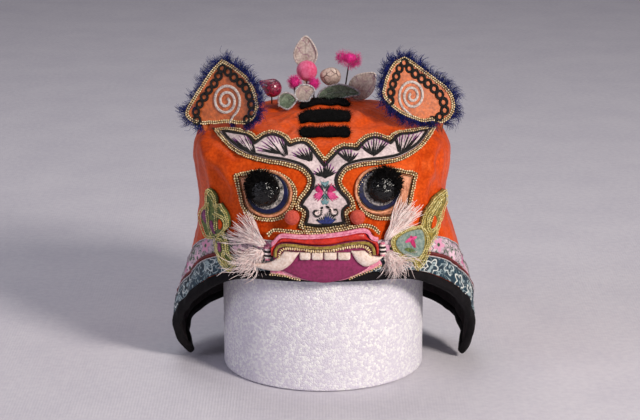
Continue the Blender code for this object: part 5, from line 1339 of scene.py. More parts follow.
class Workshop:
    """What every part of the hat is made with: the shell, the face and the repeated parts."""

    def __init__(self) -> None:
        """Set out the shell, the face and the parts."""
        self.shell = Shell()
        self.face = FaceMap(self.shell)
        self.repeat = Repeater()
        self.parts = Parts(BLACK_CORD.make())
        self.chance = np.random.default_rng(SEED)

    def cloth(self, name: str, outline: Array, low: float, high: float, finish: Cloth, swell: float = 0.0,
              spacing: float = 2.0, rims: Sequence[float] = (0.45, 1.2), **shape: float) -> Piece:
        """Lay a cut piece of cloth on the face."""
        flat = divided(outline, (), spacing, rims)
        return pad(name, flat, self.face.at, low, high, finish.make(), swell, **shape)

    def cord(self, name: str, path: Array, lift: float, radius: float, finish: Cloth, closed: bool = False,
             flat: float = 1.0, sides: int = 8) -> Piece:
        """Lay a round cord on the face along a line of across and rise."""
        line = self.face.at(path, lift + radius * flat)
        return tube(name, line, radius, finish.make(), sides, flat, self.face.out(path), closed)

    def beads(self, name: str, path: Array, lift: float, rows: Sequence[float], size: float, finish: Cloth,
              closed: bool = False, pitch: float = 1.35, long: float = 1.0) -> Piece:
        """Lay rows of thread loops on the face beside a line.

        Args:
            name: The piece's name.
            path: The line of across and rise.
            lift: How high the loops lie.
            rows: How far beside the line each row is.
            size: The size of a loop.
            finish: Its finish.
            closed: Whether the line ends where it starts.
            pitch: The spacing as a share of the size.
            long: The loop's length across the row as a share of its size.

        Returns:
            The rows as one piece.
        """
        made = []
        side = -right_of(headings(path, closed))
        for number, away in enumerate(rows):
            beside = even_steps(path + side * away, size * pitch, closed)
            if number % 2:
                between = (beside + np.roll(beside, -1, axis=0)) / 2.0
                beside = between if closed else between[:-1]
            beside = beside + self.chance.normal(0.0, 0.1, beside.shape) * size
            line, out = self.face.at(beside, lift), self.face.out(beside)
            seeds = along(line, out, size * pitch, closed, (0.62 * size, long * size, 0.96 * size))
            made.append(self.repeat.lay(f"{name}_{number}", seeds, self.parts.bead, finish.make(),
                                        SEED + number, (0.3, 0.3, 0.4), (0.72, 1.12)))
        return join(name, made) if len(made) > 1 else made[0]

    def stitches(self, name: str, ends: Array, lift: float, width: float, finish: Cloth) -> Piece:
        """Lay straight stitches on the face.

        Args:
            name: The piece's name.
            ends: For each stitch, the across and rise of its start and its end.
            lift: How high they lie.
            width: How wide they are.
            finish: Their finish.

        Returns:
            The stitches as one piece.
        """
        ends = np.asarray(ends, float)
        start, stop = self.face.at(ends[:, :2], lift), self.face.at(ends[:, 2:], lift)
        length = np.linalg.norm(stop - start, axis=1)
        scale = np.stack([np.full(len(ends), width * 0.7), np.full(len(ends), width), length], axis=1)
        seeds = Seeds(start, unit(stop - start), self.face.out(ends[:, :2]), scale)
        return self.repeat.lay(name, seeds, self.parts.stitch, finish.make(), SEED, (0.03, 0.03, 0.0),
                               (0.85, 1.1))


# ---------------------------------------------------------------- the parts of the hat


@dataclass
class FoamStand:
    """The round block of bead foam, its upper end rounded off inside the crown."""

    radius: float = 68.5
    centre_x: float = -1.0
    foot_round: float = 1.5
    segments: int = 160
    dome: tuple[Row, ...] = (
        (68.5, 132.0), (66.4, 142.0), (63.4, 148.0), (58.4, 155.0), (53.3, 160.0), (45.0, 165.0), (38.5, 168.0),
        (31.0, 171.0), (22.0, 173.4), (10.0, 175.3),
    )
    top: float = 176.6

    def build(self) -> None:
        """Turn the block and dent it a little, as foam is after handling."""
        wide, count = self.radius, self.segments
        profile = [(wide - self.foot_round, 0.0), (wide - 0.4, 0.5), (wide, self.foot_round)]
        profile += [(wide, h) for h in np.arange(5.0, 131.0, 4.0)] + list(self.dome)
        spin = turns_of(count)
        rings = [np.stack([radius * np.cos(spin), radius * np.sin(spin), np.full(count, height)], axis=1)
                 for radius, height in profile]
        points = np.concatenate(rings)
        dent = 0.25 * noise_at(points, (9.0, 9.0, 9.0), 3.0) + 0.12 * noise_at(points, (3.0, 3.0, 3.0), 9.0)
        out = unit(points * [1.0, 1.0, 0.0])
        body = (points[:, 2] > 1.0) & (points[:, 2] < 150.0)
        points = points + out * np.where(body, dent - 0.3, 0.0)[:, None]
        points[:, 0] += self.centre_x
        count = len(points)
        points = np.concatenate([points, [[self.centre_x, 0.0, 0.0], [self.centre_x, 0.0, self.top]]])
        faces = round_faces(len(profile), self.segments, count, count + 1)
        finished(make_mesh("bead_foam_block", points, faces, FOAM.make()), "foam", "foam_block")


@dataclass
class Cap:
    """The padded satin crown with its lining, its two bands, their piping and the black binding."""

    columns: int = 288
    lining_columns: int = 112
    binding_columns: int = 300
    band_columns: int = 420
    cord_columns: int = 360
    wall: float = 1.8
    lining_top: float = -2.4
    lining_wall: float = 1.0
    hem_length: float = 560.0
    ribbon_width: float = 11.0
    piping: float = 0.9
    # Lines of the hem, as Shell.hem_at numbers them, and the radius of each silver cord
    brocade: Row = (1.02, 1.96)
    silver_line: float = 1.93
    ribbon_line: float = 2.985
    silver: float = 0.42
    ribbon_silver: float = 0.4
    # A band's lift at even steps across it
    arch: Row = (0.75, 1.0, 1.1, 1.12, 1.12, 1.12, 1.1, 1.0, 0.75)
    binding: tuple[Row, ...] = (
        (0.94, 1.15), (0.72, 1.45), (0.5, 1.5), (0.28, 1.35), (0.12, 1), (0.02, 0.3), (0, -1.1), (0.02, -2.4),
        (0.14, -3.4), (0.5, -3.8), (0.94, -3.6), (0.97, -1.2),
    )

    def skins(self, shop: Workshop, name: str, outer: float, inner: float, columns: int,
              material: Material) -> Piece:
        """Make a wall over the whole cap between two lifts, open below."""
        angles, rows = shop.shell.wall(columns)
        count = angles.shape[0]
        points, faces = [], []
        for lift in (outer, inner):
            points += [shop.shell.point(angles.ravel(), rows.ravel(), lift),
                       shop.shell.point(np.zeros(1), np.array([shop.shell.last]), lift)]
        block = count * columns + 1
        for skin in (0, 1):
            first = skin * block
            faces += grid_faces(count, columns, True, first, bool(skin))
            top = first + (count - 1) * columns
            for c in range(columns):
                cap = (top + c, top + (c + 1) % columns, first + block - 1)
                faces.append(cap[::-1] if skin else cap)
        faces += [(c, block + c, block + (c + 1) % columns, (c + 1) % columns) for c in range(columns)]
        return make_mesh(name, np.concatenate(points), faces, material)

    def loop(self, shop: Workshop, name: str, profile: Sequence[Row], material: Material,
             columns: int) -> Piece:
        """Sweep a closed profile of line and lift all round the hem."""
        share = np.arange(columns + 1) / columns
        size = len(profile)
        points = np.empty((columns + 1, size, 3))
        uv = np.empty((columns + 1, size, 2))
        for k, (line, lift) in enumerate(profile):
            points[:, k] = shop.shell.hem_point(share, line, lift)
            uv[:, k, 0], uv[:, k, 1] = share * self.hem_length, line * self.ribbon_width
        faces = grid_faces(columns + 1, size, True, flip=True)
        return make_mesh(name, points.reshape(-1, 3), faces, material, uv.reshape(-1, 2))

    def band(self, shop: Workshop, name: str, first: float, last: float, finish: Cloth) -> Piece:
        """Lay a woven band between two lines of the hem."""
        lines = np.linspace(first, last, len(self.arch))
        profile = [*zip(lines, self.arch), (last, 0.3), (first, 0.3)]
        return self.loop(shop, name, profile[::-1], finish.make(), self.band_columns)

    def edging(self, shop: Workshop, name: str, line: float, lift: float, radius: float,
               finish: Cloth) -> Piece:
        """Lay a round cord all round the hem."""
        share = np.arange(self.cord_columns) / self.cord_columns
        centre, near = shop.shell.hem_point(share, line, lift + radius), shop.shell.hem_point(share, line, lift)
        return tube(name, centre, radius, finish.make(), 8, 1.0, unit(centre - near), True)

    def build(self, shop: Workshop) -> None:
        """Build the cap from its crown to the cords along its bands."""
        crown = self.skins(shop, "satin_crown", 0.0, -self.wall, self.columns, ORANGE_SATIN.make())
        finished(crown, "orange_satin", "crown")
        lining = self.skins(shop, "cotton_lining", self.lining_top, self.lining_top - self.lining_wall,
                            self.lining_columns, LINING_CLOTH.make())
        finished(lining, "dark_lining", "lining")
        binding = self.loop(shop, "cotton_binding", self.binding[::-1], BINDING.make(), self.binding_columns)
        finished(binding, "black_binding", "hem_binding")
        finished(self.band(shop, "figured_brocade", *self.brocade, BROCADE), "blue_brocade", "brocade_band")
        start = 2.0 + 2.0 * self.piping / self.ribbon_width
        finished(self.band(shop, "flowered_ribbon", start, 3.0, RIBBON), "flower_ribbon", "flower_band")
        finished(self.edging(shop, "red_cord", (2.0 + start) / 2.0, 0.1, self.piping, PIPING), "red_piping",
                 "band_piping")
        for name, line, lift, radius in (("silver_edge", self.silver_line, 1.0, self.silver),
                                         ("ribbon_edge", self.ribbon_line, 0.9, self.ribbon_silver)):
            finished(self.edging(shop, name, line, lift, radius, SILVER_PIPING), "gold_braid")


@dataclass
class Pile:
    """Loose fibres: plush, lashes, fringe, floss and whiskers."""

    shop: Workshop

    def scatter(self, outline: Array, gap: float) -> Array:
        """Give uneven places inside an outline, about a gap apart."""
        low, high = outline.min(axis=0), outline.max(axis=0)
        grid = np.stack(np.meshgrid(np.arange(low[0], high[0], gap), np.arange(low[1], high[1], gap)), axis=-1)
        spots = grid.reshape(-1, 2) + self.shop.chance.uniform(-0.5, 0.5, (grid.size // 2, 2)) * gap
        return spots[inside(spots, outline)]

    def plush(self, name: str, outline: Array, lift: float, length: float, gap: float,
              finish: Cloth) -> Piece:
        """Stand short fibres on a piece of the face."""
        spots = self.scatter(outline, gap)
        root, out = self.shop.face.at(spots, lift), self.shop.face.out(spots)
        lean = self.shop.chance.normal(0.0, 0.45, (len(spots), 3)) + [0.0, 0.0, -0.25]
        scale = np.tile(length, (len(spots), 3)) * self.shop.chance.uniform(0.6, 1.15, (len(spots), 1))
        seeds = Seeds(root, unit(out + lean), unit(lean), scale)
        return self.shop.repeat.lay(name, seeds, self.shop.parts.tuft, finish.make(), SEED, (0.2, 0.2, 3.0))

    def brush(self, name: str, roots: Array, aims: Array, lies: Array, lengths: Array,
              part: Piece, finish: Cloth, jitter: Row = (0.15, 0.15, 3.1)) -> Piece:
        """Lay one fibre at each root."""
        scale = np.repeat(np.reshape(lengths, (-1, 1)), 3, axis=1)
        seeds = Seeds(roots, unit(aims), unit(lies), scale)
        return self.shop.repeat.lay(name, seeds, part, finish.make(), SEED, jitter, (0.85, 1.12))

    def floss(self, name: str, centre: Array, radius: float, count: int, length: float,
              finish: Cloth, squash: Row = (1.0, 1.0, 1.0), clumps: int = 0) -> Piece:
        """Make a ball of cut floss: fibres that stand out from a middle, in clumps where it has any."""
        chance = self.shop.chance
        rays = unit(chance.normal(0.0, 1.0, (count, 3)))
        middle = np.tile(centre, (count, 1))
        reach = np.full(count, radius - length)
        if clumps:
            spots = unit(chance.normal(0.0, 1.0, (clumps, 3))) * radius * 0.55
            pick = chance.integers(0, clumps, count)
            middle = centre + spots[pick] * squash
            reach = np.full(count, radius * 0.16)
        roots = middle + rays * np.maximum(reach, 0.3)[:, None] * squash
        lengths = length * chance.uniform(0.6, 1.0, count)
        return self.brush(name, roots, rays, np.roll(rays, 1, axis=1), lengths, self.shop.parts.bent, finish)


@dataclass
class Forehead:
    """Three bowed stripes of black plush over the brow."""

    stripes: tuple[Row, ...] = ((17.0, 173.6, 2.6, 1.6), (17.2, 163.6, 3.9, 0.8), (16.6, 152.4, 3.5, 0.4))
    low: float = 0.5
    high: float = 1.6
    root: float = 0.4
    pile_length: float = 1.9
    pile_gap: float = 0.62
    rim_gap: float = 0.3

    def outline(self, half_length: float, rise: float, half_width: float, bow: float) -> Array:
        """Give the outline of one stripe, rounded at its ends and a little uneven."""
        t = np.linspace(-1.0, 1.0, 31)
        middle = rise + bow * (1.0 - t * t) - bow * 0.6
        reach = np.maximum(half_width * np.sqrt(np.maximum(1.0 - np.abs(t) ** 14, 0.0)), 0.35)
        reach = reach * (1.0 + 0.05 * np.sin(9.0 * t))
        upper, lower = (np.stack([half_length * t, middle + side * reach], axis=1) for side in (1.0, -1.0))
        return np.concatenate([upper, lower[::-1]])

    def build(self, shop: Workshop) -> None:
        """Build every stripe as a ground cloth with its pile."""
        pile = Pile(shop)
        for number, row in enumerate(self.stripes, start=1):
            outline = self.outline(*row)
            ground = shop.cloth(f"plush_ground_{number}", outline, self.low, self.high, PLUSH, spacing=1.6)
            hair = pile.plush(f"plush_pile_{number}", grow(outline, 0.2), self.high - self.root, self.pile_length,
                              self.pile_gap, PLUSH)
            line = even_steps(outline, self.rim_gap, True)
            away = right_of(headings(line, True)) * turn_of(line)
            start = shop.face.at(line - away * 0.3, self.high - self.root)
            lean = shop.face.at(line + away + shop.chance.normal(0.0, 0.5, line.shape), self.high + 0.2) - start
            lengths = shop.chance.uniform(0.7, 2.8, len(line))
            rim = pile.brush(f"plush_rim_{number}", start, lean, shop.face.out(line), lengths, shop.parts.tuft,
                             PLUSH)
            stripe = join(f"plush_stripe_{number}", [ground, hair, rim])
            finished(stripe, "black_plush", f"forehead_stripe_{number}")


@dataclass
class Brow:
    """White satin brows and nose with black and gilt edges, and the flowers embroidered on them."""

    outline: tuple[Row, ...] = BROW_NOSE_OUTLINE
    low: float = 0.5
    high: float = 1.6
    cord: float = 0.95
    braid_gap: float = 0.3
    braid_width: float = 2.4
    # Columns: foot across and rise, the first, middle and last tips, and how many stitches
    fans: tuple[Row, ...] = (
        (-46.6, 137.8, -60.0, 147.6, -53.6, 149.8, -47.0, 146.0, 9),
        (-27.0, 136.8, -42.8, 139.6, -37.0, 148.4, -26.6, 147.6, 11),
        (-10.4, 133.2, -20.8, 136.6, -15.6, 140.6, -8.6, 140.6, 8),
        (15.2, 133.0, 7.2, 138.6, 13.4, 140.8, 21.0, 137.6, 8),
        (31.0, 137.0, 22.4, 142.4, 31.6, 147.8, 40.4, 144.0, 11),
        (49.0, 139.0, 45.0, 147.4, 52.4, 150.4, 61.2, 149.8, 9),
        (0.0, 123.0, -7.4, 125.4, 0.4, 132.0, 7.4, 126.2, 11),
    )
    foot_fan: Row = (0.6, 93.6, -5.8, 96.4, 0.8, 99.8, 7.0, 96.8, 12)
    # The flower's dark stitches on one side: the start and the end of each
    cross: tuple[Row, ...] = (
        (-3.0, 109.4, 0.0, 113.6), (0.0, 113.4, 3.6, 118.2), (2.8, 118.6, 0.6, 114.6), (1.6, 118.8, 0.0, 115.8),
        (1.6, 109.0, 0.0, 112.0), (4.4, 118.4, 8.4, 114.6),
    )

    def fan(self, shop: Workshop, number: int, row: Row, near: Cloth, far: Cloth) -> list[Piece]:
        """Stitch a fan of separate rays, dark from its foot and coloured at its tips."""
        foot, table = np.array(row[:2]), np.array([row[2:4], row[4:6], row[6:8]])
        tips = catmull(table, np.linspace(0.0, 2.0, int(row[8])))
        base = foot + (tips - tips.mean(axis=0)) * 0.34
        base[:, 1] = foot[1] + 0.25 * np.abs(base[:, 0] - foot[0])
        tips = base + (tips - base) * shop.chance.uniform(0.84, 1.14, (len(tips), 1))
        ray, made = tips - base, []
        rows = ((0, -0.1, 0.86, 0.6, near, 1.25), (1, 0.55, 1.14, 0.45, far, 0.85))
        for share, start, stop, lift, finish, width in rows:
            ends = np.concatenate([base + ray * start, base + ray * stop], axis=1)
            made.append(shop.stitches(f"fan_{number}_{share}", ends, self.high + lift, width, finish))
        return made

    def flower(self, shop: Workshop) -> list[Piece]:
        """Stitch the flower on the nose: four pink petals, teal leaves and a dark cross."""
        petals = ((1.4, 114.4, 7.4, 116.4, 2.7, PINK_THREAD), (1.4, 112.8, 8.2, 110.8, 2.7, ROSE_THREAD))
        made = []
        for number, (x, rise, far, high, half, finish) in enumerate(petals):
            rows = []
            for side in (-1.0, 1.0):
                for t in np.linspace(-1.0, 1.0, 9):
                    bow = math.sqrt(1.0 - 0.75 * t * t)
                    rows.append((side * x, rise + 0.6 * t, side * (x + (far - x) * bow), high + half * t))
            made.append(shop.stitches(f"petal_{number}", np.array(rows), self.high + 0.5, 1.0, finish))
        light, dark = [], []
        for t in np.linspace(-1.0, 1.0, 7):
            light.append((0.9 * t, 106.4 - 0.6 * abs(t), 2.4 * t, 110.0 - 1.4 * abs(t)))
            light.append((0.9 * t, 116.8, 2.6 * t, 120.0 + 0.9 * abs(t)))
            light.append((0.5 * t, 109.6, 1.7 * t, 112.6 - 0.8 * abs(t)))
        for side in (-1.0, 1.0):
            dark += [(side * x1, rise1, side * x2, rise2) for x1, rise1, x2, rise2 in self.cross]
        made.append(shop.stitches("flower_teal", np.array(light), self.high + 0.6, 0.8, TEAL_THREAD))
        made.append(shop.stitches("flower_cross", np.array(dark), self.high + 0.9, 0.7, DEEP_THREAD))
        return made

    def scrolls(self, shop: Workshop) -> list[Piece]:
        """Stitch the two curls under the flower in white, with dashed black edges."""
        black, white = [], []
        for x, rise, side, lead in ((-5.2, 101.0, -1.0, (-1.6, 104.8)), (6.2, 101.6, 1.0, (0.6, 105.2))):
            turn = np.linspace(-0.35 * math.pi, 1.55 * math.pi, 17)
            reach = 3.3 - 0.36 * (turn - turn[0])
            path = np.stack([x - side * reach * np.cos(turn + 0.5), rise - reach * np.sin(turn + 0.5)], axis=1)
            path = np.concatenate([[lead], path])
            black += [(*a, *(a + (b - a) * 0.8)) for a, b in zip(path, path[1:])]
            inner = np.array([x, rise]) + (path - [x, rise]) * 0.6
            white += [(*a, *b) for a, b in zip(inner, inner[1:])]
        return [shop.stitches("scroll_white", np.array(white), self.high + 0.4, 1.5, WHITE_THREAD),
                shop.stitches("scroll_black", np.array(black), self.high + 0.8, 1.6, BLACK_CORD)]

    def build(self, shop: Workshop) -> None:
        """Build the satin, its edges and its embroidery."""
        outline = smooth_outline(self.outline, 1.7)
        satin = shop.cloth("brow_satin", outline, self.low, self.high, WHITE_SATIN, 0.35, spacing=2.0, soft=0.9)
        edge = shop.cord("brow_cord", even_steps(grow(outline, -1.15), 1.1, True), self.high - 0.35, self.cord,
                         BLACK_CORD, True, 0.75)
        made = [satin, edge, *self.flower(shop), *self.scrolls(shop)]
        for number, row in enumerate(self.fans):
            made += self.fan(shop, number, row, BLACK_CORD, PURPLE_THREAD)
        made += self.fan(shop, 9, self.foot_fan, BLUE_THREAD, DEEP_THREAD)
        finished(join("brow_and_nose", made), "white_satin", "brow_nose")
        braid(shop, "brow_gilt_braid", outline, self.braid_gap, self.braid_width, self.low, "brow_braid")


# Gilt braid: where its two rows of loops lie, and the size of a loop
BRAID_ROWS = (-0.72, 0.72)
BRAID_LOOP = 1.4


def braid(shop: Workshop, name: str, outline: Array, gap: float, width: float, low: float,
          *nodes: str) -> Piece:
    """Lay gilt braid round an outline: a tan ground with two rows of gilt loops.

    Args:
        shop: What it is made with.
        name: The piece's name.
        outline: The closed outline that it runs round.
        gap: How far from the outline it starts.
        width: Its width.
        low: The lift of its under side.
        nodes: The CAD nodes that it stands for.

    Returns:
        The braid.
    """
    inner, outer = grow(outline, gap), grow(outline, gap + width)
    flat = divided(outer, (inner,), 1.6, (0.35,))
    ground = pad(f"{name}_ground", flat, shop.face.at, low, low + 0.9, GOLD_BASE.make(), soft=0.5)
    middle = even_steps(grow(outline, gap + width / 2.0), 0.8, True)
    rows = shop.beads(f"{name}_loops", middle, low + 1.05, BRAID_ROWS, BRAID_LOOP, GOLD_BEAD, True, 1.2, 1.0)
    return finished(join(name, [ground, rows]), "gold_braid", *nodes)


@dataclass
class Eye:
    """One eye: rings of cloth, a glass eyeball set off their middle, and black lashes."""

    side: str
    centre: tuple[float, float]
    shift: float = 0.0
    radius: float = 10.4
    height: float = 7.6
    low: float = 0.5
    outline: tuple[Row, ...] = EYE_OUTLINE
    braid_gap: float = 0.3
    braid_width: float = 2.4
    # How high over its panel the glass is seated, how far it sinks in, and the angle it starts at
    seat: float = 1.6
    sunk: float = 1.6
    first_turn: float = -14.0
    # How far beside upright the lashes are thickest, in radians
    lash_side: float = 0.62
    # Columns: how far towards the nose, how far down, half the width and half the height
    navy: Row = (2.2, 2.2, 13.3, 12.9)
    silver: Row = (1.5, 0.9, 10.9, 11.2)
    roll: Row = (2.4, 2.4, 14.4, 14.0)
    lash_count: int = 950
    lash_length: Row = (2.6, 6.0)

    @property
    def nose(self) -> float:
        """Give the direction of the nose along X."""
        return 1.0 if self.side == "left" else -1.0

    def rows(self) -> Sequence[Row]:
        """Give the panel's outline on this side."""
        if self.side == "left":
            return self.outline
        return [(self.shift - x, rise + self.shift / 2.0, *corner) for x, rise, *corner in self.outline[::-1]]

    def disc(self, near: float, drop: float, half_width: float, half_height: float, count: int = 56) -> Array:
        """Give the outline of a round piece of cloth, moved towards the nose and down."""
        across, rise = self.centre[0] + near * self.nose, self.centre[1] - drop
        turn = turns_of(count)
        return np.stack([across + half_width * np.cos(turn), rise + half_height * np.sin(turn)], axis=1)

    def panel(self, shop: Workshop) -> None:
        """Lay the cloth rings: peach, a brown line, a peach roll, navy and worn silver."""
        outline, low = smooth_outline(self.rows(), 1.6), self.low
        navy, silver, roll = (self.disc(*size) for size in (self.navy, self.silver, self.roll))
        line = even_steps(grow(outline, -0.8), 1.0, True)
        made = [
            shop.cloth("peach_ring", outline, low, low + 0.9, PEACH_SATIN, spacing=1.8, soft=0.7),
            shop.cord("brown_line", line, low + 0.6, 0.3, GOLD_BASE, True),
            shop.cord("peach_roll", roll, low + 0.7, 0.85, PEACH_SATIN, True, 0.6),
            shop.cloth("navy_ring", navy, low + 0.8, low + 1.4, NAVY_SATIN, spacing=1.8, soft=0.5),
            shop.cloth("silver_ring", silver, low + 1.3, low + 1.8, SILVER_LEAF, spacing=1.5, soft=0.5),
            shop.cord("inner_line", navy, low + 0.9, 0.3, GOLD_BASE, True),
        ]
        finished(join(f"eye_rings_{self.side}", made), "eye_cloth", f"eye_panel_{self.side}")
        braid(shop, f"eye_gilt_braid_{self.side}", outline, self.braid_gap, self.braid_width, low,
              f"eye_braid_{self.side}")

    def ball(self, shop: Workshop) -> None:
        """Seat the glass eyeball."""
        seat, right, up, out = shop.face.stand(*self.centre, self.low + self.seat)
        rings, segments = 18, 48
        spin = turns_of(segments)
        ring = right * np.cos(spin)[:, None] + up * np.sin(spin)[:, None]
        points = []
        for turn in np.radians(self.first_turn + (90.0 - self.first_turn) * np.arange(rings) / rings):
            points.append(seat + ring * self.radius * math.cos(turn) + out * self.height * math.sin(turn))
        points = np.concatenate([*points, [seat + out * self.height, seat - out * self.sunk]])
        faces = round_faces(rings, segments, len(points) - 1, len(points) - 2)
        finished(make_mesh(f"glass_eyeball_{self.side}", points, faces, GLASS.make()), "black_glass",
                 f"eyeball_{self.side}")

    def lashes(self, shop: Workshop, pile: Pile) -> None:
        """Set the lashes round the eyeball, thickest above it and on the outer side."""
        seat, right, up, out = shop.face.stand(*self.centre, self.low + self.seat)
        chance, count = shop.chance, self.lash_count
        middle = math.pi / 2.0 + self.nose * self.lash_side
        spin = middle + chance.normal(0.0, 1.3, count)
        ray = right * np.cos(spin)[:, None] + up * np.sin(spin)[:, None]
        deep = chance.uniform(0.0, 1.0, count) ** 1.4
        near = self.radius * (1.02 - 0.42 * deep)
        high = self.height * np.sqrt(1.0 - np.minimum(near / self.radius, 0.99) ** 2)
        roots = seat + ray * near[:, None] + out * (high - 0.2 + chance.uniform(0.0, 0.8, count))[:, None]
        swirl = chance.normal(0.0, 0.7, (count, 1)) * np.cross(out, ray)
        aims = ray + swirl + out * chance.uniform(-0.3, 0.35, (count, 1))
        share = np.clip(1.15 - 0.42 * np.abs(spin - middle), 0.35, 1.0)
        lengths = chance.uniform(*self.lash_length, count) * share
        hair = pile.brush(f"lash_hair_{self.side}", roots, aims, np.tile(out, (count, 1)), lengths,
                          shop.parts.tuft, PLUSH)
        finished(hair, "black_lash", f"eye_lashes_{self.side}")

    def build(self, shop: Workshop) -> None:
        """Build the eye."""
        self.panel(shop)
        self.ball(shop)
        self.lashes(shop, Pile(shop))


@dataclass
class CheekBall:
    """A red felt ball beside the nose."""

    side: str
    across: float
    rise: float
    seat: float
    radius: float = 4.6
    hairs: int = 420
    hair_length: float = 0.9

    def build(self, shop: Workshop) -> None:
        """Build the ball with the short hairs of its felt."""
        centre = shop.face.stand(self.across, self.rise, self.seat + self.radius)[0]
        rays, faces = ball_of(14, 24)
        points = centre + rays * (self.radius + 0.2)
        points += rays * (0.16 * noise_at(points, (1.6, 1.6, 1.6), 5.0))[:, None]
        body = make_mesh("felt_body", points, faces, RED_FELT.make())
        fuzz = Pile(shop).floss("felt_fuzz", centre, self.radius + 0.35, self.hairs, self.hair_length, RED_FELT)
        finished(join(f"felt_ball_{self.side}", [body, fuzz]), "red_felt", f"cheek_ball_{self.side}")


@dataclass
class Mouth:
    """The mouth: lower lip, panel, teeth, tusks, padded upper lip and its bands."""

    lip_low: float = 2.0
    panel_low: float = 3.4
    front_low: float = 4.8
    tooth_edges: Row = (-16.2, -8.7, -0.9, 7.7, 16.2)
    tooth_top: float = 76.4
    tooth_foot: float = 71.5
    tooth_gap: float = 0.6

    def lower_lip(self, shop: Workshop) -> None:
        """Lay the pink lower lip with its row of gilt loops."""
        path = smooth_path(LOWER_LIP_PATH, 1.2)
        pink = shop.cloth("lower_roll", strip(path, 4.0), self.lip_low, self.lip_low + 1.0, PINK_SATIN, 0.4,
                          spacing=1.5, soft=0.8)
        under = path + [0.0, -2.3]
        gilt = [shop.beads(f"lower_gilt_{n}", side, self.lip_low + 0.9, (0.0, 1.0), 1.25, GOLD_BEAD)
                for n, side in enumerate((under[under[:, 0] < -15.0], under[under[:, 0] > 15.0]))]
        finished(join("pink_lower_lip", [pink, *gilt]), "pink_satin", "lower_lip")

    def teeth(self, shop: Workshop) -> None:
        """Lay the teeth and the two tusks."""
        low, high, top, foot = self.front_low - 0.3, self.front_low + 1.2, self.tooth_top, self.tooth_foot
        for number, (left, right) in enumerate(zip(self.tooth_edges, self.tooth_edges[1:]), start=1):
            start, stop = left + self.tooth_gap / 2.0, right - self.tooth_gap / 2.0
            rows = ((start, top, 1), (stop, top, 1), (stop - 0.2, foot + 0.4), ((start + stop) / 2.0, foot),
                    (start + 0.2, foot + 0.4))
            tooth = shop.cloth(f"satin_tooth_{number}", smooth_outline(rows, 0.8), low, high, TOOTH_CLOTH, 0.3,
                               spacing=1.3, soft=0.8, reach=2.0)
            finished(tooth, "tooth_cloth", f"tooth_{number}")
        for side, rows in (("left", TUSK_LEFT_OUTLINE), ("right", TUSK_RIGHT_OUTLINE)):
            body = shop.cloth(f"tusk_body_{side}", smooth_outline(rows, 1.1), low, high, TOOTH_CLOTH, 1.2,
                              spacing=1.5, soft=1.0, reach=3.6)
            finished(body, "tooth_cloth", f"tusk_{side}")

    def build(self, shop: Workshop) -> None:
        """Build the mouth from its back to its front."""
        self.lower_lip(shop)
        panel = shop.cloth("magenta_panel", smooth_outline(MOUTH_OUTLINE, 1.8), self.panel_low,
                           self.panel_low + 1.0, MAGENTA_CLOTH, spacing=2.2)
        finished(panel, "magenta_cloth", "mouth_panel")
        self.teeth(shop)
        low = self.front_low
        lip = shop.cloth("padded_upper_lip", smooth_outline(UPPER_LIP_OUTLINE, 1.2), low, low + 1.5, RED_SATIN,
                         1.2, spacing=1.4, soft=1.1, reach=3.0)
        finished(lip, "red_satin", "upper_lip")
        band, piping, top = (smooth_path(path, 1.0) for path in (LIP_BAND_PATH, LIP_PIPING_PATH, LIP_BRAID_PATH))
        olive = shop.cord("olive_roll", band, low + 0.8, 1.05, OLIVE_BRAID)
        inner = band * [0.94, 1.0] - [0.0, 2.1]
        gilt = shop.beads("olive_gilt", inner, low + 1.2, (0.0,), 1.3, GOLD_BEAD, pitch=1.15, long=2.3)
        finished(join("olive_lip_band", [olive, gilt]), "olive_braid", "lip_band")
        roll = shop.cord("pink_lip_roll", piping, low + 0.2, 1.15, PINK_SATIN)
        second = shop.cord("pink_lip_line", piping + [0.0, -1.3], low + 1.2, 0.6, PINK_SATIN)
        finished(join("pink_lip_piping", [roll, second]), "pink_satin", "lip_piping")
        ground = shop.cloth("lip_braid_ground", strip(top, 2.2), low, low + 0.8, GOLD_BASE, spacing=1.4,
                            rims=(0.35,), soft=0.5)
        loops = shop.beads("lip_braid_loops", top, low + 0.95, BRAID_ROWS, BRAID_LOOP, GOLD_BEAD, pitch=1.2)
        finished(join("lip_gilt_braid", [ground, loops]), "gold_braid", "lip_braid")


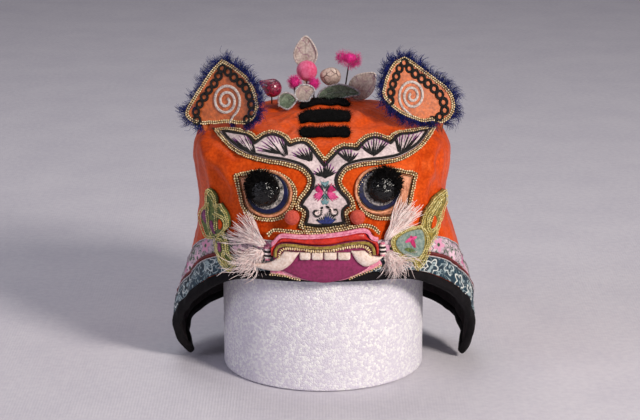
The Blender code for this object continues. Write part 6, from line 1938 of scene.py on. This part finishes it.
@dataclass
class Whiskers:
    """Four tufts of white silk thread, two at each corner of the mouth, and the bound ties there."""

    # Columns: name, root across and rise, first and last corner of the fan, lift
    tufts: tuple[tuple, ...] = TUFTS
    ties: tuple[tuple, ...] = (("left", -36.3, 74.9), ("right", 36.4, 77.4))
    tie_lift: float = 2.6
    tie_step: float = 1.32
    tie_girth: float = 1.55
    tie_cord: float = 0.78
    upper_count: int = 260
    lower_count: int = 240

    def tuft(self, shop: Workshop, row: tuple) -> None:
        """Lay one fan of threads: straight ones above, loose curled ones below."""
        name, root_x, root_rise, x1, r1, x2, r2, lift = row
        upper = name.endswith("upper")
        chance, count = shop.chance, self.upper_count if upper else self.lower_count
        share = np.clip(chance.normal(0.5, 0.27, count), -0.06, 1.06)
        root = np.array([root_x, root_rise])
        tips = np.array([x1, r1]) + (np.array([x2, r2]) - [x1, r1]) * share[:, None]
        reach = chance.uniform(0.6, 1.18, (count, 1))
        tips = root + (tips - root) * reach + chance.normal(0.0, 0.8, (count, 2))
        feet = root + chance.normal(0.0, 0.75, (count, 2))
        feet = feet + (tips - root) * chance.uniform(0.0, 0.12, (count, 1))
        start = shop.face.at(feet, lift - 0.6 + chance.uniform(0.0, 1.2, count))
        stop = shop.face.at(tips, lift + chance.uniform(0.0, 3.4, count))
        ray = stop - start
        part, sway = (shop.parts.whisker, 0.07) if upper else (shop.parts.curl, 0.16)
        made = Pile(shop).brush(f"silk_{name}", start, ray, shop.face.out(feet), np.linalg.norm(ray, axis=1),
                                part, WHITE_THREAD, (sway, sway, 3.1))
        finished(made, "white_thread", name)

    def tie(self, shop: Workshop, side: str, across: float, rise: float) -> None:
        """Wind the tie in black and white thread, over pink at its foot."""
        seat, right, up, out = shop.face.stand(across, rise, self.tie_lift)
        wraps = []
        colours = (PINK_SATIN, WHITE_THREAD, BLACK_CORD, WHITE_THREAD, BLACK_CORD, WHITE_THREAD, PINK_SATIN)
        spin = turns_of(20)
        for number, finish in enumerate(colours):
            high = (number - 3.0) * self.tie_step
            girth = self.tie_girth * (1.0 - (abs(number - 3.0) / 5.0) ** 2)
            ring = (right * np.cos(spin)[:, None] + out * 0.72 * np.sin(spin)[:, None]) * girth
            wraps.append(tube(f"wrap_{number}", seat + ring + up * high, self.tie_cord, finish.make(), 8, 1.0,
                              np.tile(up, (20, 1)), True))
        finished(join(f"bound_tie_{side}", wraps), "tie_thread", f"whisker_tie_{side}")

    def build(self, shop: Workshop) -> None:
        """Build the tufts and their ties."""
        for row in self.tufts:
            self.tuft(shop, row)
        for row in self.ties:
            self.tie(shop, *row)


@dataclass
class CheekOrnament:
    """Couched gilt cord round coloured silk, on one cheek."""

    side: str
    outline: tuple[Row, ...]
    ground: Cloth
    fields: tuple[tuple[Cloth, tuple[Row, ...]], ...]
    cords: tuple[tuple[Row, ...], ...]
    patch: tuple[Row, ...] = ()
    low: float = 2.0
    high: float = 3.0

    def build(self, shop: Workshop) -> None:
        """Build the ground, the coloured fields and the cords over them."""
        outline = smooth_outline(self.outline, 1.3)
        high = self.high
        made = [shop.cloth("cheek_ground", outline, self.low - 1.2, high - 0.2, self.ground, spacing=1.8)]
        for number, (finish, rows) in enumerate(self.fields):
            path = smooth_path(rows, 1.0)
            wide = 1.2 + 1.9 * np.sin(math.pi * np.linspace(0.0, 1.0, len(path)))
            made.append(shop.cloth(f"cheek_field_{number}", strip(path, wide), high - 0.3, high + 0.45, finish,
                                   spacing=1.3, soft=0.4, rims=(0.3,)))
        if self.patch:
            made.append(shop.cloth("cheek_patch", smooth_outline(self.patch, 1.2), high - 0.3, high + 0.1,
                                   TEAL_CLOTH, spacing=1.5, soft=0.4, rims=(0.3,)))
        paths = [even_steps(grow(outline, -0.7), 0.8, True), *(smooth_path(rows, 0.9) for rows in self.cords)]
        for number, path in enumerate(paths):
            lift = 0.5 if number else 0.3
            made.append(shop.beads(f"cheek_cord_{number}", path, high + lift, (-0.6, 0.6), 1.3, GOLD_CORD,
                                   not number, 1.0, 1.1))
        finished(join(f"couched_cheek_{self.side}", made), "gold_cord", f"cheek_ornament_{self.side}")


@dataclass
class Seats:
    """What an ear must stay clear of: the crown, and the brow with its braid."""

    cloth: BVHTree
    trim: BVHTree
    margin: float = 2.0

    def room(self, points: Array) -> Array:
        """Give the free space at points, negative inside the crown."""
        rooms = []
        for point in points:
            spot, normal, _, distance = self.cloth.find_nearest(Vector(point))
            if (Vector(point) - spot).dot(normal) < 0.0:
                distance = -distance
            rooms.append(min(distance, self.trim.find_nearest(Vector(point))[3] - self.margin))
        return np.array(rooms)


def tree_of(*names: str) -> BVHTree:
    """Give a search tree of the faces of pieces, in millimetres."""
    points, faces = [], []
    for name in names:
        mesh, start = bpy.data.objects[name].data, len(points)
        points += [v.co / MM for v in mesh.vertices]
        faces += [tuple(start + k for k in p.vertices) for p in mesh.polygons]
    return BVHTree.FromPolygons(points, faces)


@dataclass
class Ear:
    """One ear: padded satin panel, gilt braid, black chain, silver spiral and blue fringe."""

    side: str
    foot: tuple[float, float, float]
    turn: float
    lean: float
    outline: tuple[Row, ...]
    root: tuple[float, float]
    spiral: tuple[float, float, float]
    tail: tuple[float, float]
    hand: float
    chain_row: tuple[Row, ...]
    wall: float = 2.6
    cup: float = 2.0
    half: float = 26.0
    braid_width: float = 2.4
    seat_gap: float = 0.4
    link_gap: float = 5.75
    link: Row = (3.4, 4.6, 4.8)
    knot: Row = (1.8, 3.0, 1.9)
    coil_turns: float = 2.3
    fringe_gap: float = 0.24
    fringe_length: float = 7.4
    fringe_rows: Row = (-0.2, 0.8, 1.8, 2.7)
    clump: int = 12

    def at(self, flat: Array, lift: Array | float) -> Array:
        """Give points at a lift over places on the ear."""
        flat = np.atleast_2d(np.asarray(flat, float))
        turn, lean = math.radians(self.turn), math.radians(-self.lean)
        depth = -np.broadcast_to(np.asarray(lift, float), len(flat)) - self.cup * (flat[:, 0] / self.half) ** 2
        y = depth * math.cos(lean) - flat[:, 1] * math.sin(lean)
        z = depth * math.sin(lean) + flat[:, 1] * math.cos(lean)
        x = flat[:, 0] * math.cos(turn) - y * math.sin(turn)
        return np.stack([x, flat[:, 0] * math.sin(turn) + y * math.cos(turn), z], axis=1) + self.foot

    def out(self, flat: Array) -> Array:
        """Give the directions out of the ear's front."""
        return unit(self.at(flat, 1.0) - self.at(flat, 0.0))

    def sit(self, seats: Seats, outline: Array, high: float) -> Array:
        """Raise the points of an outline that lie in the crown."""
        made = outline.copy()
        for k, (u, v) in enumerate(outline):
            sewn = self.root[0] <= u <= self.root[1] and v < 16.0
            steps = np.arange(-7.0, 20.0, 0.4)
            flat = np.stack([np.full(len(steps), u), steps], axis=1)
            free = np.min([seats.room(self.at(flat, lift)) for lift in (0.0, high)], axis=0) > self.seat_gap
            blocked = np.nonzero(~free)[0]
            low = steps[min(blocked[-1] + 1, len(steps) - 1)] if len(blocked) else steps[0]
            made[k, 1] = low if sewn else max(v, low)
        return made

    def chain(self, shop: Workshop) -> Piece:
        """Lay the black chain of round loops inside the braid."""
        path = smooth_path(self.chain_row, 0.8)
        seeds = along(self.at(path, self.wall + 0.75), self.out(path), self.link_gap, size=self.link)
        rings = shop.repeat.lay("chain_rings", seeds, shop.parts.link, BLACK_CORD.make(), SEED,
                                (0.12, 0.12, 0.15), (0.94, 1.08))
        middle = (seeds.place + np.roll(seeds.place, -1, axis=0))[:-1] / 2.0
        middle += seeds.lie[:-1] * 0.5
        cross = Seeds(middle, seeds.aim[:-1], seeds.lie[:-1], np.tile(self.knot, (len(middle), 1)))
        knots = shop.repeat.lay("chain_knots", cross, shop.parts.bead, BLACK_CORD.make(), SEED)
        return join("chain", [rings, knots])

    def coil(self) -> Piece:
        """Couch the silver spiral and its tail."""
        u, v, radius = self.spiral
        turn = np.linspace(0.0, self.coil_turns * 2.0 * math.pi, 110)
        reach = radius * (1.0 - 0.84 * turn / turn[-1])
        spin = math.radians(-55.0) + turn
        path = np.stack([u + self.hand * reach * np.cos(spin), v + 1.05 * reach * np.sin(spin)], axis=1)
        path = even_steps(np.concatenate([[self.tail], path]), 0.7)
        girth = 0.6 + 0.36 * np.minimum(np.arange(len(path)) / 18.0, 1.0)
        return tube("coil", self.at(path, self.wall + 0.75), girth, SILVER_CORD.make(), 8, 0.7, self.out(path))

    def fringe(self, shop: Workshop, panel: Array) -> Piece:
        """Set the blue thread all round the ear in ragged clumps, except where it is sewn on."""
        line = even_steps(panel, self.fringe_gap, True)
        away = right_of(headings(line, True)) * turn_of(line)
        free = ~((line[:, 0] > self.root[0] - 1.0) & (line[:, 0] < self.root[1] + 1.0) & (line[:, 1] < 3.0))
        line, away = line[free], away[free]
        chance, made = shop.chance, []
        for number, lift in enumerate(self.fringe_rows):
            clump = (np.arange(len(line)) + chance.integers(0, 10)) // self.clump
            shared = chance.normal(0.0, 0.5, (clump.max() + 1, 2))[clump]
            long = chance.uniform(0.4, 1.2, clump.max() + 1)[clump]
            spots = line + away * chance.uniform(-1.2, 0.4, (len(line), 1))
            lean = away + shared + chance.normal(0.0, 0.08, away.shape)
            root = self.at(spots, lift + chance.uniform(-0.3, 0.3, len(spots)))
            aims = self.at(spots + lean, lift + chance.normal(0.0, 0.4, len(spots))) - self.at(spots, lift)
            lengths = self.fringe_length * long * chance.uniform(0.75, 1.1, len(spots))
            part = shop.parts.curly if number % 2 else shop.parts.bent
            made.append(Pile(shop).brush(f"fringe_{number}", root, aims, self.out(spots), lengths, part,
                                         BLUE_FRINGE, (0.12, 0.12, 0.7)))
        return join(f"blue_thread_fringe_{self.side}", made)

    def build(self, shop: Workshop, seats: Seats) -> None:
        """Build the ear on the crown."""
        outline = smooth_outline(self.outline, 2.0)
        panel = self.sit(seats, outline, self.wall)
        trim = np.stack([outline[:, 0], np.maximum(outline[:, 1], panel[:, 1])], axis=1)
        satin = pad("ear_satin", divided(panel), self.at, 0.0, self.wall, EAR_SATIN.make(), 0.3, back=0.6)
        body = join(f"satin_ear_{self.side}", [satin, self.chain(shop), self.coil()])
        finished(body, "orange_satin", f"ear_panel_{self.side}")
        outer, inner = grow(trim, -0.15), grow(trim, -self.braid_width)
        ground = pad("ear_braid_ground", divided(outer, (inner,), 1.6, (0.35,)), self.at, self.wall - 0.2,
                     self.wall + 0.6, GOLD_BASE.make(), soft=0.5)
        loops = []
        for number, away in enumerate((0.55, 1.95)):
            path = even_steps(grow(trim, -away), 1.1, True)
            seeds = along(self.at(path, self.wall + 0.8), self.out(path), 1.55, True, (0.9, 1.35, 1.35))
            loops.append(shop.repeat.lay(f"ear_loops_{number}", seeds, shop.parts.bead, GOLD_BEAD.make(),
                                         SEED + number, (0.1, 0.1, 0.25), (0.82, 1.1)))
        finished(join(f"ear_gilt_braid_{self.side}", [ground, *loops]), "gold_braid", f"ear_braid_{self.side}")
        finished(self.fringe(shop, panel), "blue_fringe", f"ear_fringe_{self.side}")


@dataclass
class Leaf:
    """One leaf of stiffened, painted silk on its stem, with a cord round its edge."""

    node: str
    x: float
    y: float
    heading: float
    pitch: float
    bend: float
    stem: float
    blade: float
    width: float
    roll: float
    finish: Cloth
    rim: Cloth
    slot: str
    fold: float = 0.16
    wall: float = 0.45
    stations: int = 36
    cells: int = 10
    rim_girth: float = 0.62
    spine_girth: float = 0.34

    def rows(self, stations: int) -> list[tuple]:
        """Give the leaf's spine: the middle, side, face and half width at each station."""
        heading = math.radians(self.heading)
        ahead = np.array([math.cos(heading), math.sin(heading), 0.0])
        level = np.array([-math.sin(heading), math.cos(heading), 0.0])
        high = np.array([0.0, 0.0, 1.0])
        length, place, rows = self.stem + self.blade, np.zeros(3), []
        for k in range(stations + 1):
            s = length * k / stations
            turn = math.radians(self.pitch + self.bend * k / stations)
            step = ahead * math.cos(turn) + high * math.sin(turn)
            up = high * math.cos(turn) - ahead * math.sin(turn)
            lean = math.radians(self.roll) * min(s / max(self.stem, 1.0), 1.0)
            side = level * math.cos(lean) + up * math.sin(lean)
            share = min(max((s - self.stem) / self.blade, 0.0), 1.0)
            half = 0.7 + (self.width / 2.0 - 0.7) * math.sin(math.pi * share ** 0.8) ** 0.8
            rows.append((place, side, np.cross(side, step), max(half, 0.4), s))
            place = place + step * length / stations
        return rows

    def build(self) -> None:
        """Build the blade, its veins and its edge."""
        stations, cells = self.stations, self.cells
        rows = self.rows(stations)
        t = np.linspace(-1.0, 1.0, cells + 1)
        skin, normals, uv = [], [], []
        for middle, side, face, half, s in rows:
            ripple = 0.35 * np.sin(s * 0.55 + 2.0 * t) * np.abs(t) ** 2 * min(half / 4.0, 1.0)
            cup = self.fold * half * np.abs(t) ** (1.5 if self.fold < 0.3 else 1.0)
            skin.append(middle + side * (half * t)[:, None] + face * (ripple - cup)[:, None])
            normals.append(np.tile(face, (cells + 1, 1)))
            uv.append(np.stack([half * t, np.full(cells + 1, s)], axis=1))
        skin, normals, uv = (np.concatenate(v) for v in (skin, normals, uv))
        lift = float(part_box(self.node)[0][2]) / MM + 0.15 - float(skin[:, 2].min())
        skin = skin + [self.x, self.y, lift]
        count = len(skin)
        points = np.concatenate([skin + normals * self.wall, skin])
        faces = grid_faces(stations + 1, cells + 1, False)
        closed = faces + [tuple(count + k for k in f[::-1]) for f in faces]
        for r in range(stations):
            for c in (0, cells):
                a, b = r * (cells + 1) + c, (r + 1) * (cells + 1) + c
                closed.append((a, count + a, count + b, b) if c else (b, count + b, count + a, a))
        for r in (0, stations):
            for c in range(cells):
                a = r * (cells + 1) + c
                closed.append((a, a + 1, count + a + 1, count + a) if r else (count + a, count + a + 1, a + 1, a))
        blade = make_mesh("blade", points, closed, self.finish.make(), np.concatenate([uv, uv]))
        fix_normals(blade)
        edge = np.concatenate([skin[::cells + 1], skin[cells::cells + 1][::-1]])
        edge = even_steps(edge[2:-2], 0.9)
        rim = tube("rim", edge + [0.0, -0.2, 0.1], self.rim_girth, self.rim.make(), 6)
        middle = slice(cells // 2, None, cells + 1)
        spine = tube("spine", skin[middle] + normals[middle] * 0.3, self.spine_girth, self.rim.make(), 6)
        finished(join(f"silk_{self.node}", [blade, rim, spine]), self.slot, self.node)


def fix_normals(piece: Piece) -> None:
    """Turn every face of a closed piece outwards."""
    work = bmesh.new()
    work.from_mesh(piece.data)
    bmesh.ops.recalc_face_normals(work, faces=work.faces)
    work.to_mesh(piece.data)
    work.free()


@dataclass
class TopOrnaments:
    """The balls, buds and leaves that stand on wires between the ears."""

    stalk: float = 0.5
    silk_radius: float = 7.0
    bud_girth: float = 6.3
    blossom_size: Row = (7.4, 5.2, 6.4)
    leaves: tuple[Leaf, ...] = (
        Leaf("standing_leaf", -13.0, 25.0, 90.0, 88.0, 6.0, 21.0, 21.5, 15.5, 0.0, PALE_LEAF, SILVER_CORD,
             "pale_leaf"),
        Leaf("grey_leaf", 15.5, 16.0, 3.0, 38.0, 10.0, 3.0, 22.0, 16.5, 64.0, PALE_LEAF, SILVER_CORD,
             "pale_leaf"),
        Leaf("green_leaf", -6.0, 10.0, -3.0, 27.0, -42.0, 2.0, 28.5, 10.5, 58.0, GREEN_LEAF, SILVER_PIPING,
             "green_leaf"),
        Leaf("curled_leaf", -31.5, -4.5, 4.0, 40.0, -40.0, 2.0, 11.5, 11.5, 66.0, GREEN_LEAF, SILVER_PIPING,
             "green_leaf", 0.55),
        Leaf("white_petal", -17.9, -3.4, 8.0, 74.0, -84.0, 1.5, 13.0, 11.5, 70.0, PALE_LEAF, SILVER_PIPING,
             "pale_leaf"),
    )
    # Columns: node, middle and radius of each pompom
    pompoms: tuple[tuple, ...] = (
        ("pompom_left", (-20.2, 5.0, 193.3), 5.4), ("pompom_right", (-7.4, 6.0, 192.0), 4.8),
    )
    pompom_hairs: int = 760
    pompom_hair_length: float = 3.2
    yarn_middle: Row = (16.8, 17.0, 207.4)
    yarn_radius: float = 9.6
    yarn_hairs: int = 1500
    yarn_hair_length: float = 3.8

    def wire(self, name: str, start: Array, stop: Array) -> Piece:
        """Make a thin wire between two points."""
        t = np.linspace(0.0, 1.0, 9)[:, None]
        return tube(name, start + (stop - start) * t, self.stalk, STEEL_WIRE.make(), 6)

    def lump(self, name: str, centre: Array, form: Callable[[Array], Array], finish: Cloth,
             rings: int = 22, segments: int = 32) -> Piece:
        """Make a closed round body.

        Args:
            name: The body's name.
            centre: Its middle.
            form: Turns directions from the middle into offsets.
            finish: Its finish.
            rings: How many rings it has.
            segments: How many sides each ring has.

        Returns:
            The body.
        """
        rays, faces = ball_of(rings, segments)
        uv = np.stack([np.degrees(np.arctan2(rays[:, 1], rays[:, 0])) * 0.12, rays[:, 2] * 7.0], axis=1)
        return make_mesh(name, centre + form(rays), faces, finish.make(), uv)

    def balls(self, shop: Workshop) -> None:
        """Build the wound silk ball, the bud, the blossom and the two pompoms."""
        def foot(node: str, x: float, y: float) -> Array:
            """Give the foot of a stalk, from the node that stands there."""
            return np.array([x, y, float(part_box(node)[0][2]) / MM + 0.2])

        def wound(rays: Array) -> Array:
            """Give a ball wound in silk, its strands running from pole to pole."""
            turn = np.arctan2(rays[:, 1], rays[:, 0])
            strand = 0.16 * np.sin(turn * 22.0) * np.sqrt(1.0 - rays[:, 2] ** 2)
            return rays * (self.silk_radius + strand)[:, None]

        def bud(rays: Array) -> Array:
            """Give a bud drawn out to a point at its upper left."""
            axis = unit(np.array([-0.90, 0.05, 0.42]))
            share = rays @ axis
            point = np.maximum(share, 0.0)
            girth = self.bud_girth * (1.0 - 0.45 * point ** 1.5)
            across = rays - share[:, None] * axis
            return across * girth[:, None] + axis * (share * (7.0 + 2.4 * point ** 3))[:, None]

        def blossom(rays: Array) -> Array:
            """Give a closed blossom, its petals folded over each other."""
            turn = np.arctan2(rays[:, 0], rays[:, 2])
            fold = 0.55 * np.abs(np.sin(turn * 1.5 + 0.5)) + 0.3 * np.sin(turn * 4.0)
            return rays * self.blossom_size * (0.94 + 0.06 * fold)[:, None]

        rows = (("pink_ball", (-12.1, 15.0, 199.0), wound, PINK_SILK, "pink_silk"),
                ("bud", (-35.6, 6.0, 189.3), bud, BERRY_SILK, "berry_red"),
                ("pale_petal", (4.0, 18.0, 194.6), blossom, PETAL_SILK, "pale_petal"))
        for node, centre, form, finish, slot in rows:
            middle = np.array(centre)
            body = self.lump("body", middle, form, finish)
            stem = self.wire("stem", foot(node, centre[0], centre[1]), middle - [0.0, 0.0, 3.0])
            finished(join(f"silk_{node}", [body, stem]), slot, node)
        pile = Pile(shop)
        for node, centre, radius in self.pompoms:
            middle = np.array(centre)
            heart = self.lump("heart", middle, lambda rays, r=radius: rays * r * 0.6, MAGENTA_YARN, 10, 14)
            floss = pile.floss("floss", middle, radius + 0.6, self.pompom_hairs, self.pompom_hair_length,
                               MAGENTA_YARN)
            stem = self.wire("stem", foot(node, centre[0], centre[1]), middle - [0.0, 0.0, 1.0])
            finished(join(f"floss_{node}", [heart, floss, stem]), "magenta_yarn", node)

    def yarn(self, shop: Workshop) -> None:
        """Build the ragged ball of floss on its long wire."""
        middle = np.array(self.yarn_middle)
        heart = self.lump("heart", middle, lambda rays: rays * [4.6, 3.8, 3.2], MAGENTA_YARN, 10, 14)
        floss = Pile(shop).floss("floss", middle - [1.6, 0.0, 1.2], self.yarn_radius, self.yarn_hairs,
                                 self.yarn_hair_length, MAGENTA_YARN, (1.2, 0.8, 0.8), 17)
        finished(join("floss_yarn_ball", [heart, floss]), "magenta_yarn", "yarn_ball")
        start = np.array([13.0, 19.0, float(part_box("yarn_wire")[0][2]) / MM + 0.6])
        line = middle - start
        wire = self.wire("ball_wire", start, start + line * (1.0 - 6.0 / np.linalg.norm(line)))
        finished(wire, "wire", "yarn_wire")

    def build(self, shop: Workshop) -> None:
        """Build every ornament."""
        self.balls(shop)
        self.yarn(shop)
        for leaf in self.leaves:
            leaf.build()


class Light(Enum):
    """Each soft light: its place and size in metres, its power in watts, and its colour."""

    KEY = ((1.25, -1.4, 1.05), 0.45, 41.0, "#FFF6EC")
    FILL = ((-1.7, -0.9, 0.8), 0.9, 7.0, "#F1F0FF")
    TOP = ((-0.2, 0.5, 1.6), 0.9, 6.0, "#FFFFFF")


@dataclass
class Studio:
    """A plain pale floor, soft lights and the camera at the photograph's viewing angle."""

    aim: tuple[float, float, float] = (-3.2, -74.0, 125.7)
    away: float = 1300.0
    lens: float = 114.1
    sensor: float = 36.0
    floor_size: float = 24.0
    room_colour: str = "#C9C6D2"
    room_light: float = 0.27

    def build(self) -> None:
        """Build the floor, the lights and the camera."""
        half = self.floor_size / MM / 2.0
        ring = [(-half, -half, -0.5), (half, -half, -0.5), (half, half, -0.5), (-half, half, -0.5)]
        floor = make_mesh("studio_floor", np.array(ring), [(0, 1, 2, 3)], PAPER_FLOOR.make(), smooth=False)
        target = Vector(self.aim) * MM
        for light in Light:
            place, size, power, colour = light.value
            data = bpy.data.lights.new(light.name.lower(), "AREA")
            data.shape, data.size, data.energy, data.color = "DISK", size, power, linear(colour)[:3]
            lamp = bpy.data.objects.new(light.name.lower(), data)
            lamp.location = place
            lamp.rotation_euler = (target - Vector(place)).to_track_quat("-Z", "Y").to_euler()
            bpy.context.scene.collection.objects.link(lamp)
        world = bpy.data.worlds.new("pale_room")
        world.use_nodes = True
        back = world.node_tree.nodes["Background"]
        back.inputs["Color"].default_value = linear(self.room_colour)
        back.inputs["Strength"].default_value = self.room_light
        bpy.context.scene.world = world
        bpy.context.scene.view_settings.view_transform = "Standard"
        data = bpy.data.cameras.new("camera")
        data.lens, data.sensor_width = self.lens, self.sensor
        camera = bpy.data.objects.new("camera", data)
        back_off = Vector((0.0, -math.cos(LOOK_DOWN), math.sin(LOOK_DOWN))) * self.away
        camera.location = (Vector(self.aim) + back_off) * MM
        camera.rotation_euler = (-back_off).to_track_quat("-Z", "Y").to_euler()
        bpy.context.scene.collection.objects.link(camera)
        bpy.context.scene.camera = camera


def main() -> None:
    """Build the hat on its block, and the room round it."""
    logging.basicConfig(level=logging.INFO, format="%(message)s")
    Studio().build()
    shop = Workshop()
    FoamStand().build()
    Cap().build(shop)
    Forehead().build(shop)
    Brow().build(shop)
    Eye("left", (-38.4, 115.0)).build(shop)
    Eye("right", (36.4, 117.2), 1.5).build(shop)
    CheekBall("left", -20.4, 98.6, 1.2).build(shop)
    CheekBall("right", 20.2, 98.8, 1.1).build(shop)
    Mouth().build(shop)
    CheekOrnament("left", CHEEK_LEFT_OUTLINE, GREEN_CLOTH, CHEEK_LEFT_FIELDS, CHEEK_LEFT_CORD_ROWS).build(shop)
    CheekOrnament("right", CHEEK_RIGHT_OUTLINE, GILT_GROUND, CHEEK_RIGHT_FIELDS, CHEEK_RIGHT_CORD_ROWS,
                  CHEEK_PATCH).build(shop)
    Whiskers().build(shop)
    seats = Seats(tree_of("satin_crown"), tree_of("brow_and_nose", "brow_gilt_braid"))
    Ear("left", (-67.5, -25.0, 169.6), -24.0, 10.0, EAR_LEFT_OUTLINE, (-13.0, 16.0), (3.2, 17.2, 10.8),
        (6.6, 2.6), 1.0, CHAIN_LEFT).build(shop, seats)
    Ear("right", (63.5, -25.0, 168.0), 24.0, 10.0, EAR_RIGHT_OUTLINE, (1.0, 15.0), (-6.8, 22.4, 10.2),
        (-8.0, 9.4), -1.0, CHAIN_RIGHT).build(shop, seats)
    TopOrnaments().build(shop)
    shop.parts.clear()


if __name__ == "__main__":
    main()
